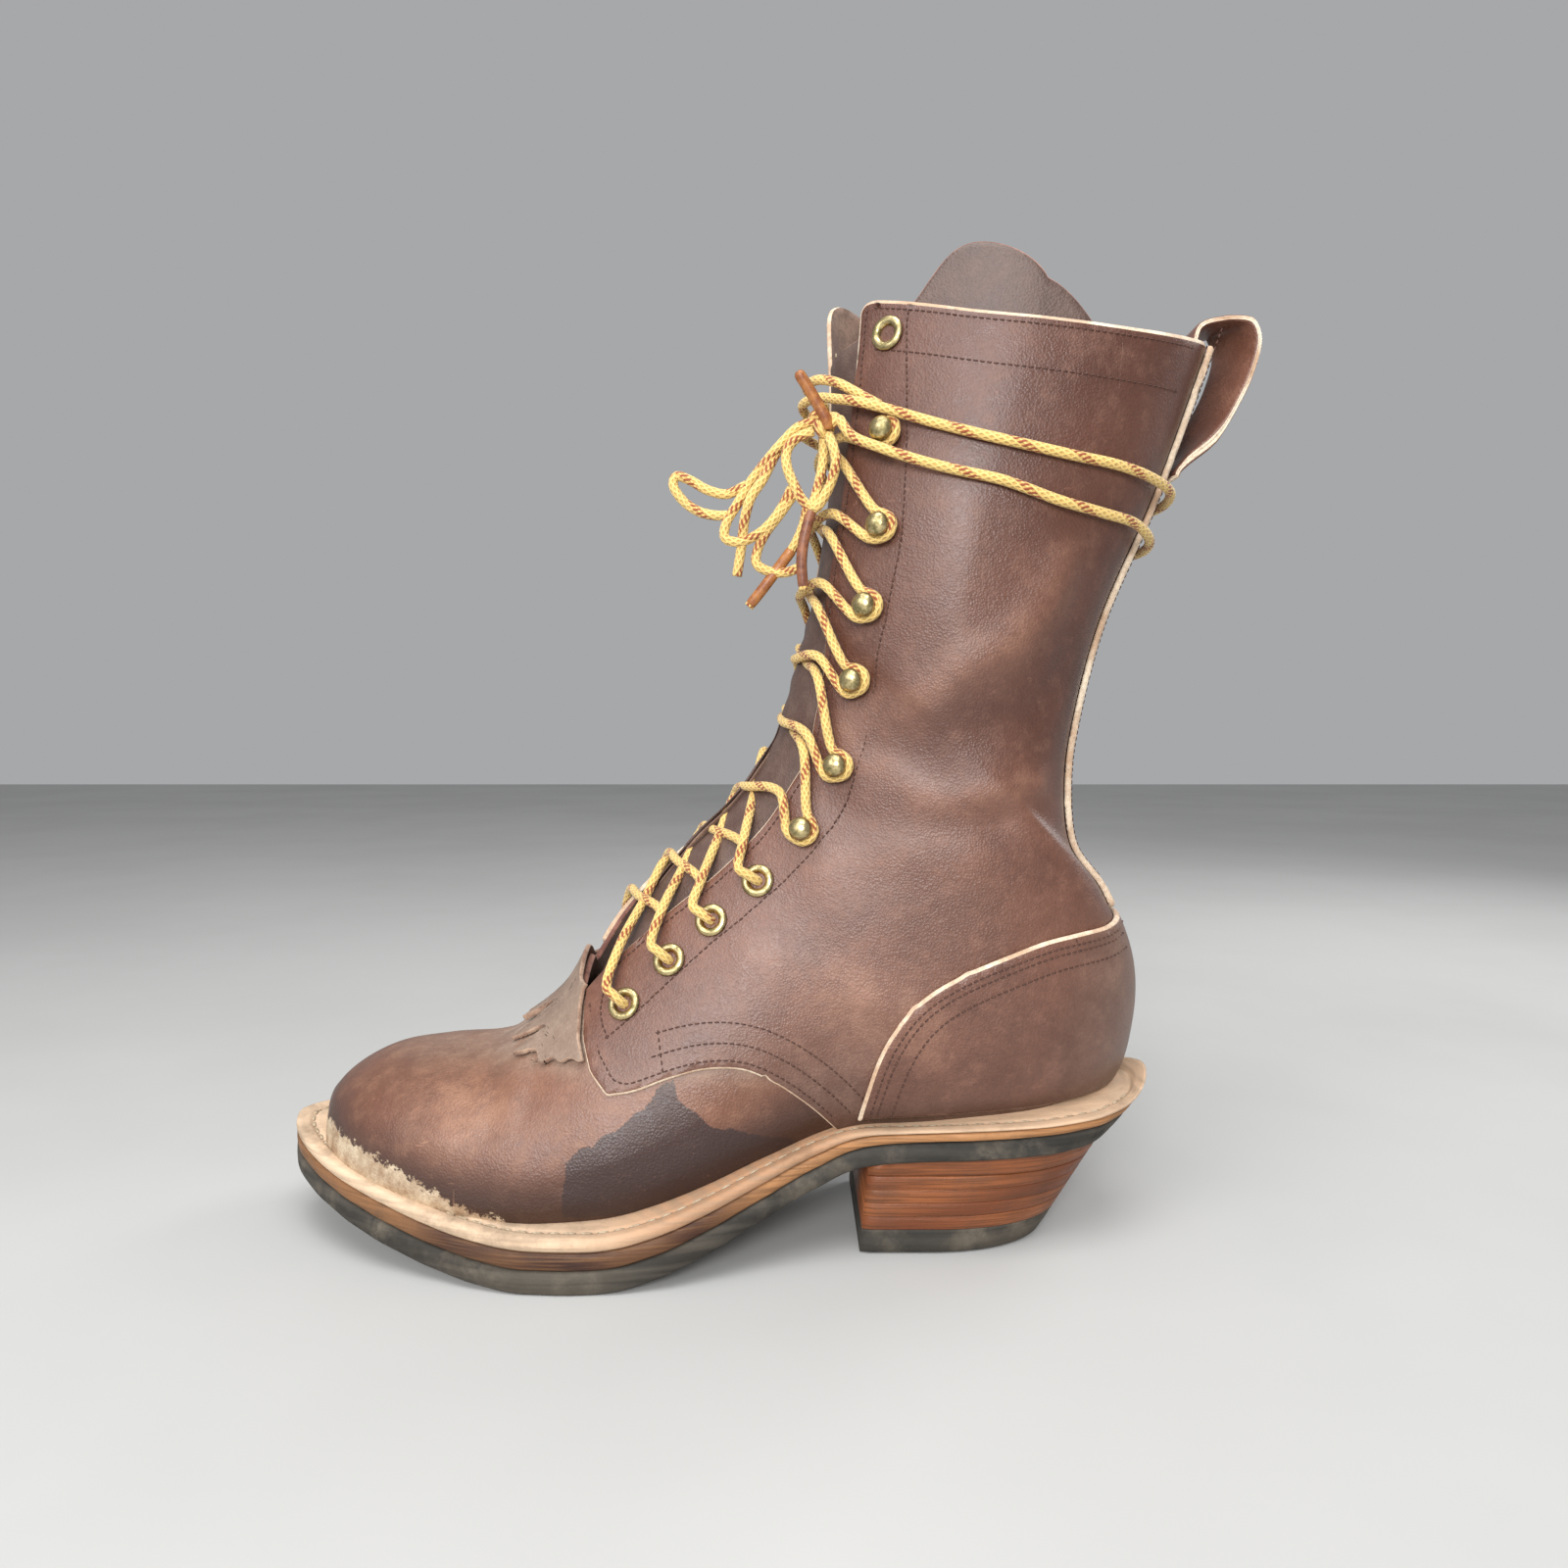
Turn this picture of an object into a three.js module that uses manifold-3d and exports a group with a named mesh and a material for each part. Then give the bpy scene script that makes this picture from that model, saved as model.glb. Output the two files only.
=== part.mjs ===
// A laced packer boot for the left foot, built in the layers that a bootmaker puts together: rubber
// outsole, leather midsole and welt, a stacked heel, and a hollow leather upper with its tongue, kiltie,
// counter, back stay, brass eyelets, hooks and laces.
// Units are millimetres, +Z is up, the toe points to -X and the outer side faces -Y. The origin is the
// middle of the heel's resting face.
import * as THREE from "three";
import { mergeVertices } from "three/addons/utils/BufferGeometryUtils.js";
import Module from "manifold-3d";

const wasm = await Module();
wasm.setup();

// Driving sizes of the foot and leg
const SOLE_LENGTH = 315;
const BALL_WIDTH = 110;
const LEG_WIDTH = 90;
const INSTEP_HEIGHT = 115;
const SHAFT_HEIGHT = 271;
const TOE_SPRING = 21.5;
const SEAT_HEIGHT = 33;
const SEAT_RISE = 5;

// Thickness of each layer
const OUTSOLE = 7.7;
const MIDSOLE = 6.2;
const WELT = 4.4;
const CROWN = 4;
const INSOLE = 3;
const VAMP_WALL = 2.2;
const QUARTER_WALL = 2.4;
const COUNTER_WALL = 1.9;
const STAY_WALL = 2.2;
const TONGUE_WALL = 1.8;
const KILTIE_WALL = 1.6;
const GAP = 0.3;

// How far the vamp's face lies below the quarters' face, and how far the vamp runs under them
const LAP_STEP = 1.6;
const LAP_UNDER = 12;
// How far the lower ends of the sections run below the welt's top, where the upper is cut open
const BURY = 14;

// The heel: its resting face, its lifts and its rubber cap
const HEEL_LENGTH = 68;
const HEEL_WIDTH = 61;
const HEEL_FLARE = 6;
const HEEL_CAP = 9;
const LIFT_COUNT = 5;
const BREAST_RAKE = 3;
const HEEL_SLANT = 21;
const EDGE_SLANT = 16;

// The lacing: the gap between the quarters and the places of the eyelets and hooks
const THROAT_GAP = 33;
const THROAT_MIDDLE = -1;
const EYELET_RADIUS = 5.7;
const EYELET_HOLE = 2.8;
const EYELET_FLANGE = 1.2;
const BARREL_WALL = 0.6;
const HOOK_HEAD = 4.1;
const HOOK_STEM = 1.5;
const HOOK_BASE = 4.4;
const HOOK_UNDER = 4.7;
const HOOK_REACH = 8.4;
const LACE = 3.4;

// The strap that covers the back seam, its pull loop, and the tongue's end above the collar
const STAY_WIDTH = 22;
const LOOP_WIDTH = 20;
const LOOP_RISE = 10;
const LOOP_DEPTH = 45;
const LOOP_BULGE = 12;
const TONGUE_TURN = 0.75;
const TONGUE_SPREAD = 0.47;
const KILTIE_PUFF = 2;
const COLLAR_DIP = 11;

const HEEL_MIDDLE_AT = 0.7665;
const BREAST_AT = 0.658;
const AROUND = 28;

// The sole's outline seen from above. at is the share of the sole's length from the toe, out and in the
// distance of its outer and inner edge from the heel's axis, as shares of the ball width.
const OUTLINE = [
  { at: 0.0, out: -0.08, in: 0.08 },
  { at: 0.008, out: 0.01, in: 0.15 },
  { at: 0.028, out: 0.1, in: 0.24 },
  { at: 0.062, out: 0.205, in: 0.325 },
  { at: 0.12, out: 0.325, in: 0.405 },
  { at: 0.2, out: 0.432, in: 0.455 },
  { at: 0.29, out: 0.513, in: 0.475 },
  { at: 0.375, out: 0.53, in: 0.46 },
  { at: 0.45, out: 0.502, in: 0.405 },
  { at: 0.52, out: 0.44, in: 0.34 },
  { at: 0.59, out: 0.37, in: 0.3 },
  { at: 0.66, out: 0.325, in: 0.302 },
  { at: 0.74, out: 0.325, in: 0.322 },
  { at: 0.82, out: 0.33, in: 0.332 },
  { at: 0.89, out: 0.305, in: 0.312 },
  { at: 0.945, out: 0.24, in: 0.25 },
  { at: 0.983, out: 0.135, in: 0.16 },
  { at: 1.0, out: 0.0, in: 0.03 },
];

// The sole's layers seen from the side: toe, seat and rise give the outsole's lower face as shares of
// the toe spring, the seat height and the seat's rise, and rubber, mid, welt and crown the thickness of
// each layer and of the welt's slope up to the upper, as shares of their named sizes.
const PROFILE = [
  { at: 0.0, toe: 1.0, seat: 0, rise: 0, rubber: 0.9, mid: 0.8, welt: 0.85, crown: 0.3 },
  { at: 0.045, toe: 0.82, seat: 0, rise: 0, rubber: 0.92, mid: 0.85, welt: 0.9, crown: 0.3 },
  { at: 0.09, toe: 0.63, seat: 0, rise: 0, rubber: 0.95, mid: 0.9, welt: 0.95, crown: 0.3 },
  { at: 0.14, toe: 0.44, seat: 0, rise: 0, rubber: 1, mid: 0.95, welt: 1, crown: 0.25 },
  { at: 0.21, toe: 0.2, seat: 0, rise: 0, rubber: 1, mid: 1, welt: 1, crown: 0.15 },
  { at: 0.27, toe: 0.06, seat: 0, rise: 0, rubber: 1, mid: 1, welt: 1, crown: 0.1 },
  { at: 0.315, toe: 0, seat: 0, rise: 0, rubber: 1, mid: 1, welt: 1, crown: 0.1 },
  { at: 0.385, toe: 0, seat: 0, rise: 0, rubber: 1, mid: 1, welt: 1, crown: 0.2 },
  { at: 0.43, toe: 0, seat: 0.07, rise: 0, rubber: 1, mid: 0.98, welt: 1, crown: 0.3 },
  { at: 0.49, toe: 0, seat: 0.26, rise: 0, rubber: 0.98, mid: 0.92, welt: 1, crown: 0.4 },
  { at: 0.56, toe: 0, seat: 0.56, rise: 0, rubber: 0.93, mid: 0.82, welt: 0.9, crown: 0.55 },
  { at: 0.62, toe: 0, seat: 0.83, rise: 0, rubber: 0.88, mid: 0.7, welt: 0.7, crown: 0.7 },
  { at: 0.66, toe: 0, seat: 0.97, rise: 0, rubber: 0.86, mid: 0.6, welt: 0.45, crown: 0.85 },
  { at: 0.72, toe: 0, seat: 1, rise: 0.15, rubber: 0.86, mid: 0.5, welt: 0.3, crown: 1 },
  { at: 0.86, toe: 0, seat: 1, rise: 0.55, rubber: 0.86, mid: 0.5, welt: 0.3, crown: 1.1 },
  { at: 0.92, toe: 0, seat: 1, rise: 0.8, rubber: 0.86, mid: 0.52, welt: 0.32, crown: 1.1 },
  { at: 0.955, toe: 0, seat: 1, rise: 1.1, rubber: 0.86, mid: 0.55, welt: 0.34, crown: 1.1 },
  { at: 0.975, toe: 0, seat: 1, rise: 1.6, rubber: 0.86, mid: 0.55, welt: 0.34, crown: 1.1 },
  { at: 1.0, toe: 0, seat: 1, rise: 2.5, rubber: 0.86, mid: 0.55, welt: 0.34, crown: 1.1 },
];

// Sections of the foot, from the toe to the heel seat. foot and ridge are the places of the lower and
// upper ends as shares of the sole's length, top the height over the welt as a share of the instep
// height. mid is the ridge's shift to the inner side, out and in the half widths from it, all as shares
// of the ball width. belly is the level of the widest place, low and high the roundness under and over.
const FOOT_SECTIONS = [
  { foot: 0.039, ridge: 0.039, top: 0.06, mid: 0.07, out: 0, in: 0, belly: 0.5, low: 3.2, high: 2.2 },
  { foot: 0.049, ridge: 0.053, top: 0.145, mid: 0.07, out: 0.17, in: 0.14, belly: 0.46, low: 3.2, high: 2.2 },
  { foot: 0.073, ridge: 0.081, top: 0.225, mid: 0.07, out: 0.275, in: 0.225, belly: 0.42, low: 3.2, high: 2.2 },
  { foot: 0.111, ridge: 0.12, top: 0.292, mid: 0.07, out: 0.372, in: 0.295, belly: 0.4, low: 3.2, high: 2.2 },
  { foot: 0.165, ridge: 0.174, top: 0.348, mid: 0.072, out: 0.455, in: 0.34, belly: 0.38, low: 3.2, high: 2.2 },
  { foot: 0.234, ridge: 0.246, top: 0.413, mid: 0.075, out: 0.512, in: 0.36, belly: 0.36, low: 3.2, high: 2.1 },
  { foot: 0.313, ridge: 0.322, top: 0.585, mid: 0.078, out: 0.54, in: 0.355, belly: 0.33, low: 3.2, high: 1.62 },
  { foot: 0.402, ridge: 0.381, top: 0.862, mid: 0.078, out: 0.53, in: 0.325, belly: 0.29, low: 3.2, high: 1.38 },
  { foot: 0.487, ridge: 0.442, top: 1.042, mid: 0.074, out: 0.49, in: 0.275, belly: 0.27, low: 3.2, high: 1.38 },
  { foot: 0.57, ridge: 0.487, top: 1.122, mid: 0.068, out: 0.44, in: 0.24, belly: 0.29, low: 3.1, high: 1.45 },
  { foot: 0.658, ridge: 0.525, top: 1.212, mid: 0.062, out: 0.395, in: 0.24, belly: 0.32, low: 3.0, high: 1.55 },
  { foot: 0.766, ridge: 0.548, top: 1.268, mid: 0.052, out: 0.385, in: 0.265, belly: 0.34, low: 2.9, high: 1.7 },
  { foot: 0.877, ridge: 0.563, top: 1.325, mid: 0.044, out: 0.375, in: 0.28, belly: 0.38, low: 2.6, high: 1.8 },
];

// Sections of the leg. back and front are places as shares of the sole's length, up the height of the
// back end over the seat as a share of the shaft height, and rise that of the front end over the instep
// as a share of the rest of the shaft. mid, out and in are shares of the leg width.
const LEG_SECTIONS = [
  { back: 0.949, up: 0.01, front: 0.571, rise: 0.211, mid: 0.045, out: 0.445, in: 0.35, belly: 0.42, low: 2.3, high: 1.9 },
  { back: 0.973, up: 0.09, front: 0.578, rise: 0.261, mid: 0.042, out: 0.435, in: 0.345, belly: 0.46, low: 2.2, high: 1.9 },
  { back: 0.972, up: 0.173, front: 0.583, rise: 0.304, mid: 0.04, out: 0.43, in: 0.345, belly: 0.48, low: 2.2, high: 1.9 },
  { back: 0.943, up: 0.257, front: 0.589, rise: 0.348, mid: 0.038, out: 0.435, in: 0.35, belly: 0.48, low: 2.2, high: 1.9 },
  { back: 0.905, up: 0.319, front: 0.595, rise: 0.398, mid: 0.036, out: 0.44, in: 0.365, belly: 0.48, low: 2.2, high: 1.95 },
  { back: 0.896, up: 0.399, front: 0.602, rise: 0.473, mid: 0.034, out: 0.455, in: 0.385, belly: 0.48, low: 2.2, high: 1.9 },
  { back: 0.902, up: 0.483, front: 0.609, rise: 0.561, mid: 0.032, out: 0.475, in: 0.41, belly: 0.48, low: 2.3, high: 1.78 },
  { back: 0.93, up: 0.617, front: 0.615, rise: 0.673, mid: 0.03, out: 0.49, in: 0.44, belly: 0.48, low: 2.4, high: 1.72 },
  { back: 0.99, up: 0.781, front: 0.616, rise: 0.811, mid: 0.04, out: 0.505, in: 0.465, belly: 0.48, low: 2.4, high: 1.7 },
  { back: 1.051, up: 0.977, front: 0.614, rise: 0.998, mid: 0.06, out: 0.515, in: 0.48, belly: 0.48, low: 2.4, high: 1.7 },
  { back: 1.082, up: 1.077, front: 0.612, rise: 1.166, mid: 0.065, out: 0.515, in: 0.48, belly: 0.48, low: 2.4, high: 1.7 },
];

// Number of the row where the throat begins
const THROAT_ROW = 6.35;
const LAST_ROW = FOOT_SECTIONS.length + LEG_SECTIONS.length - 1;

// The fastenings up each side of the throat: the section row, the distance from the quarter's front
// edge along the leather, and how far the lace that leaves it bows out over the throat.
const FASTENINGS = [
  { kind: "eyelet", row: 7.25, inset: 20, bow: 0.6 },
  { kind: "eyelet", row: 7.95, inset: 17.5, bow: 0.6 },
  { kind: "eyelet", row: 8.75, inset: 14.5, bow: 1.5 },
  { kind: "eyelet", row: 9.7, inset: 14.5, bow: 1.5 },
  { kind: "hook", row: 10.95, inset: 16.5, bow: 2.5 },
  { kind: "hook", row: 12.7, inset: 17, bow: 3.5 },
  { kind: "hook", row: 15.6, inset: 17.5, bow: 4 },
  { kind: "hook", row: 18.0, inset: 22, bow: 4 },
  { kind: "hook", row: 19.5, inset: 22, bow: 4 },
  { kind: "hook", row: 20.7, inset: 17.5, bow: 4 },
  { kind: "eyelet", row: 21.72, inset: 12.4, bow: 0 },
];

const placeX = (at) => (at - HEEL_MIDDLE_AT) * SOLE_LENGTH;
const shareOf = (x) => x / SOLE_LENGTH + HEEL_MIDDLE_AT;

// A smooth value between the rows of a table: t is the row's number with a fraction.
function blend(a, b, c, d, u) {
  return b + 0.5 * u * (c - a + u * (2 * a - 5 * b + 4 * c - d + u * (3 * (b - c) + d - a)));
}

function valueAt(values, t) {
  const last = values.length - 1;
  const i = Math.min(Math.max(Math.floor(t), 0), last - 1);
  const before = i > 0 ? values[i - 1] : 2 * values[0] - values[1];
  const after = i + 2 <= last ? values[i + 2] : 2 * values[last] - values[last - 1];
  return blend(before, values[i], values[i + 1], after, t - i);
}

// A straight-line value at a place along a table's first column.
function lookUp(rows, key, at) {
  const last = rows.length - 1;
  if (at <= rows[0].at) return rows[0][key];
  if (at >= rows[last].at) return rows[last][key];
  let i = 0;
  while (rows[i + 1].at < at) i += 1;
  const u = (at - rows[i].at) / (rows[i + 1].at - rows[i].at);
  const before = rows[Math.max(i - 1, 0)][key];
  const after = rows[Math.min(i + 2, last)][key];
  const smooth = blend(before, rows[i][key], rows[i + 1][key], after, u);
  const low = Math.min(rows[i][key], rows[i + 1][key]);
  const high = Math.max(rows[i][key], rows[i + 1][key]);
  return Math.min(Math.max(smooth, low), high);
}

// The height of the outsole's lower face at a place, and of the welt's top over it.
function soleBottom(x) {
  const at = shareOf(x);
  return (
    lookUp(PROFILE, "toe", at) * TOE_SPRING +
    lookUp(PROFILE, "seat", at) * SEAT_HEIGHT +
    lookUp(PROFILE, "rise", at) * SEAT_RISE
  );
}
// The height of each face of the sole's layers over the outsole's lower face: the outsole's top, the
// midsole's top, the welt's top at its rim, and where the welt meets the upper.
const thickness = (key, size) => (x) => lookUp(PROFILE, key, shareOf(x)) * size;
const rubberFace = thickness("rubber", OUTSOLE);
const midFace = (x) => rubberFace(x) + thickness("mid", MIDSOLE)(x);
const rimFace = (x) => midFace(x) + thickness("welt", WELT)(x);
const crownFace = (x) => rimFace(x) + thickness("crown", CROWN)(x);
const weltTop = (x) => soleBottom(x) + crownFace(x);
const SEAT_TOP = weltTop(0);

// The rows of both tables in millimetres, with the first section mirrored before the toe so that the
// skin closes there in a round nose.
const SECTIONS = [
  ...FOOT_SECTIONS.map((s) => ({
    backX: placeX(s.foot),
    backZ: weltTop(placeX(s.foot)) - (s.out ? BURY : -s.top * INSTEP_HEIGHT),
    frontX: placeX(s.ridge),
    frontZ: weltTop(placeX(s.ridge)) + s.top * INSTEP_HEIGHT,
    mid: s.mid * BALL_WIDTH,
    out: s.out * BALL_WIDTH,
    in: s.in * BALL_WIDTH,
    belly: s.belly,
    low: s.low,
    high: s.high,
  })),
  ...LEG_SECTIONS.map((s) => ({
    backX: placeX(s.back),
    backZ: SEAT_TOP + s.up * SHAFT_HEIGHT,
    frontX: placeX(s.front),
    frontZ: SEAT_TOP + INSTEP_HEIGHT + s.rise * (SHAFT_HEIGHT - INSTEP_HEIGHT),
    mid: s.mid * LEG_WIDTH,
    out: s.out * LEG_WIDTH,
    in: s.in * LEG_WIDTH,
    belly: s.belly,
    low: s.low,
    high: s.high,
  })),
];
const nose = SECTIONS[1];
const MIRRORED = {
  ...nose,
  backX: nose.frontX,
  backZ: nose.frontZ,
  frontX: nose.backX,
  frontZ: nose.backZ,
  out: -nose.out,
  in: -nose.in,
};
const COLUMNS = {};
for (const key of Object.keys(nose)) COLUMNS[key] = [MIRRORED, ...SECTIONS].map((s) => s[key]);

// A point of the upper's skin. t is the row, angle runs from the back or sole (0) by the outer side to
// the front or ridge (half a turn) and on by the inner side.
function skin(t, angle) {
  const v = (key) => valueAt(COLUMNS[key], t + 1);
  const along = -Math.cos(angle);
  const across = Math.sin(angle);
  const belly = v("belly");
  const power = 2 / (along < 0 ? v("low") : v("high"));
  const reach = Math.sign(along) * Math.abs(along) ** power;
  const wide = Math.abs(across) ** power;
  const share = belly + reach * (along < 0 ? belly : 1 - belly);
  const side = across > 0 ? -v("out") : v("in");
  return new THREE.Vector3(
    v("backX") + share * (v("frontX") - v("backX")),
    v("mid") + side * wide,
    v("backZ") + share * (v("frontZ") - v("backZ")),
  );
}

const STEP = 0.02;
function skinNormal(t, angle) {
  if (t <= 0) return new THREE.Vector3(-1, 0, 0);
  const along = skin(t + STEP, angle).sub(skin(t - STEP, angle));
  const around = skin(t, angle + STEP).sub(skin(t, angle - STEP));
  return along.cross(around).normalize();
}

// The skin moved outwards by a distance, or inwards by a negative one.
const offsetSkin = (t, angle, d) => skin(t, angle).addScaledVector(skinNormal(t, angle), d);

// A closed geometry from points and triangles.
function geometryOf(points, faces) {
  const made = new THREE.BufferGeometry().setFromPoints(points);
  made.setIndex(faces.flat());
  return made;
}

// A three.js geometry as a solid that can be joined and cut, and back.
function solidOf(geometry) {
  const bare = geometry.clone();
  bare.deleteAttribute("normal");
  bare.deleteAttribute("uv");
  const merged = mergeVertices(bare, 1e-4);
  const solid = new wasm.Manifold(
    new wasm.Mesh({
      numProp: 3,
      vertProperties: new Float32Array(merged.attributes.position.array),
      triVerts: new Uint32Array(merged.index.array),
    }),
  );
  if (solid.volume() > 0) return solid;
  const turned = new Uint32Array(merged.index.array);
  for (let i = 0; i < turned.length; i += 3) [turned[i + 1], turned[i + 2]] = [turned[i + 2], turned[i + 1]];
  return new wasm.Manifold(
    new wasm.Mesh({
      numProp: 3,
      vertProperties: new Float32Array(merged.attributes.position.array),
      triVerts: turned,
    }),
  );
}

const TIDY = 0.18;
function geometryFrom(solid) {
  const mesh = solid.simplify(TIDY).getMesh();
  const positions = new Float32Array(mesh.numVert * 3);
  for (let i = 0; i < mesh.numVert; i += 1) {
    positions.set(mesh.vertProperties.subarray(i * mesh.numProp, i * mesh.numProp + 3), i * 3);
  }
  const made = new THREE.BufferGeometry();
  made.setAttribute("position", new THREE.BufferAttribute(positions, 3));
  made.setIndex(new THREE.BufferAttribute(new Uint32Array(mesh.triVerts), 1));
  const flat = made.toNonIndexed();
  flat.computeVertexNormals();
  return flat;
}

// A grid of points closed into a body: rings one after another, with both ends capped or, at a point,
// closed on it.
function ringsToGeometry(rings) {
  const points = rings.flat();
  const n = rings[0].length;
  const faces = [];
  for (let i = 0; i + 1 < rings.length; i += 1) {
    for (let j = 0; j < n; j += 1) {
      const a = i * n + j;
      const b = i * n + ((j + 1) % n);
      faces.push([a, b, b + n], [a, b + n, a + n]);
    }
  }
  const cap = (ring, start, turned) => {
    const middle = ring.reduce((sum, p) => sum.add(p), new THREE.Vector3()).divideScalar(n);
    points.push(middle);
    for (let j = 0; j < n; j += 1) {
      const pair = [start + j, start + ((j + 1) % n)];
      faces.push([...(turned ? pair.reverse() : pair), points.length - 1]);
    }
  };
  cap(rings[0], 0, true);
  cap(rings[rings.length - 1], (rings.length - 1) * n, false);
  return geometryOf(points, faces.filter((f) => new Set(f).size === 3));
}

// The whole foot and leg as a closed form at a distance from the skin.
const ROW_STEPS = [];
for (let t = 0; t <= LAST_ROW; t += t < 3 ? 0.5 : 1) ROW_STEPS.push(t);
ROW_STEPS[0] = 0.06;
function form(d) {
  const rings = ROW_STEPS.map((t) =>
    Array.from({ length: AROUND }, (_, j) => offsetSkin(t, (j / AROUND) * 2 * Math.PI, d)),
  );
  return solidOf(ringsToGeometry(rings));
}
const shell = (inner, outer) => form(outer).subtract(form(inner));

// A prism through the whole width from an outline in the side view, given as [x, z] pairs.
function sidePrism(outline, from = -BALL_WIDTH, to = BALL_WIDTH) {
  const shape = new THREE.Shape(outline.map(([x, z]) => new THREE.Vector2(x, z)));
  const made = new THREE.ExtrudeGeometry(shape, { depth: to - from, bevelEnabled: false });
  made.rotateX(Math.PI / 2);
  made.translate(0, to, 0);
  return solidOf(made);
}

// Points of a smooth line through a few places of the side view.
function smoothLine(places, count) {
  const curve = new THREE.CatmullRomCurve3(
    places.map(([x, z]) => new THREE.Vector3(x, 0, z)),
    false,
    "centripetal",
  );
  return curve.getPoints(count).map((p) => [p.x, p.z]);
}

// One half of the sole's outline as a smooth line, side -1 for the outer edge and 1 for the inner.
const OUTLINE_STEPS = 44;
function outlineHalf(side) {
  const key = side < 0 ? "out" : "in";
  const curve = new THREE.CatmullRomCurve3(
    OUTLINE.map((r) => new THREE.Vector3(placeX(r.at), side * r[key] * BALL_WIDTH, 0)),
    false,
    "centripetal",
  );
  return curve.getSpacedPoints(OUTLINE_STEPS);
}
const OUTER_EDGE = outlineHalf(-1);
const INNER_EDGE = outlineHalf(1);

// An edge point pushed outwards by a distance and drawn in towards the breast where the heel's rear slants.
function edgePoint(edge, i, grow, slant) {
  const p = edge[i];
  const before = edge[Math.max(i - 1, 0)];
  const after = edge[Math.min(i + 1, edge.length - 1)];
  const side = edge === OUTER_EDGE ? -1 : 1;
  const normal = new THREE.Vector2(before.y - after.y, after.x - before.x).multiplyScalar(side).normalize();
  if (i === 0) normal.set(-1, 0);
  if (i === edge.length - 1) normal.set(1, 0);
  const behind = Math.max(0, (shareOf(p.x) - BREAST_AT) / (1 - BREAST_AT));
  return new THREE.Vector2(p.x + normal.x * grow - slant * behind ** 3, p.y + normal.y * grow);
}

// A layer of the sole between two faces, each given as a height over the outsole's lower face, a
// distance that its edge is moved out and one that it is drawn in at the rear. A crown lifts the top
// towards the middle.
function layer(low, high, crown) {
  const rings = [];
  for (let i = 0; i <= OUTLINE_STEPS; i += 1) {
    const corner = (edge, face, inset = 0) => {
      const p = edgePoint(edge, i, face.grow - inset, face.slant);
      return new THREE.Vector3(p.x, p.y, soleBottom(p.x) + face.at(p.x));
    };
    const [a, b] = [corner(OUTER_EDGE, low), corner(OUTER_EDGE, high)];
    const [c, d] = [corner(INNER_EDGE, high), corner(INNER_EDGE, low)];
    const raised = crown ? [0.3, 0.7].map((share) => liftTo(b.clone().lerp(c, share), crown)) : [];
    rings.push([a, b, ...raised, c, d]);
  }
  return solidOf(ringsToGeometry(rings));
}
const liftTo = (p, face) => p.setZ(soleBottom(p.x) + face(p.x));

// How far the rear edge is drawn in at a height over the outsole's lower face.
const REAR_STACK = rimFace(placeX(1));
const rearSlant = (height) => EDGE_SLANT * (1 - height / REAR_STACK);
const faceOf = (at, grow = 0) => ({ at, grow, slant: rearSlant(at(placeX(1))) });

function makeOutsole() {
  return layer(faceOf(() => 0, -0.6), faceOf(rubberFace));
}

function makeMidsole() {
  return layer(faceOf((x) => rubberFace(x) + GAP, -0.3), faceOf(midFace, -0.3));
}

// The welt runs all round the upper and slopes up to it.
function makeWelt() {
  const body = layer(faceOf((x) => midFace(x) + GAP), faceOf(rimFace, -0.6), crownFace);
  return body.subtract(form(GAP));
}

// Everything below a height over the outsole's lower face, wide enough to cut any piece of the upper.
function below(face) {
  const low = { at: () => -2 * SEAT_HEIGHT, grow: BURY, slant: 0 };
  return layer(low, { at: face, grow: BURY, slant: 0 });
}

// The heel at a height, with a straight breast and a round rear, drawn in all round by an inset.
const ARC_STEPS = 12;
function heelRing(z, inset = 0) {
  const up = z / SEAT_HEIGHT;
  const length = HEEL_LENGTH + (HEEL_SLANT - BREAST_RAKE) * up - inset;
  const half = (HEEL_WIDTH + HEEL_FLARE * up) / 2 - inset;
  const front = -HEEL_LENGTH / 2 + BREAST_RAKE * up;
  const straight = length * 0.34;
  const ring = [new THREE.Vector3(front, -half, z)];
  for (let i = 0; i <= ARC_STEPS; i += 1) {
    const a = -Math.PI / 2 + (i / ARC_STEPS) * Math.PI;
    const x = front + straight + (length - straight) * Math.cos(a) ** 0.9;
    ring.push(new THREE.Vector3(x, half * Math.sin(a), z));
  }
  ring.push(new THREE.Vector3(front, half, z));
  return ring;
}
const heelSlice = (...rings) => solidOf(ringsToGeometry(rings));

// The rubber cap, worn round at its lower edge.
function makeHeelCap() {
  return heelSlice(heelRing(0, 2.4), heelRing(1.8, 0.5), heelRing(HEEL_CAP));
}

function makeLifts() {
  const step = (SEAT_HEIGHT - HEEL_CAP) / LIFT_COUNT;
  const ceiling = layer(
    { at: () => -GAP, grow: BURY, slant: -BURY },
    { at: () => SEAT_HEIGHT, grow: BURY, slant: -BURY },
  );
  return Array.from({ length: LIFT_COUNT }, (_, i) => {
    const low = HEEL_CAP + i * step;
    const isTop = i === LIFT_COUNT - 1;
    const body = heelSlice(heelRing(low), heelRing(isTop ? SEAT_HEIGHT + 2 * SEAT_RISE : low + step));
    return isTop ? body.subtract(ceiling) : body;
  });
}

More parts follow.
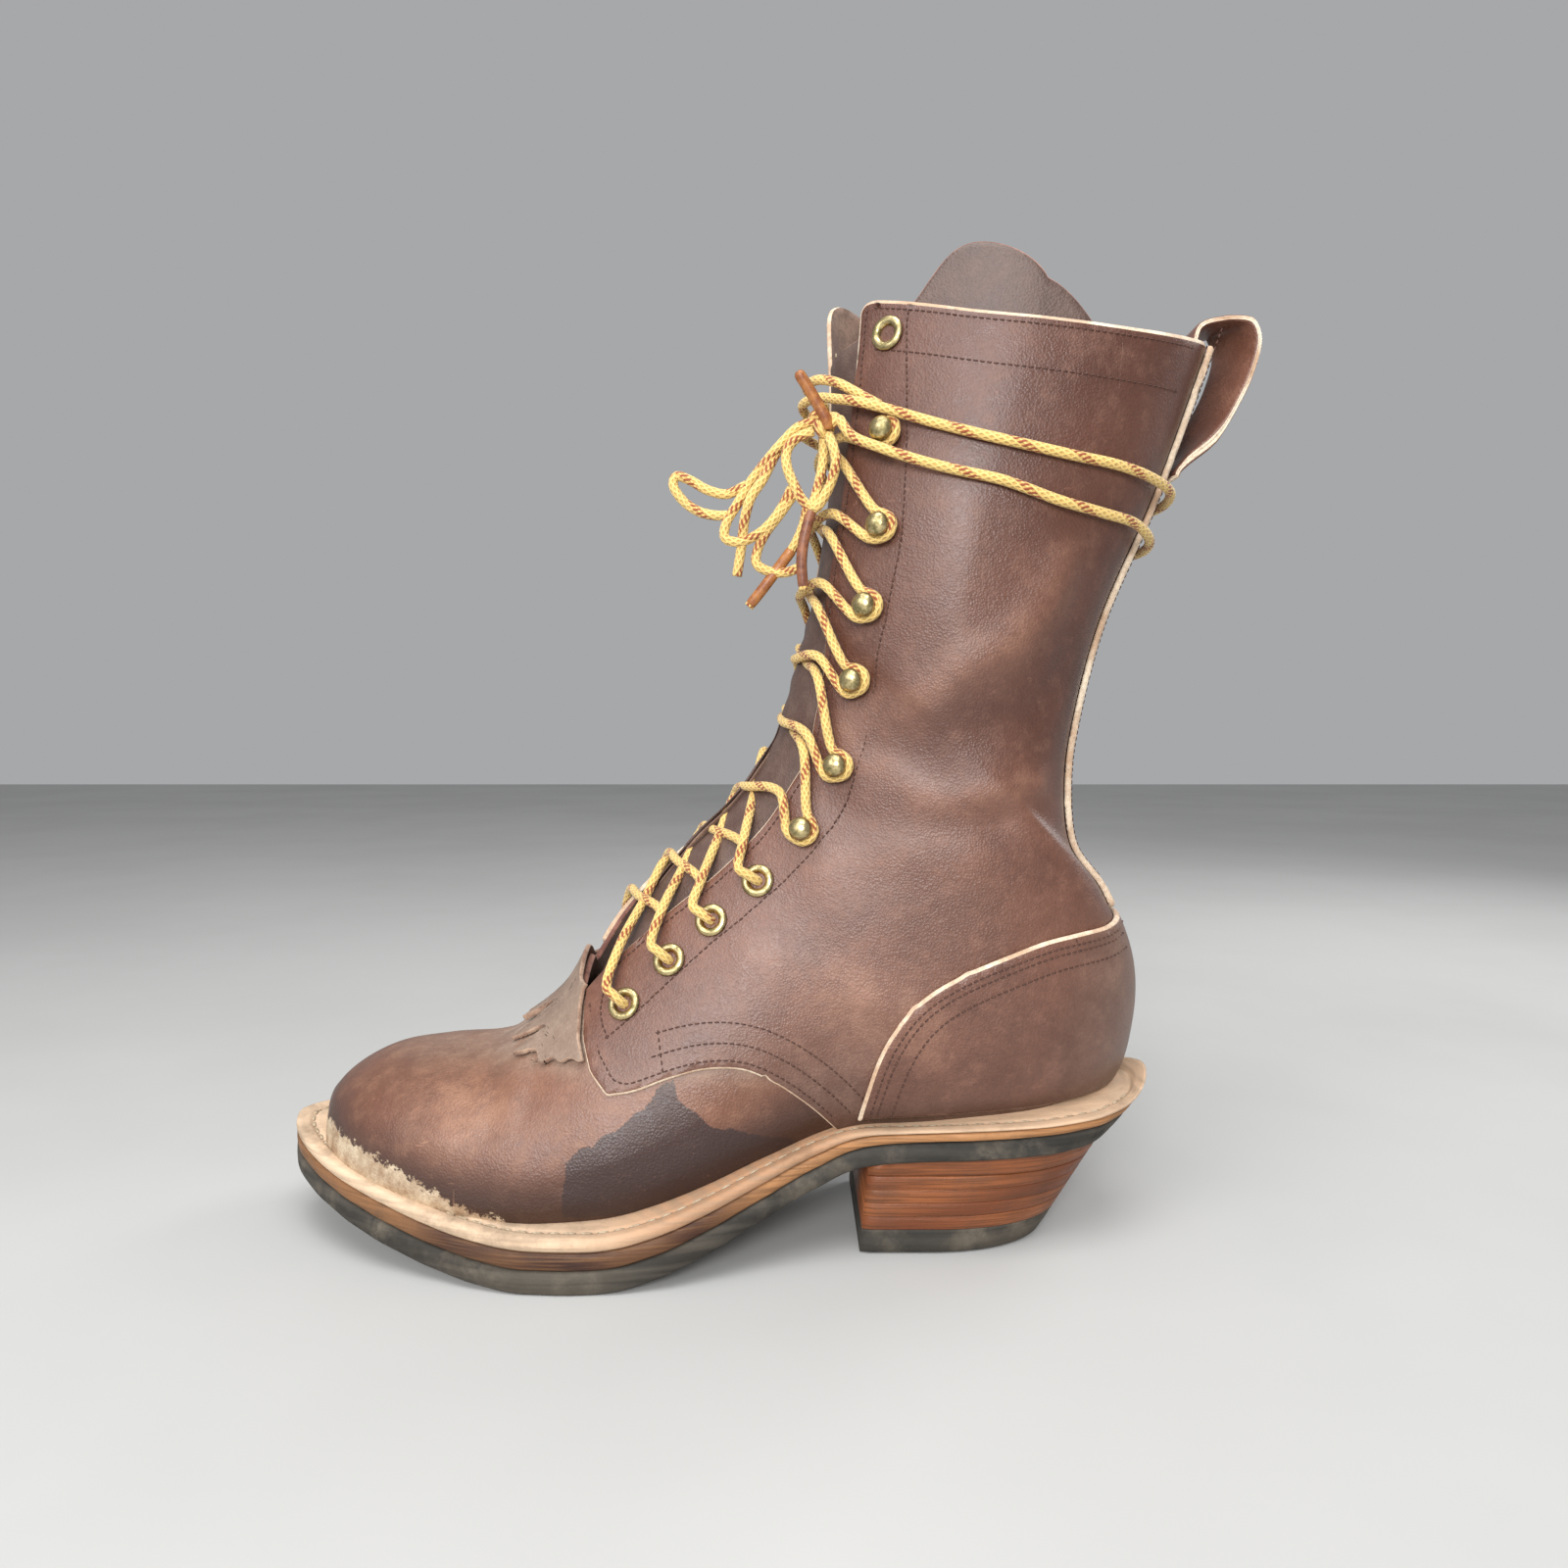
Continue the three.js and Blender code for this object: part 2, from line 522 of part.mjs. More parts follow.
// The line in the side view where the quarters lap over the vamp: down the front corner at the throat,
// then back along the foot to the sole. Heights are shares of the instep height.
const LAP_FRONT = [
  [0.357, 0.733],
  [0.36, 0.653],
  [0.372, 0.573],
].map(([at, up]) => [placeX(at), up * INSTEP_HEIGHT]);
const LAP_CURVE = smoothLine(
  [
    [0.392, 0.516],
    [0.42, 0.528],
    [0.456, 0.562],
    [0.496, 0.588],
    [0.536, 0.583],
    [0.567, 0.543],
    [0.592, 0.493],
    [0.613, 0.44],
    [0.645, 0.333],
  ].map(([at, up]) => [placeX(at), up * INSTEP_HEIGHT]),
  14,
);

// The quarters' part of the side view, from the lap line back and up, moved forwards by grow.
function quarterRegion(grow) {
  const far = placeX(1.3);
  const high = SEAT_TOP + 1.4 * SHAFT_HEIGHT;
  const front = [...LAP_FRONT, ...LAP_CURVE].map(([x, z]) => [x - grow, z - grow]);
  return sidePrism([
    ...front,
    [placeX(0.66) - grow, 0],
    [far, 0],
    [far, high],
    [placeX(0.357) - grow, high],
  ]);
}

// The vamp's part of the side view: all before a line that lies under the quarters.
function vampRegion() {
  const front = [...LAP_FRONT, ...LAP_CURVE].map(([x, z]) => [x + LAP_UNDER, z + LAP_UNDER]);
  return sidePrism([
    [placeX(-0.1), -SEAT_HEIGHT],
    [placeX(-0.1), SHAFT_HEIGHT],
    [front[0][0], SHAFT_HEIGHT],
    ...front,
    [placeX(0.68), 0.333 * INSTEP_HEIGHT + LAP_UNDER],
    [placeX(0.68), -SEAT_HEIGHT],
  ]);
}

// The throat between the quarters: a slot along the ridge from a row up past the collar.
function throatSlot(fromRow, half) {
  const rings = [];
  for (let t = fromRow; t <= LAST_ROW; t += 0.5) {
    const ridge = skin(t, Math.PI);
    const back = skin(t, 0);
    const inward = back.sub(ridge).normalize();
    const deep = ridge.clone().addScaledVector(inward, 32);
    const high = ridge.clone().addScaledVector(inward, -BURY * 2);
    rings.push([
      new THREE.Vector3(deep.x, THROAT_MIDDLE - half, deep.z),
      new THREE.Vector3(high.x, THROAT_MIDDLE - half, high.z),
      new THREE.Vector3(high.x, THROAT_MIDDLE + half, high.z),
      new THREE.Vector3(deep.x, THROAT_MIDDLE + half, deep.z),
    ]);
  }
  return solidOf(ringsToGeometry(rings));
}

// The part of the side view over the collar's top line, which dips at the sides of the leg.
function aboveCollar() {
  const front = placeX(0.5);
  const back = placeX(1.2);
  const top = SEAT_TOP + SHAFT_HEIGHT;
  const line = smoothLine(
    [
      [front, top + 0.9 * COLLAR_DIP],
      [placeX(0.62), top + 0.65 * COLLAR_DIP],
      [placeX(0.69), top + 0.07 * COLLAR_DIP],
      [placeX(0.78), top - 0.65 * COLLAR_DIP],
      [placeX(0.87), top - COLLAR_DIP],
      [placeX(0.95), top - 1.15 * COLLAR_DIP],
      [placeX(1.01), top - 1.05 * COLLAR_DIP],
      [placeX(1.06), top - 0.7 * COLLAR_DIP],
      [back, top - 0.3 * COLLAR_DIP],
    ],
    16,
  );
  return sidePrism([...line, [back, 2 * top], [front, 2 * top]]);
}

// A place on the skin beside the throat, at a distance from the quarter's front edge along the leather.
function besideThroat(t, side, inset) {
  const edge = THROAT_MIDDLE + (side * THROAT_GAP) / 2;
  const turn = 0.01;
  let angle = Math.PI;
  let walked = 0;
  let last = skin(t, angle);
  while (side * (last.y - edge) < 0 || walked < inset) {
    angle += side * turn;
    const here = skin(t, angle);
    if (side * (last.y - edge) >= 0) walked += here.distanceTo(last);
    last = here;
  }
  return { point: last, normal: skinNormal(t, angle), angle };
}

const SIDES = [
  { name: "outer", side: -1 },
  { name: "inner", side: 1 },
];

// Turns a lathe's axis to a direction and puts it at a point.
function standOn(mesh, place, lift) {
  mesh.quaternion.setFromUnitVectors(new THREE.Vector3(0, 1, 0), place.normal);
  mesh.position.copy(place.point).addScaledVector(place.normal, lift);
}

const LATHE_SIDES = 8;
function lathe(profile) {
  return new THREE.LatheGeometry(
    profile.map(([r, z]) => new THREE.Vector2(r, z)),
    LATHE_SIDES,
  );
}

// A brass eyelet: a domed flange outside and a barrel through the leather.
function eyeletGeometry() {
  const barrel = EYELET_HOLE + BARREL_WALL;
  const deep = -QUARTER_WALL - 2 * GAP;
  return lathe([
    [EYELET_HOLE, deep],
    [barrel, deep],
    [barrel, GAP],
    [EYELET_RADIUS, GAP],
    [EYELET_RADIUS - 1.2, EYELET_FLANGE],
    [EYELET_HOLE, EYELET_FLANGE * 0.7],
    [EYELET_HOLE, deep],
  ]);
}

// A speed hook: a washer on the leather, a stem and a round head that the lace catches under.
function hookGeometry() {
  return lathe([
    [0, 0],
    [HOOK_BASE, 0],
    [HOOK_BASE - 0.6, 0.7],
    [HOOK_STEM, 0.7],
    [HOOK_STEM, HOOK_UNDER],
    [HOOK_HEAD, HOOK_UNDER + 0.9],
    [HOOK_HEAD * 0.75, HOOK_REACH - 0.9],
    [0, HOOK_REACH],
  ]);
}

// A sheet over a part of the skin between two distances from it. edges(s) gives the first and last row
// at a share s across, from -1 on the outer side to 1 on the inner, and angle(t, s) the place around.
function sheet(edges, angle, inner, outer, alongSteps, acrossSteps) {
  const sides = [inner, outer].map((d) =>
    Array.from({ length: acrossSteps + 1 }, (_, j) => {
      const s = -1 + (2 * j) / acrossSteps;
      const [first, last] = edges(s, j);
      return Array.from({ length: alongSteps + 1 }, (_, i) => {
        const t = first + ((last - first) * i) / alongSteps;
        return offsetSkin(t, angle(t, s), typeof d === "function" ? d(t) : d);
      });
    }),
  );
  const rings = Array.from({ length: acrossSteps + 1 }, (_, j) => [...sides[0][j], ...[...sides[1][j]].reverse()]);
  return solidOf(stripGeometry(rings));
}

// Like ringsToGeometry, with the ends closed as strips between the two faces of a thin sheet.
function stripGeometry(rings) {
  const points = rings.flat();
  const n = rings[0].length;
  const faces = [];
  for (let i = 0; i + 1 < rings.length; i += 1) {
    for (let j = 0; j < n; j += 1) {
      const a = i * n + j;
      const b = i * n + ((j + 1) % n);
      faces.push([a, b, b + n], [a, b + n, a + n]);
    }
  }
  for (const [start, turned] of [
    [0, true],
    [(rings.length - 1) * n, false],
  ]) {
    for (let j = 0; j + 1 < n / 2; j += 1) {
      const quad = [start + j, start + j + 1, start + n - 2 - j, start + n - 1 - j];
      const pair = [
        [quad[0], quad[1], quad[2]],
        [quad[0], quad[2], quad[3]],
      ];
      faces.push(...(turned ? pair.map((f) => [...f].reverse()) : pair));
    }
  }
  return geometryOf(points, faces);
}

// The tongue follows the inside of the upper from under the vamp, turns to the outer side on its way up
// and stands out over the collar. Its upper end is given by rows at shares of its width.
const TONGUE_FACE = -LAP_STEP - VAMP_WALL - 3 * GAP;
const TONGUE_END = [
  { at: -1, row: 21.8 },
  { at: -0.88, row: 22 },
  { at: -0.74, row: 22.3 },
  { at: -0.6, row: 22.55 },
  { at: -0.48, row: 22.7 },
  { at: -0.38, row: 22.75 },
  { at: -0.28, row: 22.73 },
  { at: -0.22, row: 22.6 },
  { at: -0.16, row: 22.1 },
  { at: -0.08, row: 21.9 },
  { at: 1, row: 21.5 },
];
const easeIn = (value) => {
  const u = Math.min(1, Math.max(0, value));
  return u * u * (3 - 2 * u);
};
function makeTongue() {
  const edges = (s) => [THROAT_ROW - 0.6, lookUp(TONGUE_END, "row", s)];
  const angle = (t, s) =>
    Math.PI - TONGUE_TURN * easeIn((t - 13) / 9) + s * (0.6 + TONGUE_SPREAD * easeIn((t - 6) / 16));
  const body = sheet(edges, angle, TONGUE_FACE - TONGUE_WALL, TONGUE_FACE, 14, 9);
  return body.intersect(form(-LAP_STEP - VAMP_WALL - GAP));
}

// The kiltie: a loose leather with a cut fringe that lies on the vamp before the throat.
const KILTIE_TEETH = 8;
function makeKiltie() {
  const face = -LAP_STEP + 2 * GAP;
  const puff = (t) => face + KILTIE_PUFF * easeIn((t - 5.9) / 1.3);
  const tooth = (j) => (j % 2 ? 0.3 : 0);
  const edges = (s, j) => [5.5 + tooth(j) + 0.3 * s * s, 6.8 - 0.3 * s * s];
  const angle = (t, s) => Math.PI - 0.05 + s * 0.8;
  const body = sheet(edges, angle, puff, (t) => puff(t) + KILTIE_WALL, 5, 2 * KILTIE_TEETH);
  const slot = throatSlot(THROAT_ROW - 2, THROAT_GAP / 2 - GAP);
  return body.subtract(quarterRegion(GAP).subtract(slot)).subtract(form(-LAP_STEP + GAP));
}

const COUNTER_LINE = smoothLine(
  [
    [placeX(0.652), SEAT_TOP - 0.035 * SHAFT_HEIGHT],
    [placeX(0.657), SEAT_TOP],
    [placeX(0.666), SEAT_TOP + 0.038 * SHAFT_HEIGHT],
    [placeX(0.675), SEAT_TOP + 0.070 * SHAFT_HEIGHT],
    [placeX(0.688), SEAT_TOP + 0.101 * SHAFT_HEIGHT],
    [placeX(0.708), SEAT_TOP + 0.133 * SHAFT_HEIGHT],
    [placeX(0.733), SEAT_TOP + 0.158 * SHAFT_HEIGHT],
    [placeX(0.770), SEAT_TOP + 0.182 * SHAFT_HEIGHT],
    [placeX(0.807), SEAT_TOP + 0.200 * SHAFT_HEIGHT],
    [placeX(0.851), SEAT_TOP + 0.218 * SHAFT_HEIGHT],
    [placeX(0.894), SEAT_TOP + 0.227 * SHAFT_HEIGHT],
    [placeX(0.930), SEAT_TOP + 0.232 * SHAFT_HEIGHT],
    [placeX(0.992), SEAT_TOP + 0.253 * SHAFT_HEIGHT],
  ],
  18,
);

function makeCounter() {
  const region = sidePrism([...COUNTER_LINE, [placeX(1.1), SEAT_TOP + 0.258 * SHAFT_HEIGHT], [placeX(1.1), 0], [placeX(0.64), 0]]);
  return shell(GAP, GAP + COUNTER_WALL).intersect(region).subtract(below((x) => crownFace(x) + GAP));
}

// The back stay: a strip up the back seam from the counter to the collar.
function makeBackStay() {
  const low = SEAT_TOP + 0.236 * SHAFT_HEIGHT;
  const region = sidePrism(
    [
      [placeX(0.8), low + 1],
      [placeX(0.928), low + 1.3],
      [placeX(1.1), low + 0.034 * SHAFT_HEIGHT + 1.5],
      [placeX(1.2), 2 * SHAFT_HEIGHT],
      [placeX(0.8), 2 * SHAFT_HEIGHT],
    ],
    -STAY_WIDTH / 2,
    STAY_WIDTH / 2,
  );
  return shell(GAP, GAP + STAY_WALL).intersect(region).subtract(aboveCollar());
}

// The row of the back line at a height, and the place there at a distance from the skin.
function backAt(z, d) {
  let low = FOOT_SECTIONS.length + 2;
  let high = LAST_ROW;
  while (high - low > 1e-3) {
    const middle = (low + high) / 2;
    if (skin(middle, 0).z < z) low = middle;
    else high = middle;
  }
  const place = offsetSkin(low, 0, d);
  return new THREE.Vector2(place.x, place.z);
}

// A flat strap that follows a path in the side view, as wide as asked across the boot.
function strap(path, thickness, width) {
  const curve = new THREE.SplineCurve(path);
  const count = 2 * path.length;
  const edge = (side) =>
    Array.from({ length: count + 1 }, (_, i) => {
      const tangent = curve.getTangent(i / count);
      const normal = new THREE.Vector2(-tangent.y, tangent.x);
      return curve.getPoint(i / count).addScaledVector(normal, (side * thickness) / 2);
    });
  const outline = [...edge(-1), ...edge(1).reverse()];
  return sidePrism(
    outline.map((p) => [p.x, p.y]),
    -width / 2,
    width / 2,
  );
}

// The pull loop: a strap sewn inside the back of the collar, that goes over it and down to the stay.
function makePullLoop() {
  const top = SEAT_TOP + SHAFT_HEIGHT - 0.8 * COLLAR_DIP;
  const half = STAY_WALL / 2;
  const inside = -QUARTER_WALL - 1.3 * STAY_WALL - half;
  const outside = 2 * GAP + STAY_WALL + half;
  const rim = backAt(top, 0);
  const path = [
    backAt(top - 22, inside),
    backAt(top - 12, inside),
    backAt(top - 2, inside),
    backAt(top + 0.45 * LOOP_RISE, inside),
    new THREE.Vector2(rim.x + 0.2 * LOOP_BULGE, top + LOOP_RISE * 0.9),
    new THREE.Vector2(rim.x + 0.75 * LOOP_BULGE, top + 0.9 * LOOP_RISE),
    new THREE.Vector2(rim.x + LOOP_BULGE, top + 0.3 * LOOP_RISE),
    backAt(top - 0.13 * LOOP_DEPTH, LOOP_BULGE),
    backAt(top - 0.38 * LOOP_DEPTH, 0.9 * LOOP_BULGE),
    backAt(top - 0.65 * LOOP_DEPTH, 0.68 * LOOP_BULGE),
    backAt(top - 0.86 * LOOP_DEPTH, 0.4 * LOOP_BULGE),
    backAt(top - 0.92 * LOOP_DEPTH, outside),
    backAt(top - 0.96 * LOOP_DEPTH, outside),
  ];
  return strap(path, STAY_WALL, LOOP_WIDTH);
}

function makeInsole() {
  const slab = layer(faceOf((x) => midFace(x) + GAP), faceOf((x) => midFace(x) + GAP + INSOLE));
  return slab.intersect(form(-LAP_STEP - VAMP_WALL - GAP));
}

// The upper: vamp and quarters lapped into one hollow skin, open at the collar, the throat and the sole.
function makeUpper() {
  const vamp = shell(-LAP_STEP - VAMP_WALL, -LAP_STEP).intersect(vampRegion());
  const quarters = shell(-QUARTER_WALL, 0).intersect(quarterRegion(0)).subtract(throatSlot(THROAT_ROW - 1.5, THROAT_GAP / 2));
  const joined = vamp.subtract(throatSlot(THROAT_ROW, THROAT_GAP / 2)).add(quarters);
  let open = joined.subtract(aboveCollar()).subtract(below((x) => midFace(x) + GAP));
  const punch = new THREE.CylinderGeometry(EYELET_HOLE + BARREL_WALL + GAP, EYELET_HOLE + BARREL_WALL + GAP, 12, 12);
  for (const place of fastenings.filter((f) => f.kind === "eyelet")) {
    const hole = new THREE.Mesh(punch);
    standOn(hole, place, 0);
    hole.updateMatrixWorld();
    open = open.subtract(solidOf(punch.clone().applyMatrix4(hole.matrixWorld)));
  }
  return open;
}

// The places of one side's fastenings with their names.
const fastenings = SIDES.flatMap(({ name, side }) =>
  FASTENINGS.map((f, i) => ({ ...f, ...besideThroat(f.row, side, f.inset), name: `${f.kind}_${name}_${i + 1}`, side, i })),
);
const fasteningAt = (side, i) => fastenings.find((f) => f.side === side && f.i === i);

// A round cord through a list of points, with a section at each point.
function cord(points, sides) {
  const section = new THREE.Shape(
    Array.from({ length: sides }, (_, k) => {
      const a = (k / sides) * 2 * Math.PI;
      return new THREE.Vector2((LACE / 2) * Math.cos(a), (LACE / 2) * Math.sin(a));
    }),
  );
  const path = new THREE.CatmullRomCurve3(points, false, "centripetal");
  path.getPointAt = path.getPoint;
  path.getTangentAt = path.getTangent;
  return new THREE.ExtrudeGeometry(section, {
    steps: points.length - 1,
    bevelEnabled: false,
    extrudePath: path,
  });
}

// A point beside a fastening: so far off the leather, up along the throat and away from it.
function beside(f, off, up, away) {
  const along = skin(f.row + STEP, f.angle).sub(skin(f.row - STEP, f.angle)).normalize();
  const outward = new THREE.Vector3().crossVectors(along, f.normal).multiplyScalar(-f.side);
  return f.point
    .clone()
    .addScaledVector(f.normal, off)
    .addScaledVector(along, up)
    .addScaledVector(outward, away);
}

// A point over a quarter's front edge, so far off it and towards the throat's middle.
function overEdge(row, side, off, inwards) {
  const edge = besideThroat(row, side, 0);
  return edge.point.addScaledVector(edge.normal, off).add(new THREE.Vector3(0, -side * inwards, 0));
}

// One strand of the lace, from a fastening over the throat to the next one up on the other side. It
// comes out of an eyelet or from under a hook's head, and ends at a hook or short of the far quarter.
const STRAND_SIDES = 6;
const UNDER_HEAD = 0.7 + GAP + GAP + LACE / 2;
function strand(side, i) {
  const from = fasteningAt(side, i);
  const to = fasteningAt(-side, i + 1);
  const rise = to.row - from.row;
  const start =
    from.kind === "eyelet"
      ? [beside(from, -0.4, 0, 0), beside(from, 2.6, 0.2, -0.3), beside(from, 4.4, 1.4, -2.6), beside(from, 4.4, 3, -6)]
      : [beside(from, UNDER_HEAD, 2.6, 3.4), beside(from, UNDER_HEAD, 4, 0.4), beside(from, UNDER_HEAD, 4.6, -3)];
  const end =
    to.kind === "hook"
      ? [
          overEdge(to.row - rise * 0.25, -side, LACE / 2 + 1.2, 0),
          beside(to, UNDER_HEAD, -4.4, -3.4),
          beside(to, UNDER_HEAD, -4.1, 0.6),
          beside(to, UNDER_HEAD, -2.4, 3.6),
        ]
      : [overEdge(to.row - rise * 0.15, -side, 0, LACE / 2 + 1.2)];
  const over = overEdge(from.row + rise * 0.3, side, LACE / 2 + 1.2, 0);
  const middle = offsetSkin(from.row + rise * 0.55, Math.PI, LACE / 2 + from.bow + 0.8 * side);
  const points = [...start, over, middle, ...end];
  return solidOf(cord(points, STRAND_SIDES));
}
const makeCrossing = (i) => strand(-1, i).add(strand(1, i));

// The lace's free runs, in millimetres: twice round the shaft, then the strands of its bow.
const WRAPS = {
  lace_wrap_upper: [
    [-32.7, 32.1, 282.7], [-41, 26.3, 287.9], [-48.3, 18.5, 292.6], [-53.1, 3.8, 295],
    [-48.3, -8.7, 294.2], [-41.6, -19.7, 290.6], [-34.7, -28.3, 287.1], [-25.4, -33.7, 283.1],
    [-13.6, -37.6, 278.5], [-0.2, -42.2, 273.7], [13.7, -44.1, 270], [32.9, -42.4, 266.2],
    [48.8, -37.5, 264.2], [62.3, -29, 262], [72.4, -16.5, 260.1], [76, 3.6, 259], [72.1, 22.4, 259.5],
    [61.8, 33.8, 260.9], [48.1, 41.2, 262.8], [32.4, 45.7, 264.9], [13.2, 47.1, 268.4],
    [-0.8, 45.3, 271.1], [-14.3, 41.3, 275.2], [-25.5, 40, 280.4], [-35.8, 36.6, 284.3],
    [-44.7, 29.7, 286.8], [-51.5, 20, 287.8], [-54.8, 9.9, 287.8], [-55.1, 1.5, 286.7],
    [-54.4, -6, 285], [-51.8, -13.5, 283.2], [-48.5, -19.5, 281.3],
  ],
  lace_wrap_lower: [
    [-28.2, -28.1, 286.1], [-35.2, -21.8, 292], [-42, -15.4, 297.5], [-48.1, -7.7, 300.7],
    [-51.6, 4.2, 301.6], [-47.7, 15.4, 300.5], [-38.8, 25.5, 297.7], [-27, 34.1, 293.4],
    [-11.9, 42.2, 287.1], [0.9, 48.1, 280.3], [14.3, 51.6, 272.1], [32.3, 49.9, 262.3],
    [45.9, 42.8, 254.1], [56.9, 33.2, 248.6], [65.6, 21.7, 244.4], [68.9, 3.2, 242.8],
    [65.5, -16.7, 244.1], [56.4, -29.1, 247.4], [43, -37.4, 249.3], [27.9, -42.4, 252.2],
    [10, -44, 258.1], [-3.6, -42.3, 261.5], [-16.1, -39.7, 265.3], [-28.3, -35.9, 270.3],
    [-37.4, -29, 276.1], [-41.3, -25.3, 282.4],
  ],
};
const BOW = {
  knot_loop: [
    [-44.9, -23, 278.1], [-43.4, -27, 272.8], [-42.5, -28, 268.1], [-43.4, -27, 263.2],
    [-46, -26, 257.3], [-49.5, -25, 253], [-53.1, -25, 255.3], [-56.1, -25, 260.4], [-58.7, -25, 266.9],
    [-58.7, -24, 272.3], [-55.8, -24, 276.2], [-49.9, -24, 278.8],
  ],
  long_loop: [
    [-47.2, -23, 282.3], [-54.4, -22, 280.9], [-59.7, -22, 276.1], [-65.7, -21, 269.5],
    [-71, -20, 262.9], [-75.6, -20, 255.3], [-79.3, -20, 249.1], [-79.7, -20, 244.1],
    [-75.3, -20, 242.8], [-69, -20, 245.1], [-63.7, -21, 249.5], [-59.7, -22, 255.2], [-57.1, -24, 260],
  ],
  far_loop: [
    [-72.3, -20, 261.9], [-79.1, -18, 259.3], [-85.9, -16, 261.1], [-92, -15, 264.6],
    [-96.8, -14, 266.2], [-97.8, -14, 263.2], [-94.4, -15, 257.7], [-88.9, -16, 253.8],
    [-83.1, -18, 252.1], [-78, -20, 251.7],
  ],
  low_loop: [
    [-55.8, -24, 258.7], [-61.4, -21, 251.5], [-65.7, -20, 246.1], [-68.7, -19, 240.3],
    [-69.1, -19, 235.7], [-65, -19, 233.1], [-59, -20, 232.6], [-53.7, -23, 234.1],
  ],
  plain_end: [
    [-61.3, -22, 273.8], [-66.9, -23, 263.2], [-70.9, -22, 257.2], [-73, -21, 250.2],
    [-74.1, -19, 242.3], [-75.8, -18, 231.5],
  ],
  low_end: [
    [-51.8, -25, 254.6], [-53.4, -22, 247.4], [-57, -20, 240.2], [-61.7, -19, 234.1],
    [-66.4, -19, 227.8], [-71.8, -18, 221.2],
  ],
  dark_end: [
    [-50.2, -26, 253.8], [-53.1, -25, 242.3], [-53.8, -24, 235], [-53.1, -23, 226.3],
  ],
  high_end: [
    [-45.7, -25, 281.4], [-48, -26, 286.2], [-51.3, -27, 291.4], [-55.2, -28, 297.1],
  ],
};
const CORD_SIDES = 8;
const KNOT = { x: -45.5, y: -23, z: 283, wide: 8, high: 7 };

const freeCord = (places) => solidOf(cord(places.map((place) => new THREE.Vector3(...place)), CORD_SIDES));

// The bow: a knot with the strands that come out of it.
function makeBow() {
  const knot = new THREE.SphereGeometry(1, 10, 7);
  knot.scale(KNOT.wide / 2, KNOT.wide / 2, KNOT.high / 2);
  knot.translate(KNOT.x, KNOT.y, KNOT.z);
  return Object.values(BOW).reduce((sum, places) => sum.add(freeCord(places)), solidOf(knot));
}

const FINISH = {
  leather: { color: 0x4a2c22, roughness: 0.55, metalness: 0 },
  dark: { color: 0x3c261f, roughness: 0.6, metalness: 0 },
  tan: { color: 0xb98a5c, roughness: 0.7, metalness: 0 },
  stack: { color: 0x8a4a26, roughness: 0.5, metalness: 0 },
  rubber: { color: 0x3a3a38, roughness: 0.85, metalness: 0 },
  brass: { color: 0xb59a58, roughness: 0.3, metalness: 1 },
  lace: { color: 0xc99b45, roughness: 0.85, metalness: 0 },
};

const boot = new THREE.Group();
function add(name, geometry, finish) {
  const mesh = new THREE.Mesh(geometry, new THREE.MeshStandardMaterial(FINISH[finish]));
  mesh.name = name;
  boot.add(mesh);
  return mesh;
}

add("outsole", geometryFrom(makeOutsole()), "rubber");
add("midsole", geometryFrom(makeMidsole()), "tan");
add("welt", geometryFrom(makeWelt()), "tan");
add("heel_cap", geometryFrom(makeHeelCap()), "rubber");
makeLifts().forEach((lift, i) => add(`heel_lift_${i + 1}`, geometryFrom(lift), "stack"));
add("insole", geometryFrom(makeInsole()), "tan");
add("upper", geometryFrom(makeUpper()), "leather");
add("counter", geometryFrom(makeCounter()), "leather");
add("back_stay", geometryFrom(makeBackStay()), "leather");
add("pull_loop", geometryFrom(makePullLoop()), "leather");
add("tongue", geometryFrom(makeTongue()), "dark");
add("kiltie", geometryFrom(makeKiltie()), "dark");

for (const place of fastenings) {
  const geometry = place.kind === "hook" ? hookGeometry() : eyeletGeometry();
  standOn(add(place.name, geometry, "brass"), place, GAP);
}
for (let i = 0; i + 1 < FASTENINGS.length - 1; i += 1) {
  add(`lace_cross_${i + 1}`, geometryFrom(makeCrossing(i)), "lace");
}
for (const [name, places] of Object.entries(WRAPS)) add(name, geometryFrom(freeCord(places)), "lace");
add("lace_bow", geometryFrom(makeBow()), "lace");

export default boot;
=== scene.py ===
"""The looks of a laced packer boot for the left foot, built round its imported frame.

The boot stands on its heel and forefoot, +Z is up, the toe points to -X and the outer side faces -Y.
The sizes and tables are in millimetres, as a bootmaker would give them, and meshes are in metres.
"""

import logging
import math
from dataclasses import dataclass
from enum import Enum
from typing import Callable, Sequence

import bpy
import numpy as np
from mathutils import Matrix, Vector
from mathutils.kdtree import KDTree


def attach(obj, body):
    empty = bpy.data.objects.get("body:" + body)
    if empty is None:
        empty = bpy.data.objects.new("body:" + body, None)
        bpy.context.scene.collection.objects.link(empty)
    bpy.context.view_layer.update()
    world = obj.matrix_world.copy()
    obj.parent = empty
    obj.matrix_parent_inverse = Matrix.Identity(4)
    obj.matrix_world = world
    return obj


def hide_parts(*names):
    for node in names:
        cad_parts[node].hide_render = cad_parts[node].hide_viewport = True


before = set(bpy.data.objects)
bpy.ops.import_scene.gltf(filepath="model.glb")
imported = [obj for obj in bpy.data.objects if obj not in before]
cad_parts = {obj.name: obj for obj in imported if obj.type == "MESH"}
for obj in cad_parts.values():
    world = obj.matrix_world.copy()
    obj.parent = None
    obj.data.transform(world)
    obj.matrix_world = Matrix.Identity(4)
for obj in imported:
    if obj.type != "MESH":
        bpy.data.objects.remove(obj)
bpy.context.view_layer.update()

log = logging.getLogger("boot")
MM = 0.001
BODY = "root"

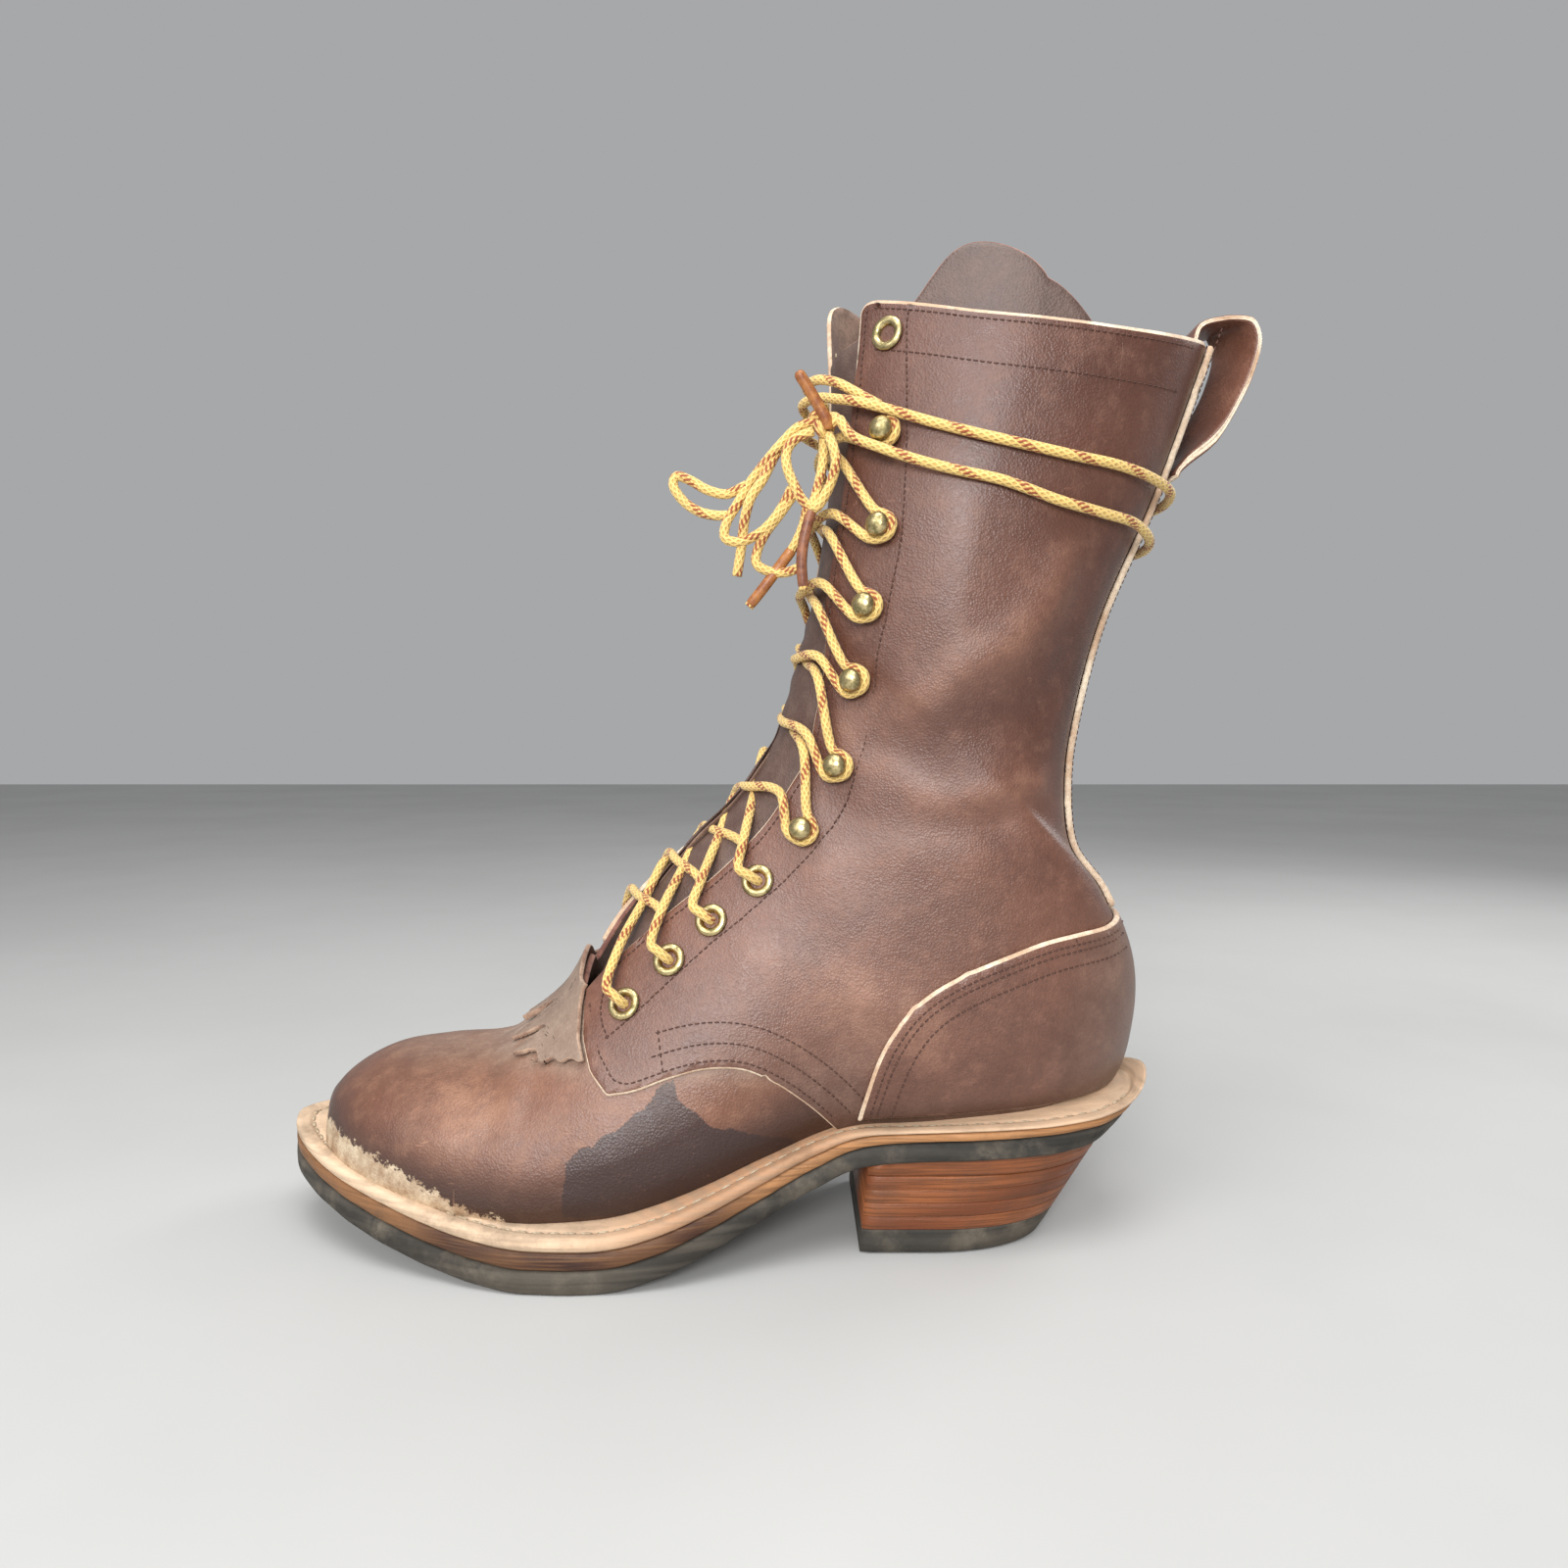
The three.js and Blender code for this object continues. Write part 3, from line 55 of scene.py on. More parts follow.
# The sizes that the solids have too.
SOLE_LENGTH = 315.0
BALL_WIDTH = 110.0
LEG_WIDTH = 90.0
INSTEP_HEIGHT = 115.0
SHAFT_HEIGHT = 271.0
TOE_SPRING = 21.5
SEAT_HEIGHT = 33.0
SEAT_RISE = 5.0
OUTSOLE = 7.7
MIDSOLE = 6.2
WELT = 4.4
CROWN = 4.0
VAMP_WALL = 2.2
QUARTER_WALL = 2.4
COUNTER_WALL = 1.9
STAY_WALL = 2.2
TONGUE_WALL = 1.8
KILTIE_WALL = 1.6
GAP = 0.3
LAP_STEP = 1.6
LAP_UNDER = 12.0
BURY = 14.0
HEEL_LENGTH = 68.0
HEEL_WIDTH = 61.0
HEEL_FLARE = 6.0
HEEL_CAP = 9.0
LIFT_COUNT = 5
BREAST_RAKE = 3.0
HEEL_SLANT = 21.0
EDGE_SLANT = 16.0
THROAT_GAP = 33.0
THROAT_MIDDLE = -1.0
THROAT_ROW = 6.35
LACE = 3.4
STAY_WIDTH = 22.0
LOOP_WIDTH = 20.0
LOOP_RISE = 10.0
LOOP_DEPTH = 45.0
LOOP_BULGE = 12.0
TONGUE_TURN = 0.75
TONGUE_SPREAD = 0.47
KILTIE_PUFF = 2.0
COLLAR_DIP = 11.0
HEEL_MIDDLE_AT = 0.7665
BREAST_AT = 0.658
STAY_FOOT = 0.236

# The sizes that only the scene has.
KILTIE_FINGERS = 8
TONGUE_DENT = 5.5
LOOP_TWIST = 0.42
FAR_CORNER_RISE = 11.0
UNDER_WELT = 5.0
STITCH_PROUD = 0.12
EDGE_INSET = 3.2
EYESTAY_FOOT = 7.0
CROSSINGS = 9
TUBE_SIDES = 14
PLAIT = 3.2

Points = np.ndarray
Values = np.ndarray
Height = Callable[[Values], Values]
Rgb = tuple[float, float, float]
Material = bpy.types.Material
Piece = bpy.types.Object
Socket = bpy.types.NodeSocket
Tree = bpy.types.NodeTree


def named(columns: str, rows: Sequence[Sequence[float]]) -> dict[str, Values]:
    """Turns a table of rows into its named columns.

    Args:
        columns: the names, parted by spaces.
        rows: one tuple of numbers for each row.

    Returns:
        Each column's numbers under its name.
    """
    return dict(zip(columns.split(), np.array(rows, float).T))


OUTLINE = named(
    "at outer inner",
    [
        (0.0, -0.08, 0.08), (0.008, 0.01, 0.15), (0.028, 0.1, 0.24), (0.062, 0.205, 0.325),
        (0.12, 0.325, 0.405), (0.2, 0.432, 0.455), (0.29, 0.513, 0.475), (0.375, 0.53, 0.46),
        (0.45, 0.502, 0.405), (0.52, 0.44, 0.34), (0.59, 0.37, 0.3), (0.66, 0.325, 0.302),
        (0.74, 0.325, 0.322), (0.82, 0.33, 0.332), (0.89, 0.305, 0.312), (0.945, 0.24, 0.25),
        (0.983, 0.135, 0.16), (1.0, 0.0, 0.03),
    ],
)  # fmt: skip

PROFILE = named(
    "at toe seat rise rubber mid welt crown",
    [
        (0.0, 1.0, 0, 0, 0.9, 0.8, 0.85, 0.3), (0.045, 0.82, 0, 0, 0.92, 0.85, 0.9, 0.3),
        (0.09, 0.63, 0, 0, 0.95, 0.9, 0.95, 0.3), (0.14, 0.44, 0, 0, 1, 0.95, 1, 0.25),
        (0.21, 0.2, 0, 0, 1, 1, 1, 0.15), (0.27, 0.06, 0, 0, 1, 1, 1, 0.1),
        (0.315, 0, 0, 0, 1, 1, 1, 0.1), (0.385, 0, 0, 0, 1, 1, 1, 0.2),
        (0.43, 0, 0.07, 0, 1, 0.98, 1, 0.3), (0.49, 0, 0.26, 0, 0.98, 0.92, 1, 0.4),
        (0.56, 0, 0.56, 0, 0.93, 0.82, 0.9, 0.55), (0.62, 0, 0.83, 0, 0.88, 0.7, 0.7, 0.7),
        (0.66, 0, 0.97, 0, 0.86, 0.6, 0.45, 0.85), (0.72, 0, 1, 0.15, 0.86, 0.5, 0.3, 1),
        (0.86, 0, 1, 0.55, 0.86, 0.5, 0.3, 1.1), (0.92, 0, 1, 0.8, 0.86, 0.52, 0.32, 1.1),
        (0.955, 0, 1, 1.1, 0.86, 0.55, 0.34, 1.1), (0.975, 0, 1, 1.6, 0.86, 0.55, 0.34, 1.1),
        (1.0, 0, 1, 2.5, 0.86, 0.55, 0.34, 1.1),
    ],
)  # fmt: skip

FOOT_SECTIONS = named(
    "foot ridge top mid out inn belly low high",
    [
        (0.039, 0.039, 0.06, 0.07, 0, 0, 0.5, 3.2, 2.2),
        (0.049, 0.053, 0.145, 0.07, 0.17, 0.14, 0.46, 3.2, 2.2),
        (0.073, 0.081, 0.225, 0.07, 0.275, 0.225, 0.42, 3.2, 2.2),
        (0.111, 0.12, 0.292, 0.07, 0.372, 0.295, 0.4, 3.2, 2.2),
        (0.165, 0.174, 0.348, 0.072, 0.455, 0.34, 0.38, 3.2, 2.2),
        (0.234, 0.246, 0.413, 0.075, 0.512, 0.36, 0.36, 3.2, 2.1),
        (0.313, 0.322, 0.585, 0.078, 0.54, 0.355, 0.33, 3.2, 1.62),
        (0.402, 0.381, 0.862, 0.078, 0.53, 0.325, 0.29, 3.2, 1.38),
        (0.487, 0.442, 1.042, 0.074, 0.49, 0.275, 0.27, 3.2, 1.38),
        (0.57, 0.487, 1.122, 0.068, 0.44, 0.24, 0.29, 3.1, 1.45),
        (0.658, 0.525, 1.212, 0.062, 0.395, 0.24, 0.32, 3.0, 1.55),
        (0.766, 0.548, 1.268, 0.052, 0.385, 0.265, 0.34, 2.9, 1.7),
        (0.877, 0.563, 1.325, 0.044, 0.375, 0.28, 0.38, 2.6, 1.8),
    ],
)

LEG_SECTIONS = named(
    "back up front rise mid out inn belly low high",
    [
        (0.949, 0.01, 0.571, 0.211, 0.045, 0.445, 0.35, 0.42, 2.3, 1.9),
        (0.973, 0.09, 0.578, 0.261, 0.042, 0.435, 0.345, 0.46, 2.2, 1.9),
        (0.972, 0.173, 0.583, 0.304, 0.04, 0.43, 0.345, 0.48, 2.2, 1.9),
        (0.943, 0.257, 0.589, 0.348, 0.038, 0.435, 0.35, 0.48, 2.2, 1.9),
        (0.905, 0.319, 0.595, 0.398, 0.036, 0.44, 0.365, 0.48, 2.2, 1.95),
        (0.896, 0.399, 0.602, 0.473, 0.034, 0.455, 0.385, 0.48, 2.2, 1.9),
        (0.902, 0.483, 0.609, 0.561, 0.032, 0.475, 0.41, 0.48, 2.3, 1.78),
        (0.93, 0.617, 0.615, 0.673, 0.03, 0.49, 0.44, 0.48, 2.4, 1.72),
        (0.99, 0.781, 0.616, 0.811, 0.04, 0.505, 0.465, 0.48, 2.4, 1.7),
        (1.051, 0.977, 0.614, 0.998, 0.06, 0.515, 0.48, 0.48, 2.4, 1.7),
        (1.082, 1.077, 0.612, 1.166, 0.065, 0.515, 0.48, 0.48, 2.4, 1.7),
    ],
)

LAP_LINE = [
    (0.357, 0.733), (0.36, 0.653), (0.372, 0.573), (0.392, 0.516), (0.42, 0.528), (0.456, 0.562),
    (0.496, 0.588), (0.536, 0.583), (0.567, 0.543), (0.592, 0.493), (0.613, 0.44), (0.645, 0.333),
]  # fmt: skip
COUNTER_LINE = [
    (0.652, -0.035), (0.657, 0.0), (0.666, 0.038), (0.675, 0.070), (0.688, 0.101), (0.708, 0.133),
    (0.733, 0.158), (0.770, 0.182), (0.807, 0.200), (0.851, 0.218), (0.894, 0.227), (0.930, 0.232),
    (0.992, 0.253),
]  # fmt: skip
COLLAR_LINE = [
    (0.5, 0.9), (0.62, 0.65), (0.69, 0.07), (0.78, -0.65), (0.87, -1.0), (0.95, -1.15),
    (1.01, -1.05), (1.06, -0.7), (1.2, -0.3),
]  # fmt: skip

# Soft folds of the leather, as side-view places with a height and a breadth.
FOLDS = [
    ([(-37, 179), (-25, 186), (-14, 191), (-4, 199), (7, 203), (19, 212), (27, 222), (32, 232)], 1.9, 8.0),
    ([(-28, 170), (-12, 172), (5, 178), (21, 184), (33, 196)], -1.5, 9.0),
    ([(-36, 169), (-25, 166), (-18, 160), (-7, 156), (8, 158), (25, 161)], 1.4, 5.5),
    ([(-42, 153), (-25, 148), (-8, 147), (12, 150)], -1.1, 6.0),
    ([(-46, 131), (-35, 136), (-18, 138), (0, 136)], 0.8, 7.0),
    ([(-70, 104), (-50, 98), (-30, 90), (-15, 84)], 0.7, 8.0),
    ([(-10, 262), (-4, 240), (-6, 215)], 0.8, 10.0),
    ([(35, 250), (38, 225), (34, 205)], -0.7, 8.0),
]
VAMP_FOLDS = [
    ([(-163, 70), (-158, 60), (-157, 48)], -0.6, 4.0),
    ([(-150, 72), (-145, 62), (-146, 52)], -0.45, 3.5),
    ([(-176, 66), (-172, 57), (-172, 46)], 0.5, 7.0),
]
# The outline of the dark stain on the vamp, in the side view.
STAIN = [
    (-132, 20), (-130, 41), (-125, 44.5), (-122, 44.5), (-120, 47), (-115, 49), (-110, 53.5), (-105, 56), (-102, 61),
    (-99, 64), (-96, 64.5), (-95, 58.5), (-90, 55.5), (-87, 53), (-84, 49), (-77, 47.5), (-71, 45.5), (-60, 42),
    (-52, 38), (-58, 28), (-80, 18),
]  # fmt: skip


class Kind(Enum):
    """The two kinds of lace fitting."""

    EYELET = "eyelet"
    HOOK = "hook"


class Side(Enum):
    """The two sides of the boot, with the sign of their Y."""

    OUTER = -1
    INNER = 1


FASTENINGS = [
    (Kind.EYELET, 7.25, 20.0, 0.6), (Kind.EYELET, 7.95, 17.5, 0.6), (Kind.EYELET, 8.75, 14.5, 1.5),
    (Kind.EYELET, 9.7, 14.5, 1.5), (Kind.HOOK, 10.95, 16.5, 2.5), (Kind.HOOK, 12.7, 17.0, 3.5),
    (Kind.HOOK, 15.6, 17.5, 4.0), (Kind.HOOK, 18.0, 22.0, 4.0), (Kind.HOOK, 19.5, 22.0, 4.0),
    (Kind.HOOK, 20.7, 17.5, 4.0), (Kind.EYELET, 21.72, 12.4, 0.0),
]  # fmt: skip


def place_x(at: float | Values) -> float | Values:
    """Turns a share of the sole's length from the toe into a place along X."""
    return (at - HEEL_MIDDLE_AT) * SOLE_LENGTH


def share_of(x: float | Values) -> float | Values:
    """Turns a place along X into a share of the sole's length from the toe."""
    return x / SOLE_LENGTH + HEEL_MIDDLE_AT


def blend(a: Values, b: Values, c: Values, d: Values, u: Values) -> Values:
    """A smooth value between b and c at the share u, led by their neighbours a and d."""
    return b + 0.5 * u * (c - a + u * (2 * a - 5 * b + 4 * c - d + u * (3 * (b - c) + d - a)))


def ease(value: Values) -> Values:
    """A smooth step from 0 to 1."""
    u = np.clip(value, 0, 1)
    return u * u * (3 - 2 * u)


def rounded(a: Values, b: Values, radius: float) -> Values:
    """How far points lie within two edges whose corner is rounded."""
    return radius - np.hypot(np.maximum(radius - a, 0), np.maximum(radius - b, 0))


def unit(v: Points) -> Points:
    """Vectors at length one."""
    return v / np.maximum(np.linalg.norm(v, axis=-1, keepdims=True), 1e-9)


def raised(height: Height, by: float) -> Height:
    """A height moved up by a distance."""
    return lambda x: height(x) + by


def between(low: Height, high: Height, share: float) -> Height:
    """The height at a share of the way from one face up to another."""
    return lambda x: low(x) + share * (high(x) - low(x))


def look_up(table: dict[str, Values], key: str, at: Values) -> Values:
    """Reads a column between its rows without passing over them.

    Args:
        table: named columns, with the places in the column at.
        key: the column to read.
        at: the places to read it at.

    Returns:
        The column's values there.
    """
    x, y = table["at"], table[key]
    at = np.clip(at, x[0], x[-1])
    i = np.clip(np.searchsorted(x, at, side="right") - 1, 0, len(x) - 2)
    u = (at - x[i]) / (x[i + 1] - x[i])
    low, high = y[i], y[i + 1]
    smooth = blend(y[np.maximum(i - 1, 0)], low, high, y[np.minimum(i + 2, len(x) - 1)], u)
    return np.clip(smooth, np.minimum(low, high), np.maximum(low, high))


def smooth_line(places: Points, count: int) -> Points:
    """A centripetal line through places, in steps of one length.

    Args:
        places: the places, one row each.
        count: how many steps the line gets.

    Returns:
        The points of the line.
    """
    p = np.asarray(places, float)
    p = np.vstack([2 * p[0] - p[1], p, 2 * p[-1] - p[-2]])
    out = []
    for i in range(1, len(p) - 2):
        gaps = [max(np.linalg.norm(p[i + k] - p[i + k - 1]) ** 0.5, 1e-4) for k in range(3)]
        a, b, c = gaps
        v1 = ((p[i] - p[i - 1]) / a - (p[i + 1] - p[i - 1]) / (a + b) + (p[i + 1] - p[i]) / b) * b
        v2 = ((p[i + 1] - p[i]) / b - (p[i + 2] - p[i]) / (b + c) + (p[i + 2] - p[i + 1]) / c) * b
        u = np.linspace(0, 1, 24, endpoint=False)[:, None]
        x0, x1 = p[i], p[i + 1]
        out.append(x0 + v1 * u + (3 * (x1 - x0) - 2 * v1 - v2) * u**2 + (2 * (x0 - x1) + v1 + v2) * u**3)
    line = np.vstack([*out, p[-2:-1]])
    walked = np.r_[0, np.cumsum(np.linalg.norm(np.diff(line, axis=0), axis=1))]
    even = np.linspace(0, walked[-1], count + 1)
    return np.column_stack([np.interp(even, walked, line[:, k]) for k in range(line.shape[1])])


def distance_to(points: Points, line: Points) -> Values:
    """The distance of each point from a line of points, in as many dimensions as they have."""
    best = np.full(len(points), 1e9)
    for a, b in zip(line[:-1], line[1:]):
        along = b - a
        u = np.clip(((points - a) @ along) / max(along @ along, 1e-12), 0, 1)
        best = np.minimum(best, np.linalg.norm(points - a - u[:, None] * along, axis=1))
    return best


def inside(points: Points, outline: Points) -> Values:
    """The distance of each flat point from a closed outline, negative outside it."""
    ring = np.vstack([outline, outline[:1]])
    odd = np.zeros(len(points), bool)
    for (x0, y0), (x1, y1) in zip(ring[:-1], ring[1:]):
        crosses = (y0 > points[:, 1]) != (y1 > points[:, 1])
        reach = x0 + (points[:, 1] - y0) * (x1 - x0) / (y1 - y0 if y1 != y0 else 1e-9)
        odd ^= crosses & (points[:, 0] < reach)
    return np.where(odd, 1, -1) * distance_to(points, ring)


class Profile:
    """The heights of the sole's layers along the boot."""

    def part(self, key: str, size: float, x: Values) -> Values:
        """One column of the profile as a height."""
        return look_up(PROFILE, key, share_of(np.asarray(x, float))) * size

    def bottom(self, x: Values) -> Values:
        """The outsole's lower face."""
        return self.part("toe", TOE_SPRING, x) + self.part("seat", SEAT_HEIGHT, x) + self.part("rise", SEAT_RISE, x)

    def rubber(self, x: Values) -> Values:
        """The outsole's top over its lower face."""
        return self.part("rubber", OUTSOLE, x)

    def mid(self, x: Values) -> Values:
        """The midsole's top over the outsole's lower face."""
        return self.rubber(x) + self.part("mid", MIDSOLE, x)

    def rim(self, x: Values) -> Values:
        """The welt's top at its rim over the outsole's lower face."""
        return self.mid(x) + self.part("welt", WELT, x)

    def crown(self, x: Values) -> Values:
        """The welt's top at the upper over the outsole's lower face."""
        return self.rim(x) + self.part("crown", CROWN, x)

    def top(self, x: Values) -> Values:
        """The height at which the welt meets the upper."""
        return self.bottom(x) + self.crown(x)


class Skin:
    """The smooth outside of the foot and leg, as a place for each section row and turn around it."""

    STEP = 0.02

    def __init__(self, profile: Profile) -> None:
        """Works the sections out in millimetres."""
        self.profile = profile
        self.seat_top = float(profile.top(0.0))
        foot, leg = FOOT_SECTIONS, LEG_SECTIONS
        foot_top = profile.top(place_x(foot["foot"]))
        nose = np.where(foot["out"] > 0, -BURY, foot["top"] * INSTEP_HEIGHT)
        ridge_top = profile.top(place_x(foot["ridge"]))
        rest = SHAFT_HEIGHT - INSTEP_HEIGHT
        both = {
            "back_x": (place_x(foot["foot"]), place_x(leg["back"])),
            "back_z": (foot_top + nose, self.seat_top + leg["up"] * SHAFT_HEIGHT),
            "front_x": (place_x(foot["ridge"]), place_x(leg["front"])),
            "front_z": (ridge_top + foot["top"] * INSTEP_HEIGHT, self.seat_top + INSTEP_HEIGHT + leg["rise"] * rest),
            "mid": (foot["mid"] * BALL_WIDTH, leg["mid"] * LEG_WIDTH),
            "out": (foot["out"] * BALL_WIDTH, leg["out"] * LEG_WIDTH),
            "inn": (foot["inn"] * BALL_WIDTH, leg["inn"] * LEG_WIDTH),
            **{key: (foot[key], leg[key]) for key in ("belly", "low", "high")},
        }
        rows = {key: np.concatenate(pair) for key, pair in both.items()}
        swap = {"back_x": "front_x", "back_z": "front_z", "front_x": "back_x", "front_z": "back_z"}
        turned = {"out": -1, "inn": -1}
        self.columns = {
            key: np.r_[rows[swap.get(key, key)][1] * turned.get(key, 1), rows[key]] for key in rows
        }
        self.last_row = len(rows["mid"]) - 1

    def value(self, key: str, t: Values) -> Values:
        """One size of the section at the row t."""
        v = self.columns[key]
        last = len(v) - 1
        t = np.asarray(t, float) + 1
        i = np.clip(np.floor(t).astype(int), 0, last - 1)
        before = np.where(i > 0, v[np.maximum(i - 1, 0)], 2 * v[0] - v[1])
        after = np.where(i + 2 <= last, v[np.minimum(i + 2, last)], 2 * v[last] - v[last - 1])
        return blend(before, v[i], v[i + 1], after, t - i)

    def point(self, t: Values, turn: Values) -> Points:
        """The place of the skin at rows and turns, which run from the back (0) by the outer side."""
        t, turn = np.broadcast_arrays(np.asarray(t, float), np.asarray(turn, float))
        along, across = -np.cos(turn), np.sin(turn)
        belly = self.value("belly", t)
        power = 2 / np.where(along < 0, self.value("low", t), self.value("high", t))
        reach = np.sign(along) * np.abs(along) ** power
        wide = np.abs(across) ** power
        share = belly + reach * np.where(along < 0, belly, 1 - belly)
        side = np.where(across > 0, -self.value("out", t), self.value("inn", t))
        x0, x1 = self.value("back_x", t), self.value("front_x", t)
        z0, z1 = self.value("back_z", t), self.value("front_z", t)
        return np.stack([x0 + share * (x1 - x0), self.value("mid", t) + side * wide, z0 + share * (z1 - z0)], -1)

    def normal(self, t: Values, turn: Values) -> Points:
        """The outward direction of the skin."""
        t = np.maximum(t, 2 * self.STEP)
        along = self.point(t + self.STEP, turn) - self.point(t - self.STEP, turn)
        around = self.point(t, turn + self.STEP) - self.point(t, turn - self.STEP)
        return unit(np.cross(along, around))

    def off(self, t: Values, turn: Values, distance: Values) -> Points:
        """The place at a distance outwards from the skin."""
        return self.point(t, turn) + self.normal(t, turn) * np.asarray(distance, float)[..., None]

    def beside_throat(self, t: float, side: Side, inset: float) -> float:
        """The turn at a distance from the quarter's front edge along the leather.

        Args:
            t: the section row.
            side: which quarter.
            inset: the distance from its front edge.

        Returns:
            The turn there.
        """
        edge = THROAT_MIDDLE + side.value * THROAT_GAP / 2
        turns = math.pi + side.value * np.linspace(0, 2.4, 480)
        line = self.point(t, turns)
        first = int(np.argmax(side.value * (line[:, 1] - edge) >= 0))
        walked = np.r_[0, np.cumsum(np.linalg.norm(np.diff(line[first:], axis=0), axis=1))]
        return float(np.interp(inset, walked, turns[first:]))

    def find(self, x: float, z: float, side: Side) -> tuple[float, float]:
        """The row and turn of the skin's point at a place of the side view.

        Args:
            x: the place along the boot.
            z: its height.
            side: the side it is on.

        Returns:
            The row and the turn.
        """
        t, a = np.meshgrid(np.linspace(3.0, 23.0, 160), math.pi + side.value * np.linspace(0, math.pi, 120))
        t, a = t.ravel(), a.ravel()
        p = self.point(t, a)
        best = int(np.argmin((p[:, 0] - x) ** 2 + (p[:, 2] - z) ** 2))
        t0, a0 = float(t[best]), float(a[best])
        for _ in range(4):
            here = self.point(t0, a0)
            dt = (self.point(t0 + 0.01, a0) - here) / 0.01
            da = (self.point(t0, a0 + 0.01) - here) / 0.01
            m = np.array([[dt[0], da[0]], [dt[2], da[2]]])
            if abs(np.linalg.det(m)) < 1.0:
                break
            step = np.linalg.solve(m, [x - here[0], z - here[2]])
            t0, a0 = t0 + float(np.clip(step[0], -0.2, 0.2)), a0 + float(np.clip(step[1], -0.1, 0.1))
        return t0, a0


@dataclass
class Patch:
    """A part of the skin: rows and turns of its points, and its triangles."""

    t: Values
    turn: Values
    faces: np.ndarray

    @classmethod
    def grid(cls, rows: Values, turns: Values) -> "Patch":
        """A patch of a point for each row and turn, where turns may have a row for each row."""
        t, a = np.broadcast_arrays(np.asarray(rows)[:, None], np.atleast_2d(turns))
        n, m = t.shape
        i = np.arange(n * m).reshape(n, m)
        quads = [i[:-1, :-1].ravel(), i[1:, :-1].ravel(), i[1:, 1:].ravel(), i[:-1, 1:].ravel()]
        a0, b0, c0, d0 = quads
        faces = np.vstack([np.column_stack([a0, b0, c0]), np.column_stack([a0, c0, d0])])
        return cls(t.ravel().copy(), a.ravel().copy(), faces)

    def cut(self, keep: Callable[["Patch"], Values]) -> "Patch":
        """Cuts off where a measure is below zero, along the line where it is zero.

        Args:
            keep: gives the measure at each point of the patch.

        Returns:
            The patch that is left.
        """
        f = keep(self)
        whole = (f[self.faces] >= 0).all(1)
        mixed = ~whole & (f[self.faces] >= 0).any(1)
        t, turn, made, faces = list(self.t), list(self.turn), {}, [tuple(r) for r in self.faces[whole]]

        def on_cut(a: int, b: int) -> int:
            """The point where the cut crosses an edge."""
            key = (min(a, b), max(a, b))
            if key not in made:
                u = f[a] / (f[a] - f[b])
                t.append(self.t[a] + u * (self.t[b] - self.t[a]))
                turn.append(self.turn[a] + u * (self.turn[b] - self.turn[a]))
                made[key] = len(t) - 1
            return made[key]

        for face in self.faces[mixed]:
            ring = []
            for a, b in zip(face, np.roll(face, -1)):
                if f[a] >= 0:
                    ring.append(int(a))
                if (f[a] >= 0) != (f[b] >= 0):
                    ring.append(on_cut(int(a), int(b)))
            faces += [(ring[0], ring[k], ring[k + 1]) for k in range(1, len(ring) - 1)]
        return Patch(np.array(t), np.array(turn), np.array(faces)).packed()

    def packed(self) -> "Patch":
        """The patch without its unused points."""
        used, faces = np.unique(self.faces, return_inverse=True)
        return Patch(self.t[used], self.turn[used], faces.reshape(-1, 3))

    def welded(self, skin: Skin, reach: float = 0.55) -> "Patch":
        """The patch with points that lie within a reach of each other joined, those of the cuts being kept."""
        p = skin.point(self.t, self.turn)
        tree = KDTree(len(p))
        for i, q in enumerate(p):
            tree.insert(Vector(q), i)
        tree.balance()
        into = np.arange(len(p))
        for i in range(len(p) - 1, -1, -1):
            if into[i] == i:
                for _, j, _ in tree.find_range(Vector(p[i]), reach):
                    if j < i and into[j] == j:
                        into[j] = i
        faces = into[self.faces]
        good = (faces[:, 0] != faces[:, 1]) & (faces[:, 1] != faces[:, 2]) & (faces[:, 2] != faces[:, 0])
        return Patch(self.t, self.turn, faces[good]).packed()


def placed(name: str, data: bpy.types.ID) -> Piece:
    """Adds an object to the scene."""
    made = bpy.data.objects.new(name, data)
    bpy.context.scene.collection.objects.link(made)
    return made


def stands_for(piece: Piece, slot: str, *nodes: str) -> Piece:
    """Hides the solids that a piece replaces and gives the piece back."""
    if nodes:
        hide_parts(*nodes)
    return piece


def same_wear(count: int, light: float, dark: float, dust: float) -> dict[str, Values]:
    """The same wear at every point of a piece."""
    return {"light": np.full(count, light), "dark": np.full(count, dark), "dust": np.full(count, dust)}


def make_mesh(
    name: str,
    points: Points,
    faces: Sequence[Sequence[int]],
    materials: Sequence[Material],
    slots: Sequence[int] | None = None,
    values: dict[str, Values] | None = None,
    corners: Points | None = None,
) -> Piece:
    """Makes an object from points in millimetres.

    Args:
        name: the piece's name.
        points: its points.
        faces: the points of each face, turned so that it faces out.
        materials: the piece's materials.
        slots: the number of each face's material.
        values: further numbers for each point, by name.
        corners: a flat place for each face's corners, for patterns that follow the surface.

    Returns:
        The object, with smooth shading, riding on the boot's body.
    """
    mesh = bpy.data.meshes.new(name)
    mesh.from_pydata((np.asarray(points) * MM).tolist(), [], [tuple(map(int, f)) for f in faces])
    for material in materials:
        mesh.materials.append(material)
    if slots is not None:
        mesh.polygons.foreach_set("material_index", np.asarray(slots, np.int32))
    mesh.polygons.foreach_set("use_smooth", np.ones(len(mesh.polygons), bool))
    for key, numbers in (values or {}).items():
        layer = mesh.attributes.new(key, "FLOAT", "POINT")
        layer.data.foreach_set("value", np.asarray(numbers, np.float32))
    if corners is not None:
        mesh.uv_layers.new(name="UVMap").data.foreach_set("uv", np.asarray(corners, np.float32).ravel())
    mesh.update()
    obj = placed(name, mesh)
    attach(obj, BODY)
    return obj


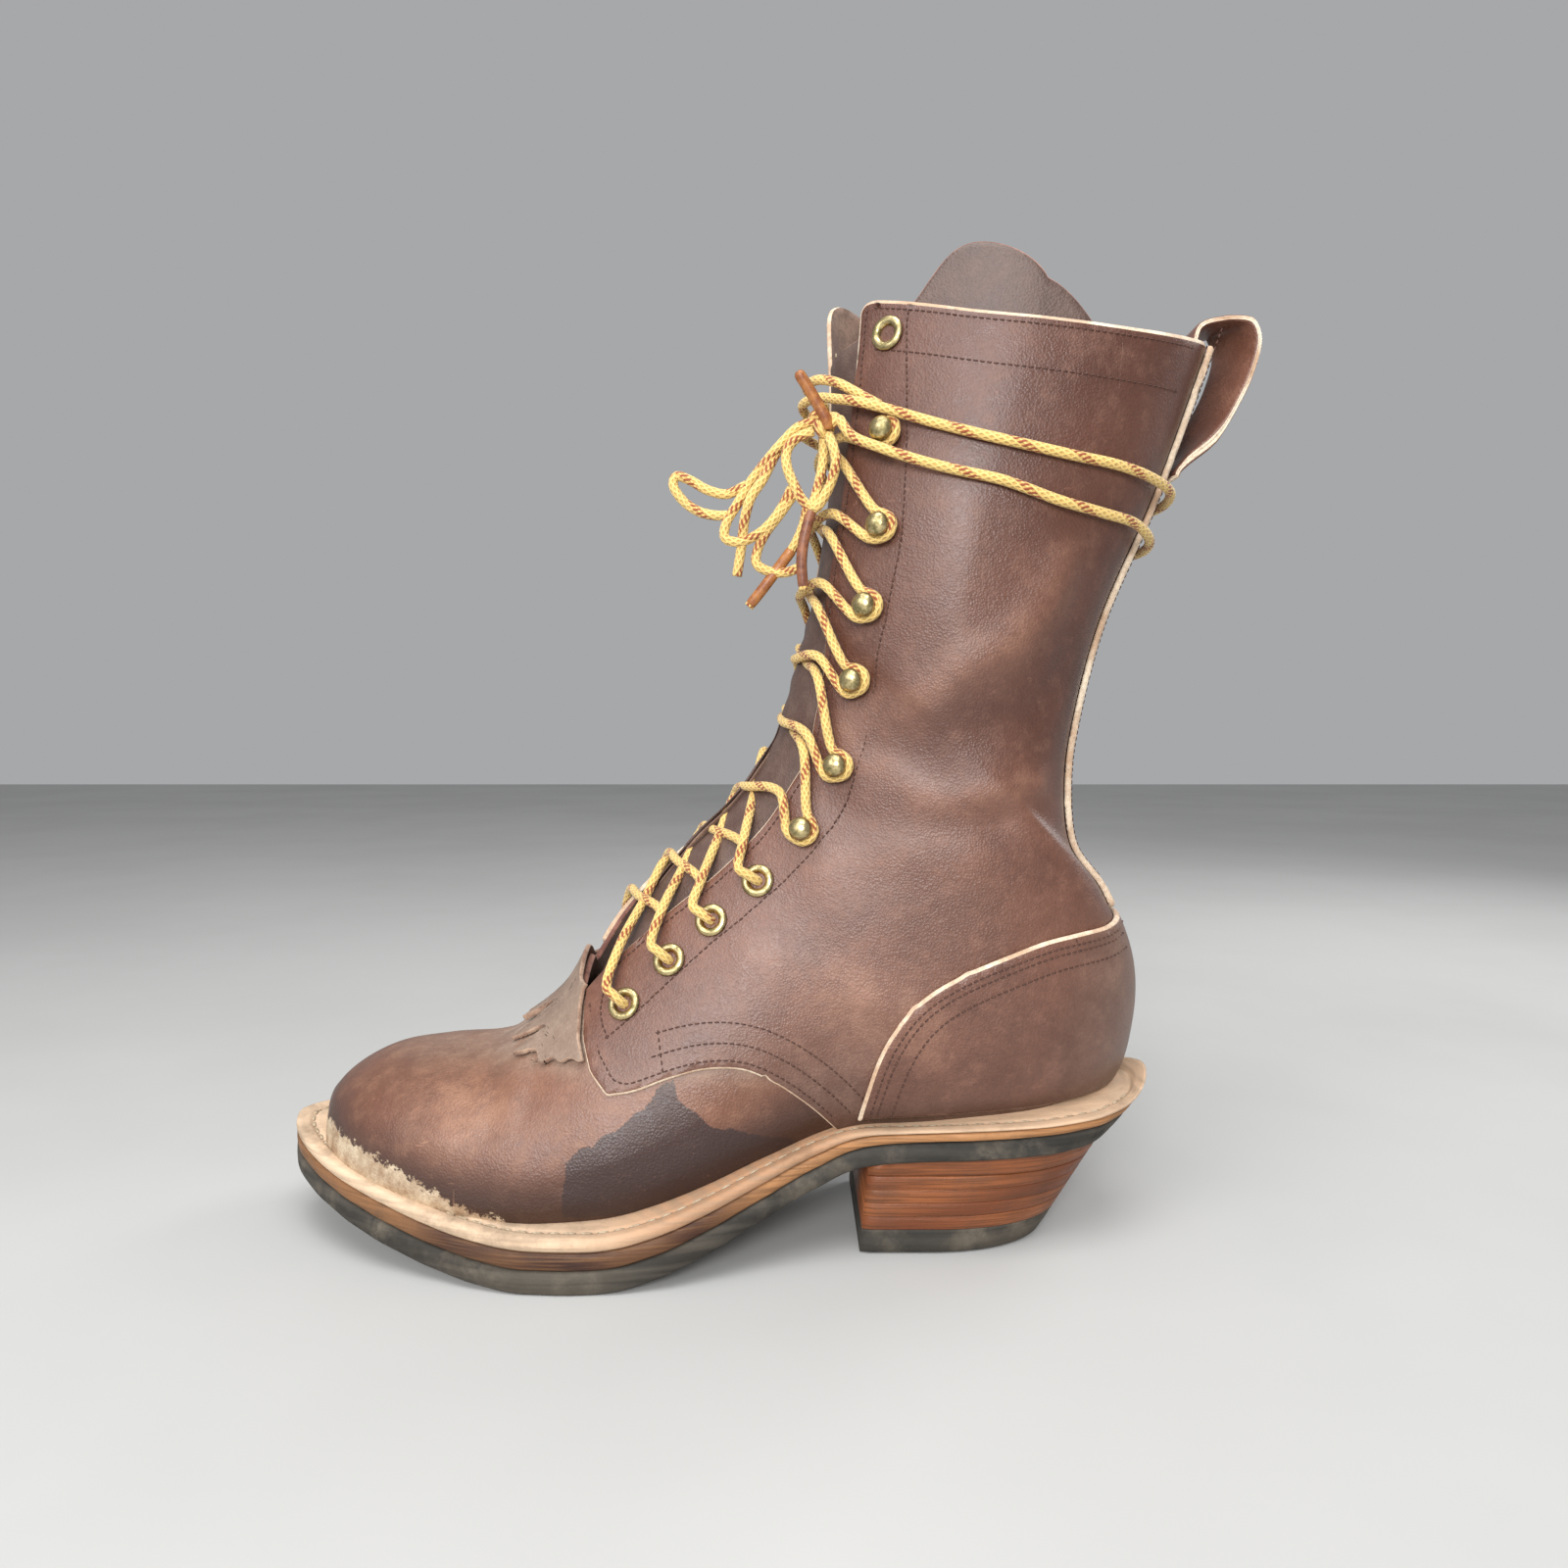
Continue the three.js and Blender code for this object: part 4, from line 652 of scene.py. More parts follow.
@dataclass
class Leather:
    """A cut piece of leather on the skin, with its cut edge all round.

    Attributes:
        outer: how far its face lies from the skin.
        inner: how far its back lies from the skin.
        bevel: how far its cut edge is rounded.
    """

    skin: Skin
    patch: Patch
    outer: float | Values
    inner: float | Values
    bevel: float | Values = 0.45

    def build(
        self,
        name: str,
        materials: Sequence[Material],
        relief: Values | float = 0.0,
        values: dict[str, Values] | None = None,
        shift: Points | float = 0.0,
    ) -> Piece:
        """Makes the piece.

        Args:
            name: the piece's name.
            materials: its face, its cut edge and its back.
            relief: how far each point stands proud of the face.
            values: further numbers for each point of the patch.
            shift: how far each point is moved from its place on the skin.

        Returns:
            The object.
        """
        patch, skin = self.patch, self.skin
        normals = skin.normal(patch.t, patch.turn)
        base = skin.point(patch.t, patch.turn) + shift
        relief = np.broadcast_to(relief, patch.t.shape)
        outer = np.broadcast_to(self.outer, patch.t.shape)
        inner = np.broadcast_to(self.inner, patch.t.shape)
        face = base + normals * (outer + relief)[:, None]
        back = base + normals * (inner + 0.6 * relief)[:, None]
        directed = np.vstack([patch.faces[:, [0, 1]], patch.faces[:, [1, 2]], patch.faces[:, [2, 0]]])
        seen = {tuple(e) for e in directed.tolist()}
        rim = [e for e in directed.tolist() if (e[1], e[0]) not in seen]
        on_rim = sorted({i for e in rim for i in e})
        number = {v: k for k, v in enumerate(on_rim)}
        inward = np.zeros_like(base)
        for a, b in rim:
            step = np.cross(normals[a], base[b] - base[a])
            inward[a] += step
            inward[b] += step
        inward = unit(inward[on_rim])
        for _ in range(3):
            spread = inward.copy()
            for a, b in rim:
                spread[number[a]] += inward[number[b]]
                spread[number[b]] += inward[number[a]]
            inward = unit(spread)
        bevel = np.broadcast_to(self.bevel, patch.t.shape)[on_rim][:, None]
        wall = np.minimum(bevel, 0.4 * (outer - inner)[on_rim][:, None])
        upper_ring = face[on_rim] - normals[on_rim] * wall
        lower_ring = back[on_rim] + normals[on_rim] * wall * 0.7
        n, m = len(base), len(on_rim)
        tree = KDTree(m)
        for k, i in enumerate(on_rim):
            tree.insert(Vector(base[i]), k)
        tree.balance()
        found = [tree.find(Vector(q)) for q in base]
        nearest = np.array([f[1] for f in found])
        edge = np.array([f[2] for f in found])
        reach = 3.0 * bevel[nearest][:, 0] + 1e-6
        away = unit(base - base[on_rim][nearest] + inward[nearest] * 1e-3)
        room = np.where(edge < reach, bevel[nearest][:, 0] * (1 - edge / reach), 0)[:, None]
        room[on_rim] = 0
        face += away * room
        face[on_rim] += inward * bevel
        back[on_rim] += inward * wall * 0.3
        points = np.vstack([face, back, upper_ring, lower_ring])
        faces: list[Sequence[int]] = patch.faces.tolist()
        slots = [0] * len(faces)
        for a, b in rim:
            ra, rb = 2 * n + number[a], 2 * n + number[b]
            faces += [(b, a, ra, rb), (rb, ra, ra + m, rb + m), (rb + m, ra + m, a + n, b + n)]
            slots += [1, 1, 1]
        faces += (patch.faces[:, ::-1] + n).tolist()
        slots += [2] * len(patch.faces)
        more = {"edge": edge, **(values or {})}
        carried = {k: np.concatenate([v, v, v[on_rim], v[on_rim]]) for k, v in more.items()}
        return make_mesh(name, points, faces, materials, slots, carried)


def add_node(tree: Tree, kind: str, **settings: object) -> bpy.types.Node:
    """Adds a node to a tree.

    Args:
        tree: the tree.
        kind: the node's type.
        settings: its properties, and by a capital letter its sockets' values or links.

    Returns:
        The node.
    """
    made = tree.nodes.new(kind)
    for key, value in settings.items():
        target = made.inputs.get(key.replace("_", " ")) if key[0].isupper() else None
        if target is None:
            setattr(made, key, value)
        elif isinstance(value, Socket):
            tree.links.new(value, target)
        else:
            target.default_value = value
    return made


def start_tree(name: str, **inputs: str) -> tuple[Tree, dict[str, Socket]]:
    """Starts a tree of geometry nodes.

    Args:
        name: the tree's name.
        inputs: its inputs beside the geometry, with their kinds.

    Returns:
        The tree and what it is given.
    """
    tree = bpy.data.node_groups.new(name, "GeometryNodeTree")
    for key, kind in {"Geometry": "Geometry", **inputs}.items():
        tree.interface.new_socket(key, in_out="INPUT", socket_type="NodeSocket" + kind)
    tree.interface.new_socket("Geometry", in_out="OUTPUT", socket_type="NodeSocketGeometry")
    return tree, {socket.name: socket for socket in tree.nodes.new("NodeGroupInput").outputs if socket.name}


def end_tree(tree: Tree, copies: bpy.types.Node, material: Socket) -> Tree:
    """Makes a tree's copies real, gives them their material and puts them out."""
    real = add_node(tree, "GeometryNodeRealizeInstances", Geometry=copies.outputs[0])
    smooth = add_node(tree, "GeometryNodeSetShadeSmooth", Geometry=real.outputs[0])
    paint = add_node(tree, "GeometryNodeSetMaterial", Geometry=smooth.outputs[0], Material=material)
    add_node(tree, "NodeGroupOutput", Geometry=paint.outputs[0])
    return tree


class Recipe:
    """A node material built in few words."""

    def __init__(self, name: str, **sockets: float | tuple) -> None:
        """Starts a material.

        Args:
            name: the material's name.
            sockets: numbers and colours of the shader that are the same all over.
        """
        self.material = bpy.data.materials.new(name)
        self.material.use_nodes = True
        self.tree = self.material.node_tree
        self.tree.nodes.clear()
        output = self.tree.nodes.new("ShaderNodeOutputMaterial")
        self.shader = self.tree.nodes.new("ShaderNodeBsdfPrincipled")
        self.tree.links.new(self.shader.outputs[0], output.inputs["Surface"])
        for key, value in sockets.items():
            self.shader.inputs[key.replace("_", " ")].default_value = value
        self.place = self.node("ShaderNodeTexCoord").outputs["Object"]

    def node(self, kind: str, **settings: object) -> bpy.types.Node:
        """Adds a node with its settings to the material."""
        return add_node(self.tree, kind, **settings)

    def noise(self, scale: float, detail: float = 4, roughness: float = 0.55, stretch: tuple = (1, 1, 1)) -> Socket:
        """A noise on the object's own coordinates, in cells to the metre."""
        where = self.node("ShaderNodeMapping", Vector=self.place, Scale=stretch).outputs[0]
        made = self.node("ShaderNodeTexNoise", Vector=where, Scale=scale, Detail=detail, Roughness=roughness)
        return made.outputs["Fac"]

    def cells(self, scale: float) -> Socket:
        """The distance to the cells of a grain."""
        return self.node("ShaderNodeTexVoronoi", Vector=self.place, Scale=scale).outputs["Distance"]

    def attribute(self, name: str) -> Socket:
        """A number that the piece's points carry."""
        return self.node("ShaderNodeAttribute", attribute_name=name).outputs["Fac"]

    def ramp(self, value: Socket, low: float, high: float, to: tuple = (0.0, 1.0)) -> Socket:
        """Spreads a value from one range to another, clamped, with soft ends."""
        made = self.node("ShaderNodeMapRange", Value=value, interpolation_type="SMOOTHSTEP")
        for key, number in zip(("From Min", "From Max", "To Min", "To Max"), (low, high, *to)):
            made.inputs[key].default_value = number
        return made.outputs["Result"]

    def sum(self, a: object, b: object, operation: str = "ADD") -> Socket:
        """Joins two values with an operation of arithmetic."""
        made = self.node("ShaderNodeMath", operation=operation)
        for socket, value in zip(made.inputs, (a, b)):
            if isinstance(value, Socket):
                self.tree.links.new(value, socket)
            else:
                socket.default_value = value
        return made.outputs[0]

    def times(self, a: object, b: object) -> Socket:
        """Multiplies two values."""
        return self.sum(a, b, "MULTIPLY")

    def mix(self, factor: object, a: object, b: object, blend_type: str = "MIX") -> Socket:
        """Mixes two colours."""
        made = self.node("ShaderNodeMix", data_type="RGBA", blend_type=blend_type)
        for key, value in ((0, factor), (6, a), (7, b)):
            if isinstance(value, Socket):
                self.tree.links.new(value, made.inputs[key])
            else:
                made.inputs[key].default_value = (*value, 1) if isinstance(value, tuple) else value
        return made.outputs[2]

    def color(self, value: Socket) -> None:
        """Sets the colour."""
        self.tree.links.new(value, self.shader.inputs["Base Color"])

    def rough(self, value: Socket) -> None:
        """Sets the roughness."""
        self.tree.links.new(value, self.shader.inputs["Roughness"])

    def bump(self, heights: Sequence[tuple[Socket, float]]) -> None:
        """Sets the fine relief from heights and their depth in millimetres."""
        normal = None
        for height, depth in heights:
            made = self.node("ShaderNodeBump", Height=height, Distance=depth * MM, Strength=1.0)
            if normal is not None:
                self.tree.links.new(normal, made.inputs["Normal"])
            normal = made.outputs[0]
        self.tree.links.new(normal, self.shader.inputs["Normal"])


@dataclass(frozen=True)
class OiledLeather:
    """Oiled leather with a fine grain, pulled-up light places and painted highlights, darker places that are mostly
    painted shade, and small scratches.

    Attributes:
        deep: the colour where it is dark and oily, and, much darkened, of the painted shade.
        mid: the colour of most of it.
        light: the colour where it is rubbed or stretched, and of the painted highlights.
        roughness: how matt it is.
        scuffs: how many scratches and rubs it has, from 0 to 1.
    """

    name: str
    deep: Rgb
    mid: Rgb
    light: Rgb
    roughness: float = 0.5
    scuffs: float = 0.4

    def make(self) -> Material:
        """Builds the material, which reads the numbers light, dark, dust, spill and frayed of its piece."""
        m = Recipe(self.name, Coat_Weight=0.3, Coat_Roughness=0.38, Specular_IOR_Level=0.5)
        cloud = m.noise(22, 5, 0.6)
        mottle = m.noise(140, 6, 0.65)
        fine = m.noise(900, 3, 0.5)
        tone = m.mix(m.ramp(cloud, 0.3, 0.72), self.deep, self.mid)
        tone = m.mix(m.times(m.ramp(mottle, 0.46, 0.74), 0.26), tone, self.light)
        # The number light lightens the leather where it is rubbed or stretched, and where a highlight is painted on.
        rubbed = m.times(m.attribute("light"), m.ramp(m.noise(75, 6, 0.7), 0.3, 0.68, (0.3, 1.0)))
        tone = m.mix(rubbed, tone, self.light)
        # The number dark is mostly painted shade, which darkens the leather towards a very deep brown.
        shaded = m.times(m.attribute("dark"), m.ramp(cloud, 0.2, 0.7, (0.65, 1.0)))
        tone = m.mix(shaded, tone, tuple(c * 0.22 for c in self.deep))
        spill = m.sum(m.attribute("spill"), m.ramp(m.noise(210, 5, 0.7), 0.2, 0.8, (-0.9, 0.9)))
        stained = m.ramp(spill, 9.9, 10.3)
        tone = m.mix(m.times(stained, 0.9), tone, (0.028, 0.012, 0.011))
        bare = m.sum(1.0, stained, "SUBTRACT")
        speck = m.ramp(m.noise(620, 4, 0.7), 0.58, 0.74, (0.0, 0.3))
        tone = m.mix(m.times(speck, m.ramp(mottle, 0.4, 0.65)), tone, self.light)
        level = m.ramp(m.noise(420, 2, 0.4, (0.1, 1, 1.1)), 0.69, 0.73)
        upright = m.ramp(m.noise(380, 2, 0.4, (1.2, 1, 0.1)), 0.7, 0.74)
        scratch = m.sum(level, upright)
        patchy = m.times(scratch, m.ramp(m.noise(38, 4, 0.6), 0.52, 0.7))
        scratched = m.times(m.times(patchy, self.scuffs), bare)
        tone = m.mix(scratched, tone, tuple(min(1, c * 1.25) for c in self.light))
        fray = m.sum(m.attribute("frayed"), m.ramp(m.noise(330, 6, 0.75), 0.25, 0.75, (-3.0, 3.0)))
        fluff = m.mix(m.ramp(mottle, 0.3, 0.7), (0.36, 0.22, 0.12), (0.74, 0.6, 0.42))
        tone = m.mix(m.ramp(fray, 9.0, 10.2, (0.0, 0.85)), tone, fluff)
        dust = m.times(m.attribute("dust"), m.ramp(mottle, 0.25, 0.7, (0.35, 1.0)))
        tone = m.mix(dust, tone, (0.4, 0.31, 0.24))
        tone = m.mix(m.ramp(fine, 0.3, 0.75, (0.0, 0.2)), tone, tuple(c * 0.45 for c in self.deep))
        m.color(tone)
        gloss = m.ramp(mottle, 0.25, 0.75, (self.roughness - 0.07, self.roughness + 0.09))
        gloss = m.sum(gloss, m.times(dust, 0.3))
        m.rough(m.sum(m.sum(gloss, m.times(scratched, 0.15)), m.times(shaded, 0.15)))
        m.bump([(m.noise(60, 4, 0.6), 0.55), (m.cells(1300), 0.16), (m.noise(420, 5, 0.6), 0.13), (scratch, -0.04)])
        return m.material


@dataclass(frozen=True)
class RawEdge:
    """The cut edge or the flesh side of leather, with its short fibres."""

    name: str
    pale: Rgb
    dark: Rgb
    roughness: float = 0.85

    def make(self) -> Material:
        """Builds the material."""
        m = Recipe(self.name, Specular_IOR_Level=0.25, Sheen_Weight=0.15, Sheen_Roughness=0.6)
        fibre = m.noise(700, 5, 0.7)
        cloud = m.noise(70, 4, 0.6)
        tone = m.mix(m.ramp(cloud, 0.35, 0.68), self.dark, self.pale)
        tone = m.mix(m.ramp(fibre, 0.42, 0.7, (0.0, 0.5)), tone, tuple(c * 0.55 for c in self.dark))
        m.color(tone)
        m.rough(m.ramp(fibre, 0.3, 0.7, (self.roughness - 0.08, min(1.0, self.roughness + 0.08))))
        m.bump([(fibre, 0.14), (cloud, 0.25)])
        return m.material


@dataclass(frozen=True)
class SoleEdge:
    """A layer of the sole or heel, whose edge is laid in thin lines and stained by dirt."""

    name: str
    base: Rgb
    stain: Rgb
    dirt: Rgb = (0.05, 0.042, 0.035)
    lines: float = 900.0
    roughness: float = 0.6
    dirtiness: float = 0.5
    streaks: float = 0.75

    def make(self) -> Material:
        """Builds the material, which reads the number stain of its piece."""
        m = Recipe(self.name, Specular_IOR_Level=0.35)
        cloud = m.noise(30, 5, 0.65)
        blot = m.noise(110, 6, 0.7)
        layers = m.noise(self.lines, 3, 0.5, (0.03, 0.03, 1))
        tone = m.mix(m.attribute("stain"), self.base, self.stain)
        tone = m.mix(m.ramp(layers, 0.4, 0.66, (0.0, self.streaks)), tone, tuple(c * 0.4 for c in self.base))
        grime = m.times(m.ramp(cloud, 0.42, 0.68), m.ramp(blot, 0.35, 0.62))
        m.color(m.mix(m.times(grime, self.dirtiness), tone, self.dirt))
        m.rough(m.ramp(blot, 0.3, 0.7, (self.roughness - 0.1, self.roughness + 0.15)))
        m.bump([(layers, 0.2), (blot, 0.35), (m.noise(800, 3, 0.6), 0.12)])
        return m.material


@dataclass(frozen=True)
class Brass:
    """Antique brass, bright where it is rubbed and green-brown in its hollows."""

    name: str
    bright: Rgb = (0.62, 0.5, 0.26)
    tarnish: Rgb = (0.2, 0.17, 0.075)

    def make(self) -> Material:
        """Builds the material."""
        m = Recipe(self.name, Metallic=1.0, Specular_IOR_Level=0.5)
        spots = m.noise(420, 5, 0.65)
        m.color(m.mix(m.ramp(spots, 0.4, 0.68), self.bright, self.tarnish))
        m.rough(m.ramp(spots, 0.35, 0.7, (0.24, 0.5)))
        m.bump([(m.noise(1500, 3, 0.5), 0.03)])
        return m.material


@dataclass(frozen=True)
class WovenLace:
    """A round braided lace with a tracer thread that goes round it."""

    name: str
    yarn: Rgb = (0.8, 0.56, 0.19)
    # The colour of the painted shade in the grooves between the braid's strands.
    shade: Rgb = (0.6, 0.37, 0.11)
    tracer: Rgb = (0.3, 0.07, 0.025)

    def make(self) -> Material:
        """Builds the material on the lace's own UV, which runs round it once and along it in plaits."""
        m = Recipe(self.name, Specular_IOR_Level=0.3, Sheen_Weight=0.2, Sheen_Roughness=0.5)
        uv = m.node("ShaderNodeUVMap", uv_map="UVMap").outputs[0]
        flat = m.node("ShaderNodeSeparateXYZ", Vector=uv)
        around, along = flat.outputs[0], flat.outputs[1]
        strands = []
        for way in (1.0, -1.0):
            phase = m.sum(m.times(around, 6 * way), along)
            strands.append(m.ramp(m.sum(m.times(phase, 2 * math.pi), 0.0, "SINE"), -1.0, 1.0))
        braid = m.sum(strands[0], strands[1], "MAXIMUM")
        track = m.sum(around, m.times(along, 0.16), "SUBTRACT")
        stripe = m.sum(m.times(track, 2 * math.pi), 0.0, "SINE")
        tracer = m.times(m.ramp(stripe, 0.55, 0.8), m.ramp(strands[0], 0.35, 0.6))
        # The grooves between the strands get the painted shade.
        tone = m.mix(m.ramp(braid, 0.35, 0.9), self.shade, self.yarn)
        tone = m.mix(m.ramp(m.noise(160, 4, 0.6), 0.4, 0.75, (0.0, 0.45)), tone, tuple(c * 0.6 for c in self.yarn))
        m.color(m.mix(tracer, tone, self.tracer))
        m.rough(m.ramp(braid, 0.2, 0.9, (0.85, 0.62)))
        m.bump([(braid, 0.3)])
        return m.material


@dataclass(frozen=True)
class Plain:
    """A smooth material with a light mottle."""

    name: str
    base: Rgb
    other: Rgb
    roughness: float = 0.5
    scale: float = 300.0
    grain: float = 0.05

    def make(self) -> Material:
        """Builds the material."""
        m = Recipe(self.name, Specular_IOR_Level=0.4)
        cloud = m.noise(self.scale, 4, 0.6)
        m.color(m.mix(m.ramp(cloud, 0.35, 0.68), self.base, self.other))
        m.rough(m.ramp(cloud, 0.3, 0.7, (self.roughness - 0.06, self.roughness + 0.08)))
        m.bump([(cloud, self.grain)])
        return m.material


class Finishes:
    """Every material of the boot."""

    def __init__(self) -> None:
        """Makes them all."""
        shaft = OiledLeather("shaft_leather", (0.085, 0.029, 0.017), (0.135, 0.05, 0.03), (0.32, 0.155, 0.1), 0.43, 0.2)
        vamp = OiledLeather("vamp_leather", (0.11, 0.04, 0.023), (0.19, 0.075, 0.042), (0.4, 0.2, 0.115), 0.43, 0.55)
        tongue = OiledLeather("tongue_leather", (0.05, 0.02, 0.015), (0.08, 0.034, 0.026), (0.2, 0.12, 0.09), 0.5, 0.15)
        kiltie = OiledLeather("kiltie_leather", (0.12, 0.065, 0.045), (0.2, 0.125, 0.09), (0.36, 0.25, 0.18), 0.66, 0.3)
        self.shaft = shaft.make()
        vamp_face, tongue_face, kiltie_face = vamp.make(), tongue.make(), kiltie.make()
        self.pale_edge = RawEdge("pale_cut_edge", (0.84, 0.7, 0.53), (0.55, 0.36, 0.23)).make()
        pink_edge = RawEdge("pink_cut_edge", (0.42, 0.2, 0.14), (0.15, 0.06, 0.045)).make()
        dusty_edge = RawEdge("dusty_cut_edge", (0.5, 0.34, 0.24), (0.22, 0.12, 0.08)).make()
        flesh = RawEdge("flesh_side", (0.26, 0.16, 0.11), (0.13, 0.07, 0.05), 0.92).make()
        self.shaft_set = [self.shaft, self.pale_edge, flesh]
        self.vamp_set = [vamp_face, pink_edge, flesh]
        self.tongue_set = [tongue_face, pink_edge, flesh]
        self.kiltie_set = [kiltie_face, dusty_edge, flesh]
        welt = SoleEdge("welt_leather", (0.74, 0.55, 0.38), (0.4, 0.2, 0.1), (0.12, 0.08, 0.05), 900, 0.75, 0.5, 0.4)
        midsole = SoleEdge("midsole_leather", (0.44, 0.21, 0.085), (0.04, 0.014, 0.01), lines=1200, dirtiness=0.4)
        stack = SoleEdge(
            "stacked_leather", (0.32, 0.105, 0.036), (0.17, 0.048, 0.018), lines=1300, roughness=0.45, dirtiness=0.3
        )
        self.welt, self.midsole, self.stack = welt.make(), midsole.make(), stack.make()
        rubber = SoleEdge("sole_rubber", (0.045, 0.041, 0.035), (0.085, 0.072, 0.056), (0.24, 0.2, 0.15), 300, 0.8, 0.5)
        self.rubber = rubber.make()
        self.brass = Brass("antique_brass").make()
        self.lace = WovenLace("braided_lace").make()
        self.tip = Plain("lace_tip", (0.42, 0.17, 0.05), (0.22, 0.07, 0.025), 0.35, 260).make()
        self.dark_tip = Plain("dark_lace_tip", (0.14, 0.05, 0.03), (0.3, 0.12, 0.06), 0.4, 260).make()
        self.thread = Plain("brown_thread", (0.05, 0.022, 0.016), (0.1, 0.045, 0.03), 0.65, 900, 0.06).make()
        self.pale_thread = Plain("pale_thread", (0.5, 0.42, 0.3), (0.3, 0.22, 0.14), 0.75, 700, 0.06).make()
        self.board = RawEdge("insole_leather", (0.34, 0.22, 0.13), (0.18, 0.1, 0.06), 0.8).make()
        self.floor = Plain("studio_floor", (0.5, 0.5, 0.49), (0.47, 0.47, 0.46), 0.85, 3.0, 0.0).make()


@dataclass
class Studio:
    """The camera at the photograph's place, the floor and the soft light.

    Attributes:
        spot: the camera's place in millimetres.
        pitch: how far it looks down, in degrees.
        lens: its focal length for a frame 36 mm wide.
    """

    spot: tuple[float, float, float] = (-59.7, -390.0, 180.0)
    pitch: float = 3.02
    lens: float = 24.75

    def build(self, finishes: Finishes) -> None:
        """Makes the camera, the lights and the floor."""
        camera = bpy.data.cameras.new("camera")
        camera.sensor_width, camera.lens = 36.0, self.lens
        camera.clip_start, camera.clip_end = 0.01, 20.0
        obj = placed("camera", camera)
        obj.location = Vector(self.spot) * MM
        obj.rotation_euler = (math.radians(90 - self.pitch), 0, 0)
        bpy.context.scene.camera = obj
        bpy.context.scene.view_settings.view_transform = "Standard"
        world = bpy.data.worlds.new("studio")
        world.use_nodes = True
        world.node_tree.nodes["Background"].inputs["Color"].default_value = (0.92, 0.93, 0.95, 1)
        world.node_tree.nodes["Background"].inputs["Strength"].default_value = 0.42
        bpy.context.scene.world = world
        for name, place, aim, size, watts in (
            ("key", (-0.22, -1.0, 0.5), (-0.03, 0, 0.17), 0.35, 9.0),
            ("overhead", (-0.15, -0.4, 1.3), (-0.05, 0, 0.12), 0.9, 13.0),
            ("front_fill", (-0.9, -0.9, 0.75), (-0.05, 0, 0.15), 0.8, 5.0),
            ("back_rim", (0.75, 0.5, 0.7), (0.0, 0, 0.18), 0.5, 4.0),
        ):
            light = bpy.data.lights.new(name, "AREA")
            light.shape, light.size, light.energy = "SQUARE", size, watts
            lamp = placed(name, light)
            lamp.location = place
            lamp.rotation_euler = (Vector(aim) - Vector(place)).to_track_quat("-Z", "Y").to_euler()
        mesh = bpy.data.meshes.new("floor")
        mesh.from_pydata([(-4, -3, 0), (4, -3, 0), (4, 3, 0), (-4, 3, 0)], [], [(0, 1, 2, 3)])
        mesh.materials.append(finishes.floor)
        placed("floor", mesh)


def loft(rings: Sequence[Points]) -> tuple[Points, list[Sequence[int]]]:
    """Joins closed rings of the same count, from the lowest up, that run round to the left seen from above.

    Args:
        rings: the rings, whose first half runs along one side and whose second comes back.

    Returns:
        The points and the faces.
    """
    n = len(rings[0])
    j = np.arange(n)
    k = (j + 1) % n
    faces: list[Sequence[int]] = []
    for i in range(len(rings) - 1):
        a, b = i * n, (i + 1) * n
        faces += np.column_stack([a + j, a + k, b + k, b + j]).tolist()
    for start, up in ((0, False), ((len(rings) - 1) * n, True)):
        for q in range(n // 2 - 1):
            quad = [start + q, start + q + 1, start + n - 2 - q, start + n - 1 - q]
            faces.append(quad if up else quad[::-1])
    return np.vstack(rings), faces


class Outline:
    """The sole's outline as one closed line, from the toe along the outer side to the heel and back."""

    STEPS = 150

    def __init__(self, profile: Profile) -> None:
        """Works the line and its outward directions out."""
        self.profile = profile
        x = place_x(OUTLINE["at"])
        outer = smooth_line(np.column_stack([x, -OUTLINE["outer"] * BALL_WIDTH]), self.STEPS)
        inner = smooth_line(np.column_stack([x, OUTLINE["inner"] * BALL_WIDTH]), self.STEPS)
        self.line = np.vstack([outer, inner[::-1]])
        for _ in range(4):
            self.line = (np.roll(self.line, 1, axis=0) + 2 * self.line + np.roll(self.line, -1, axis=0)) / 4
        ahead = np.roll(self.line, -1, axis=0) - np.roll(self.line, 1, axis=0)
        out = unit(np.column_stack([ahead[:, 1], -ahead[:, 0]]))
        for _ in range(6):
            out = unit(np.roll(out, 1, axis=0) + 2 * out + np.roll(out, -1, axis=0))
        self.out = out

    def ring(self, height: Height, grow: float | Values = 0.0, slant: float = 0.0) -> Points:
        """A ring of the sole's edge.

        Args:
            height: gives the height over the outsole's lower face at places along X.
            grow: how far the ring lies outside the outline.
            slant: how far it is drawn in at the heel's rear.

        Returns:
            The ring's points.
        """
        p = self.line + self.out * np.broadcast_to(grow, len(self.line))[:, None]
        behind = np.maximum(0, (share_of(self.line[:, 0]) - BREAST_AT) / (1 - BREAST_AT))
        x = p[:, 0] - slant * behind**3
        return np.column_stack([x, p[:, 1], self.profile.bottom(x) + height(x)])


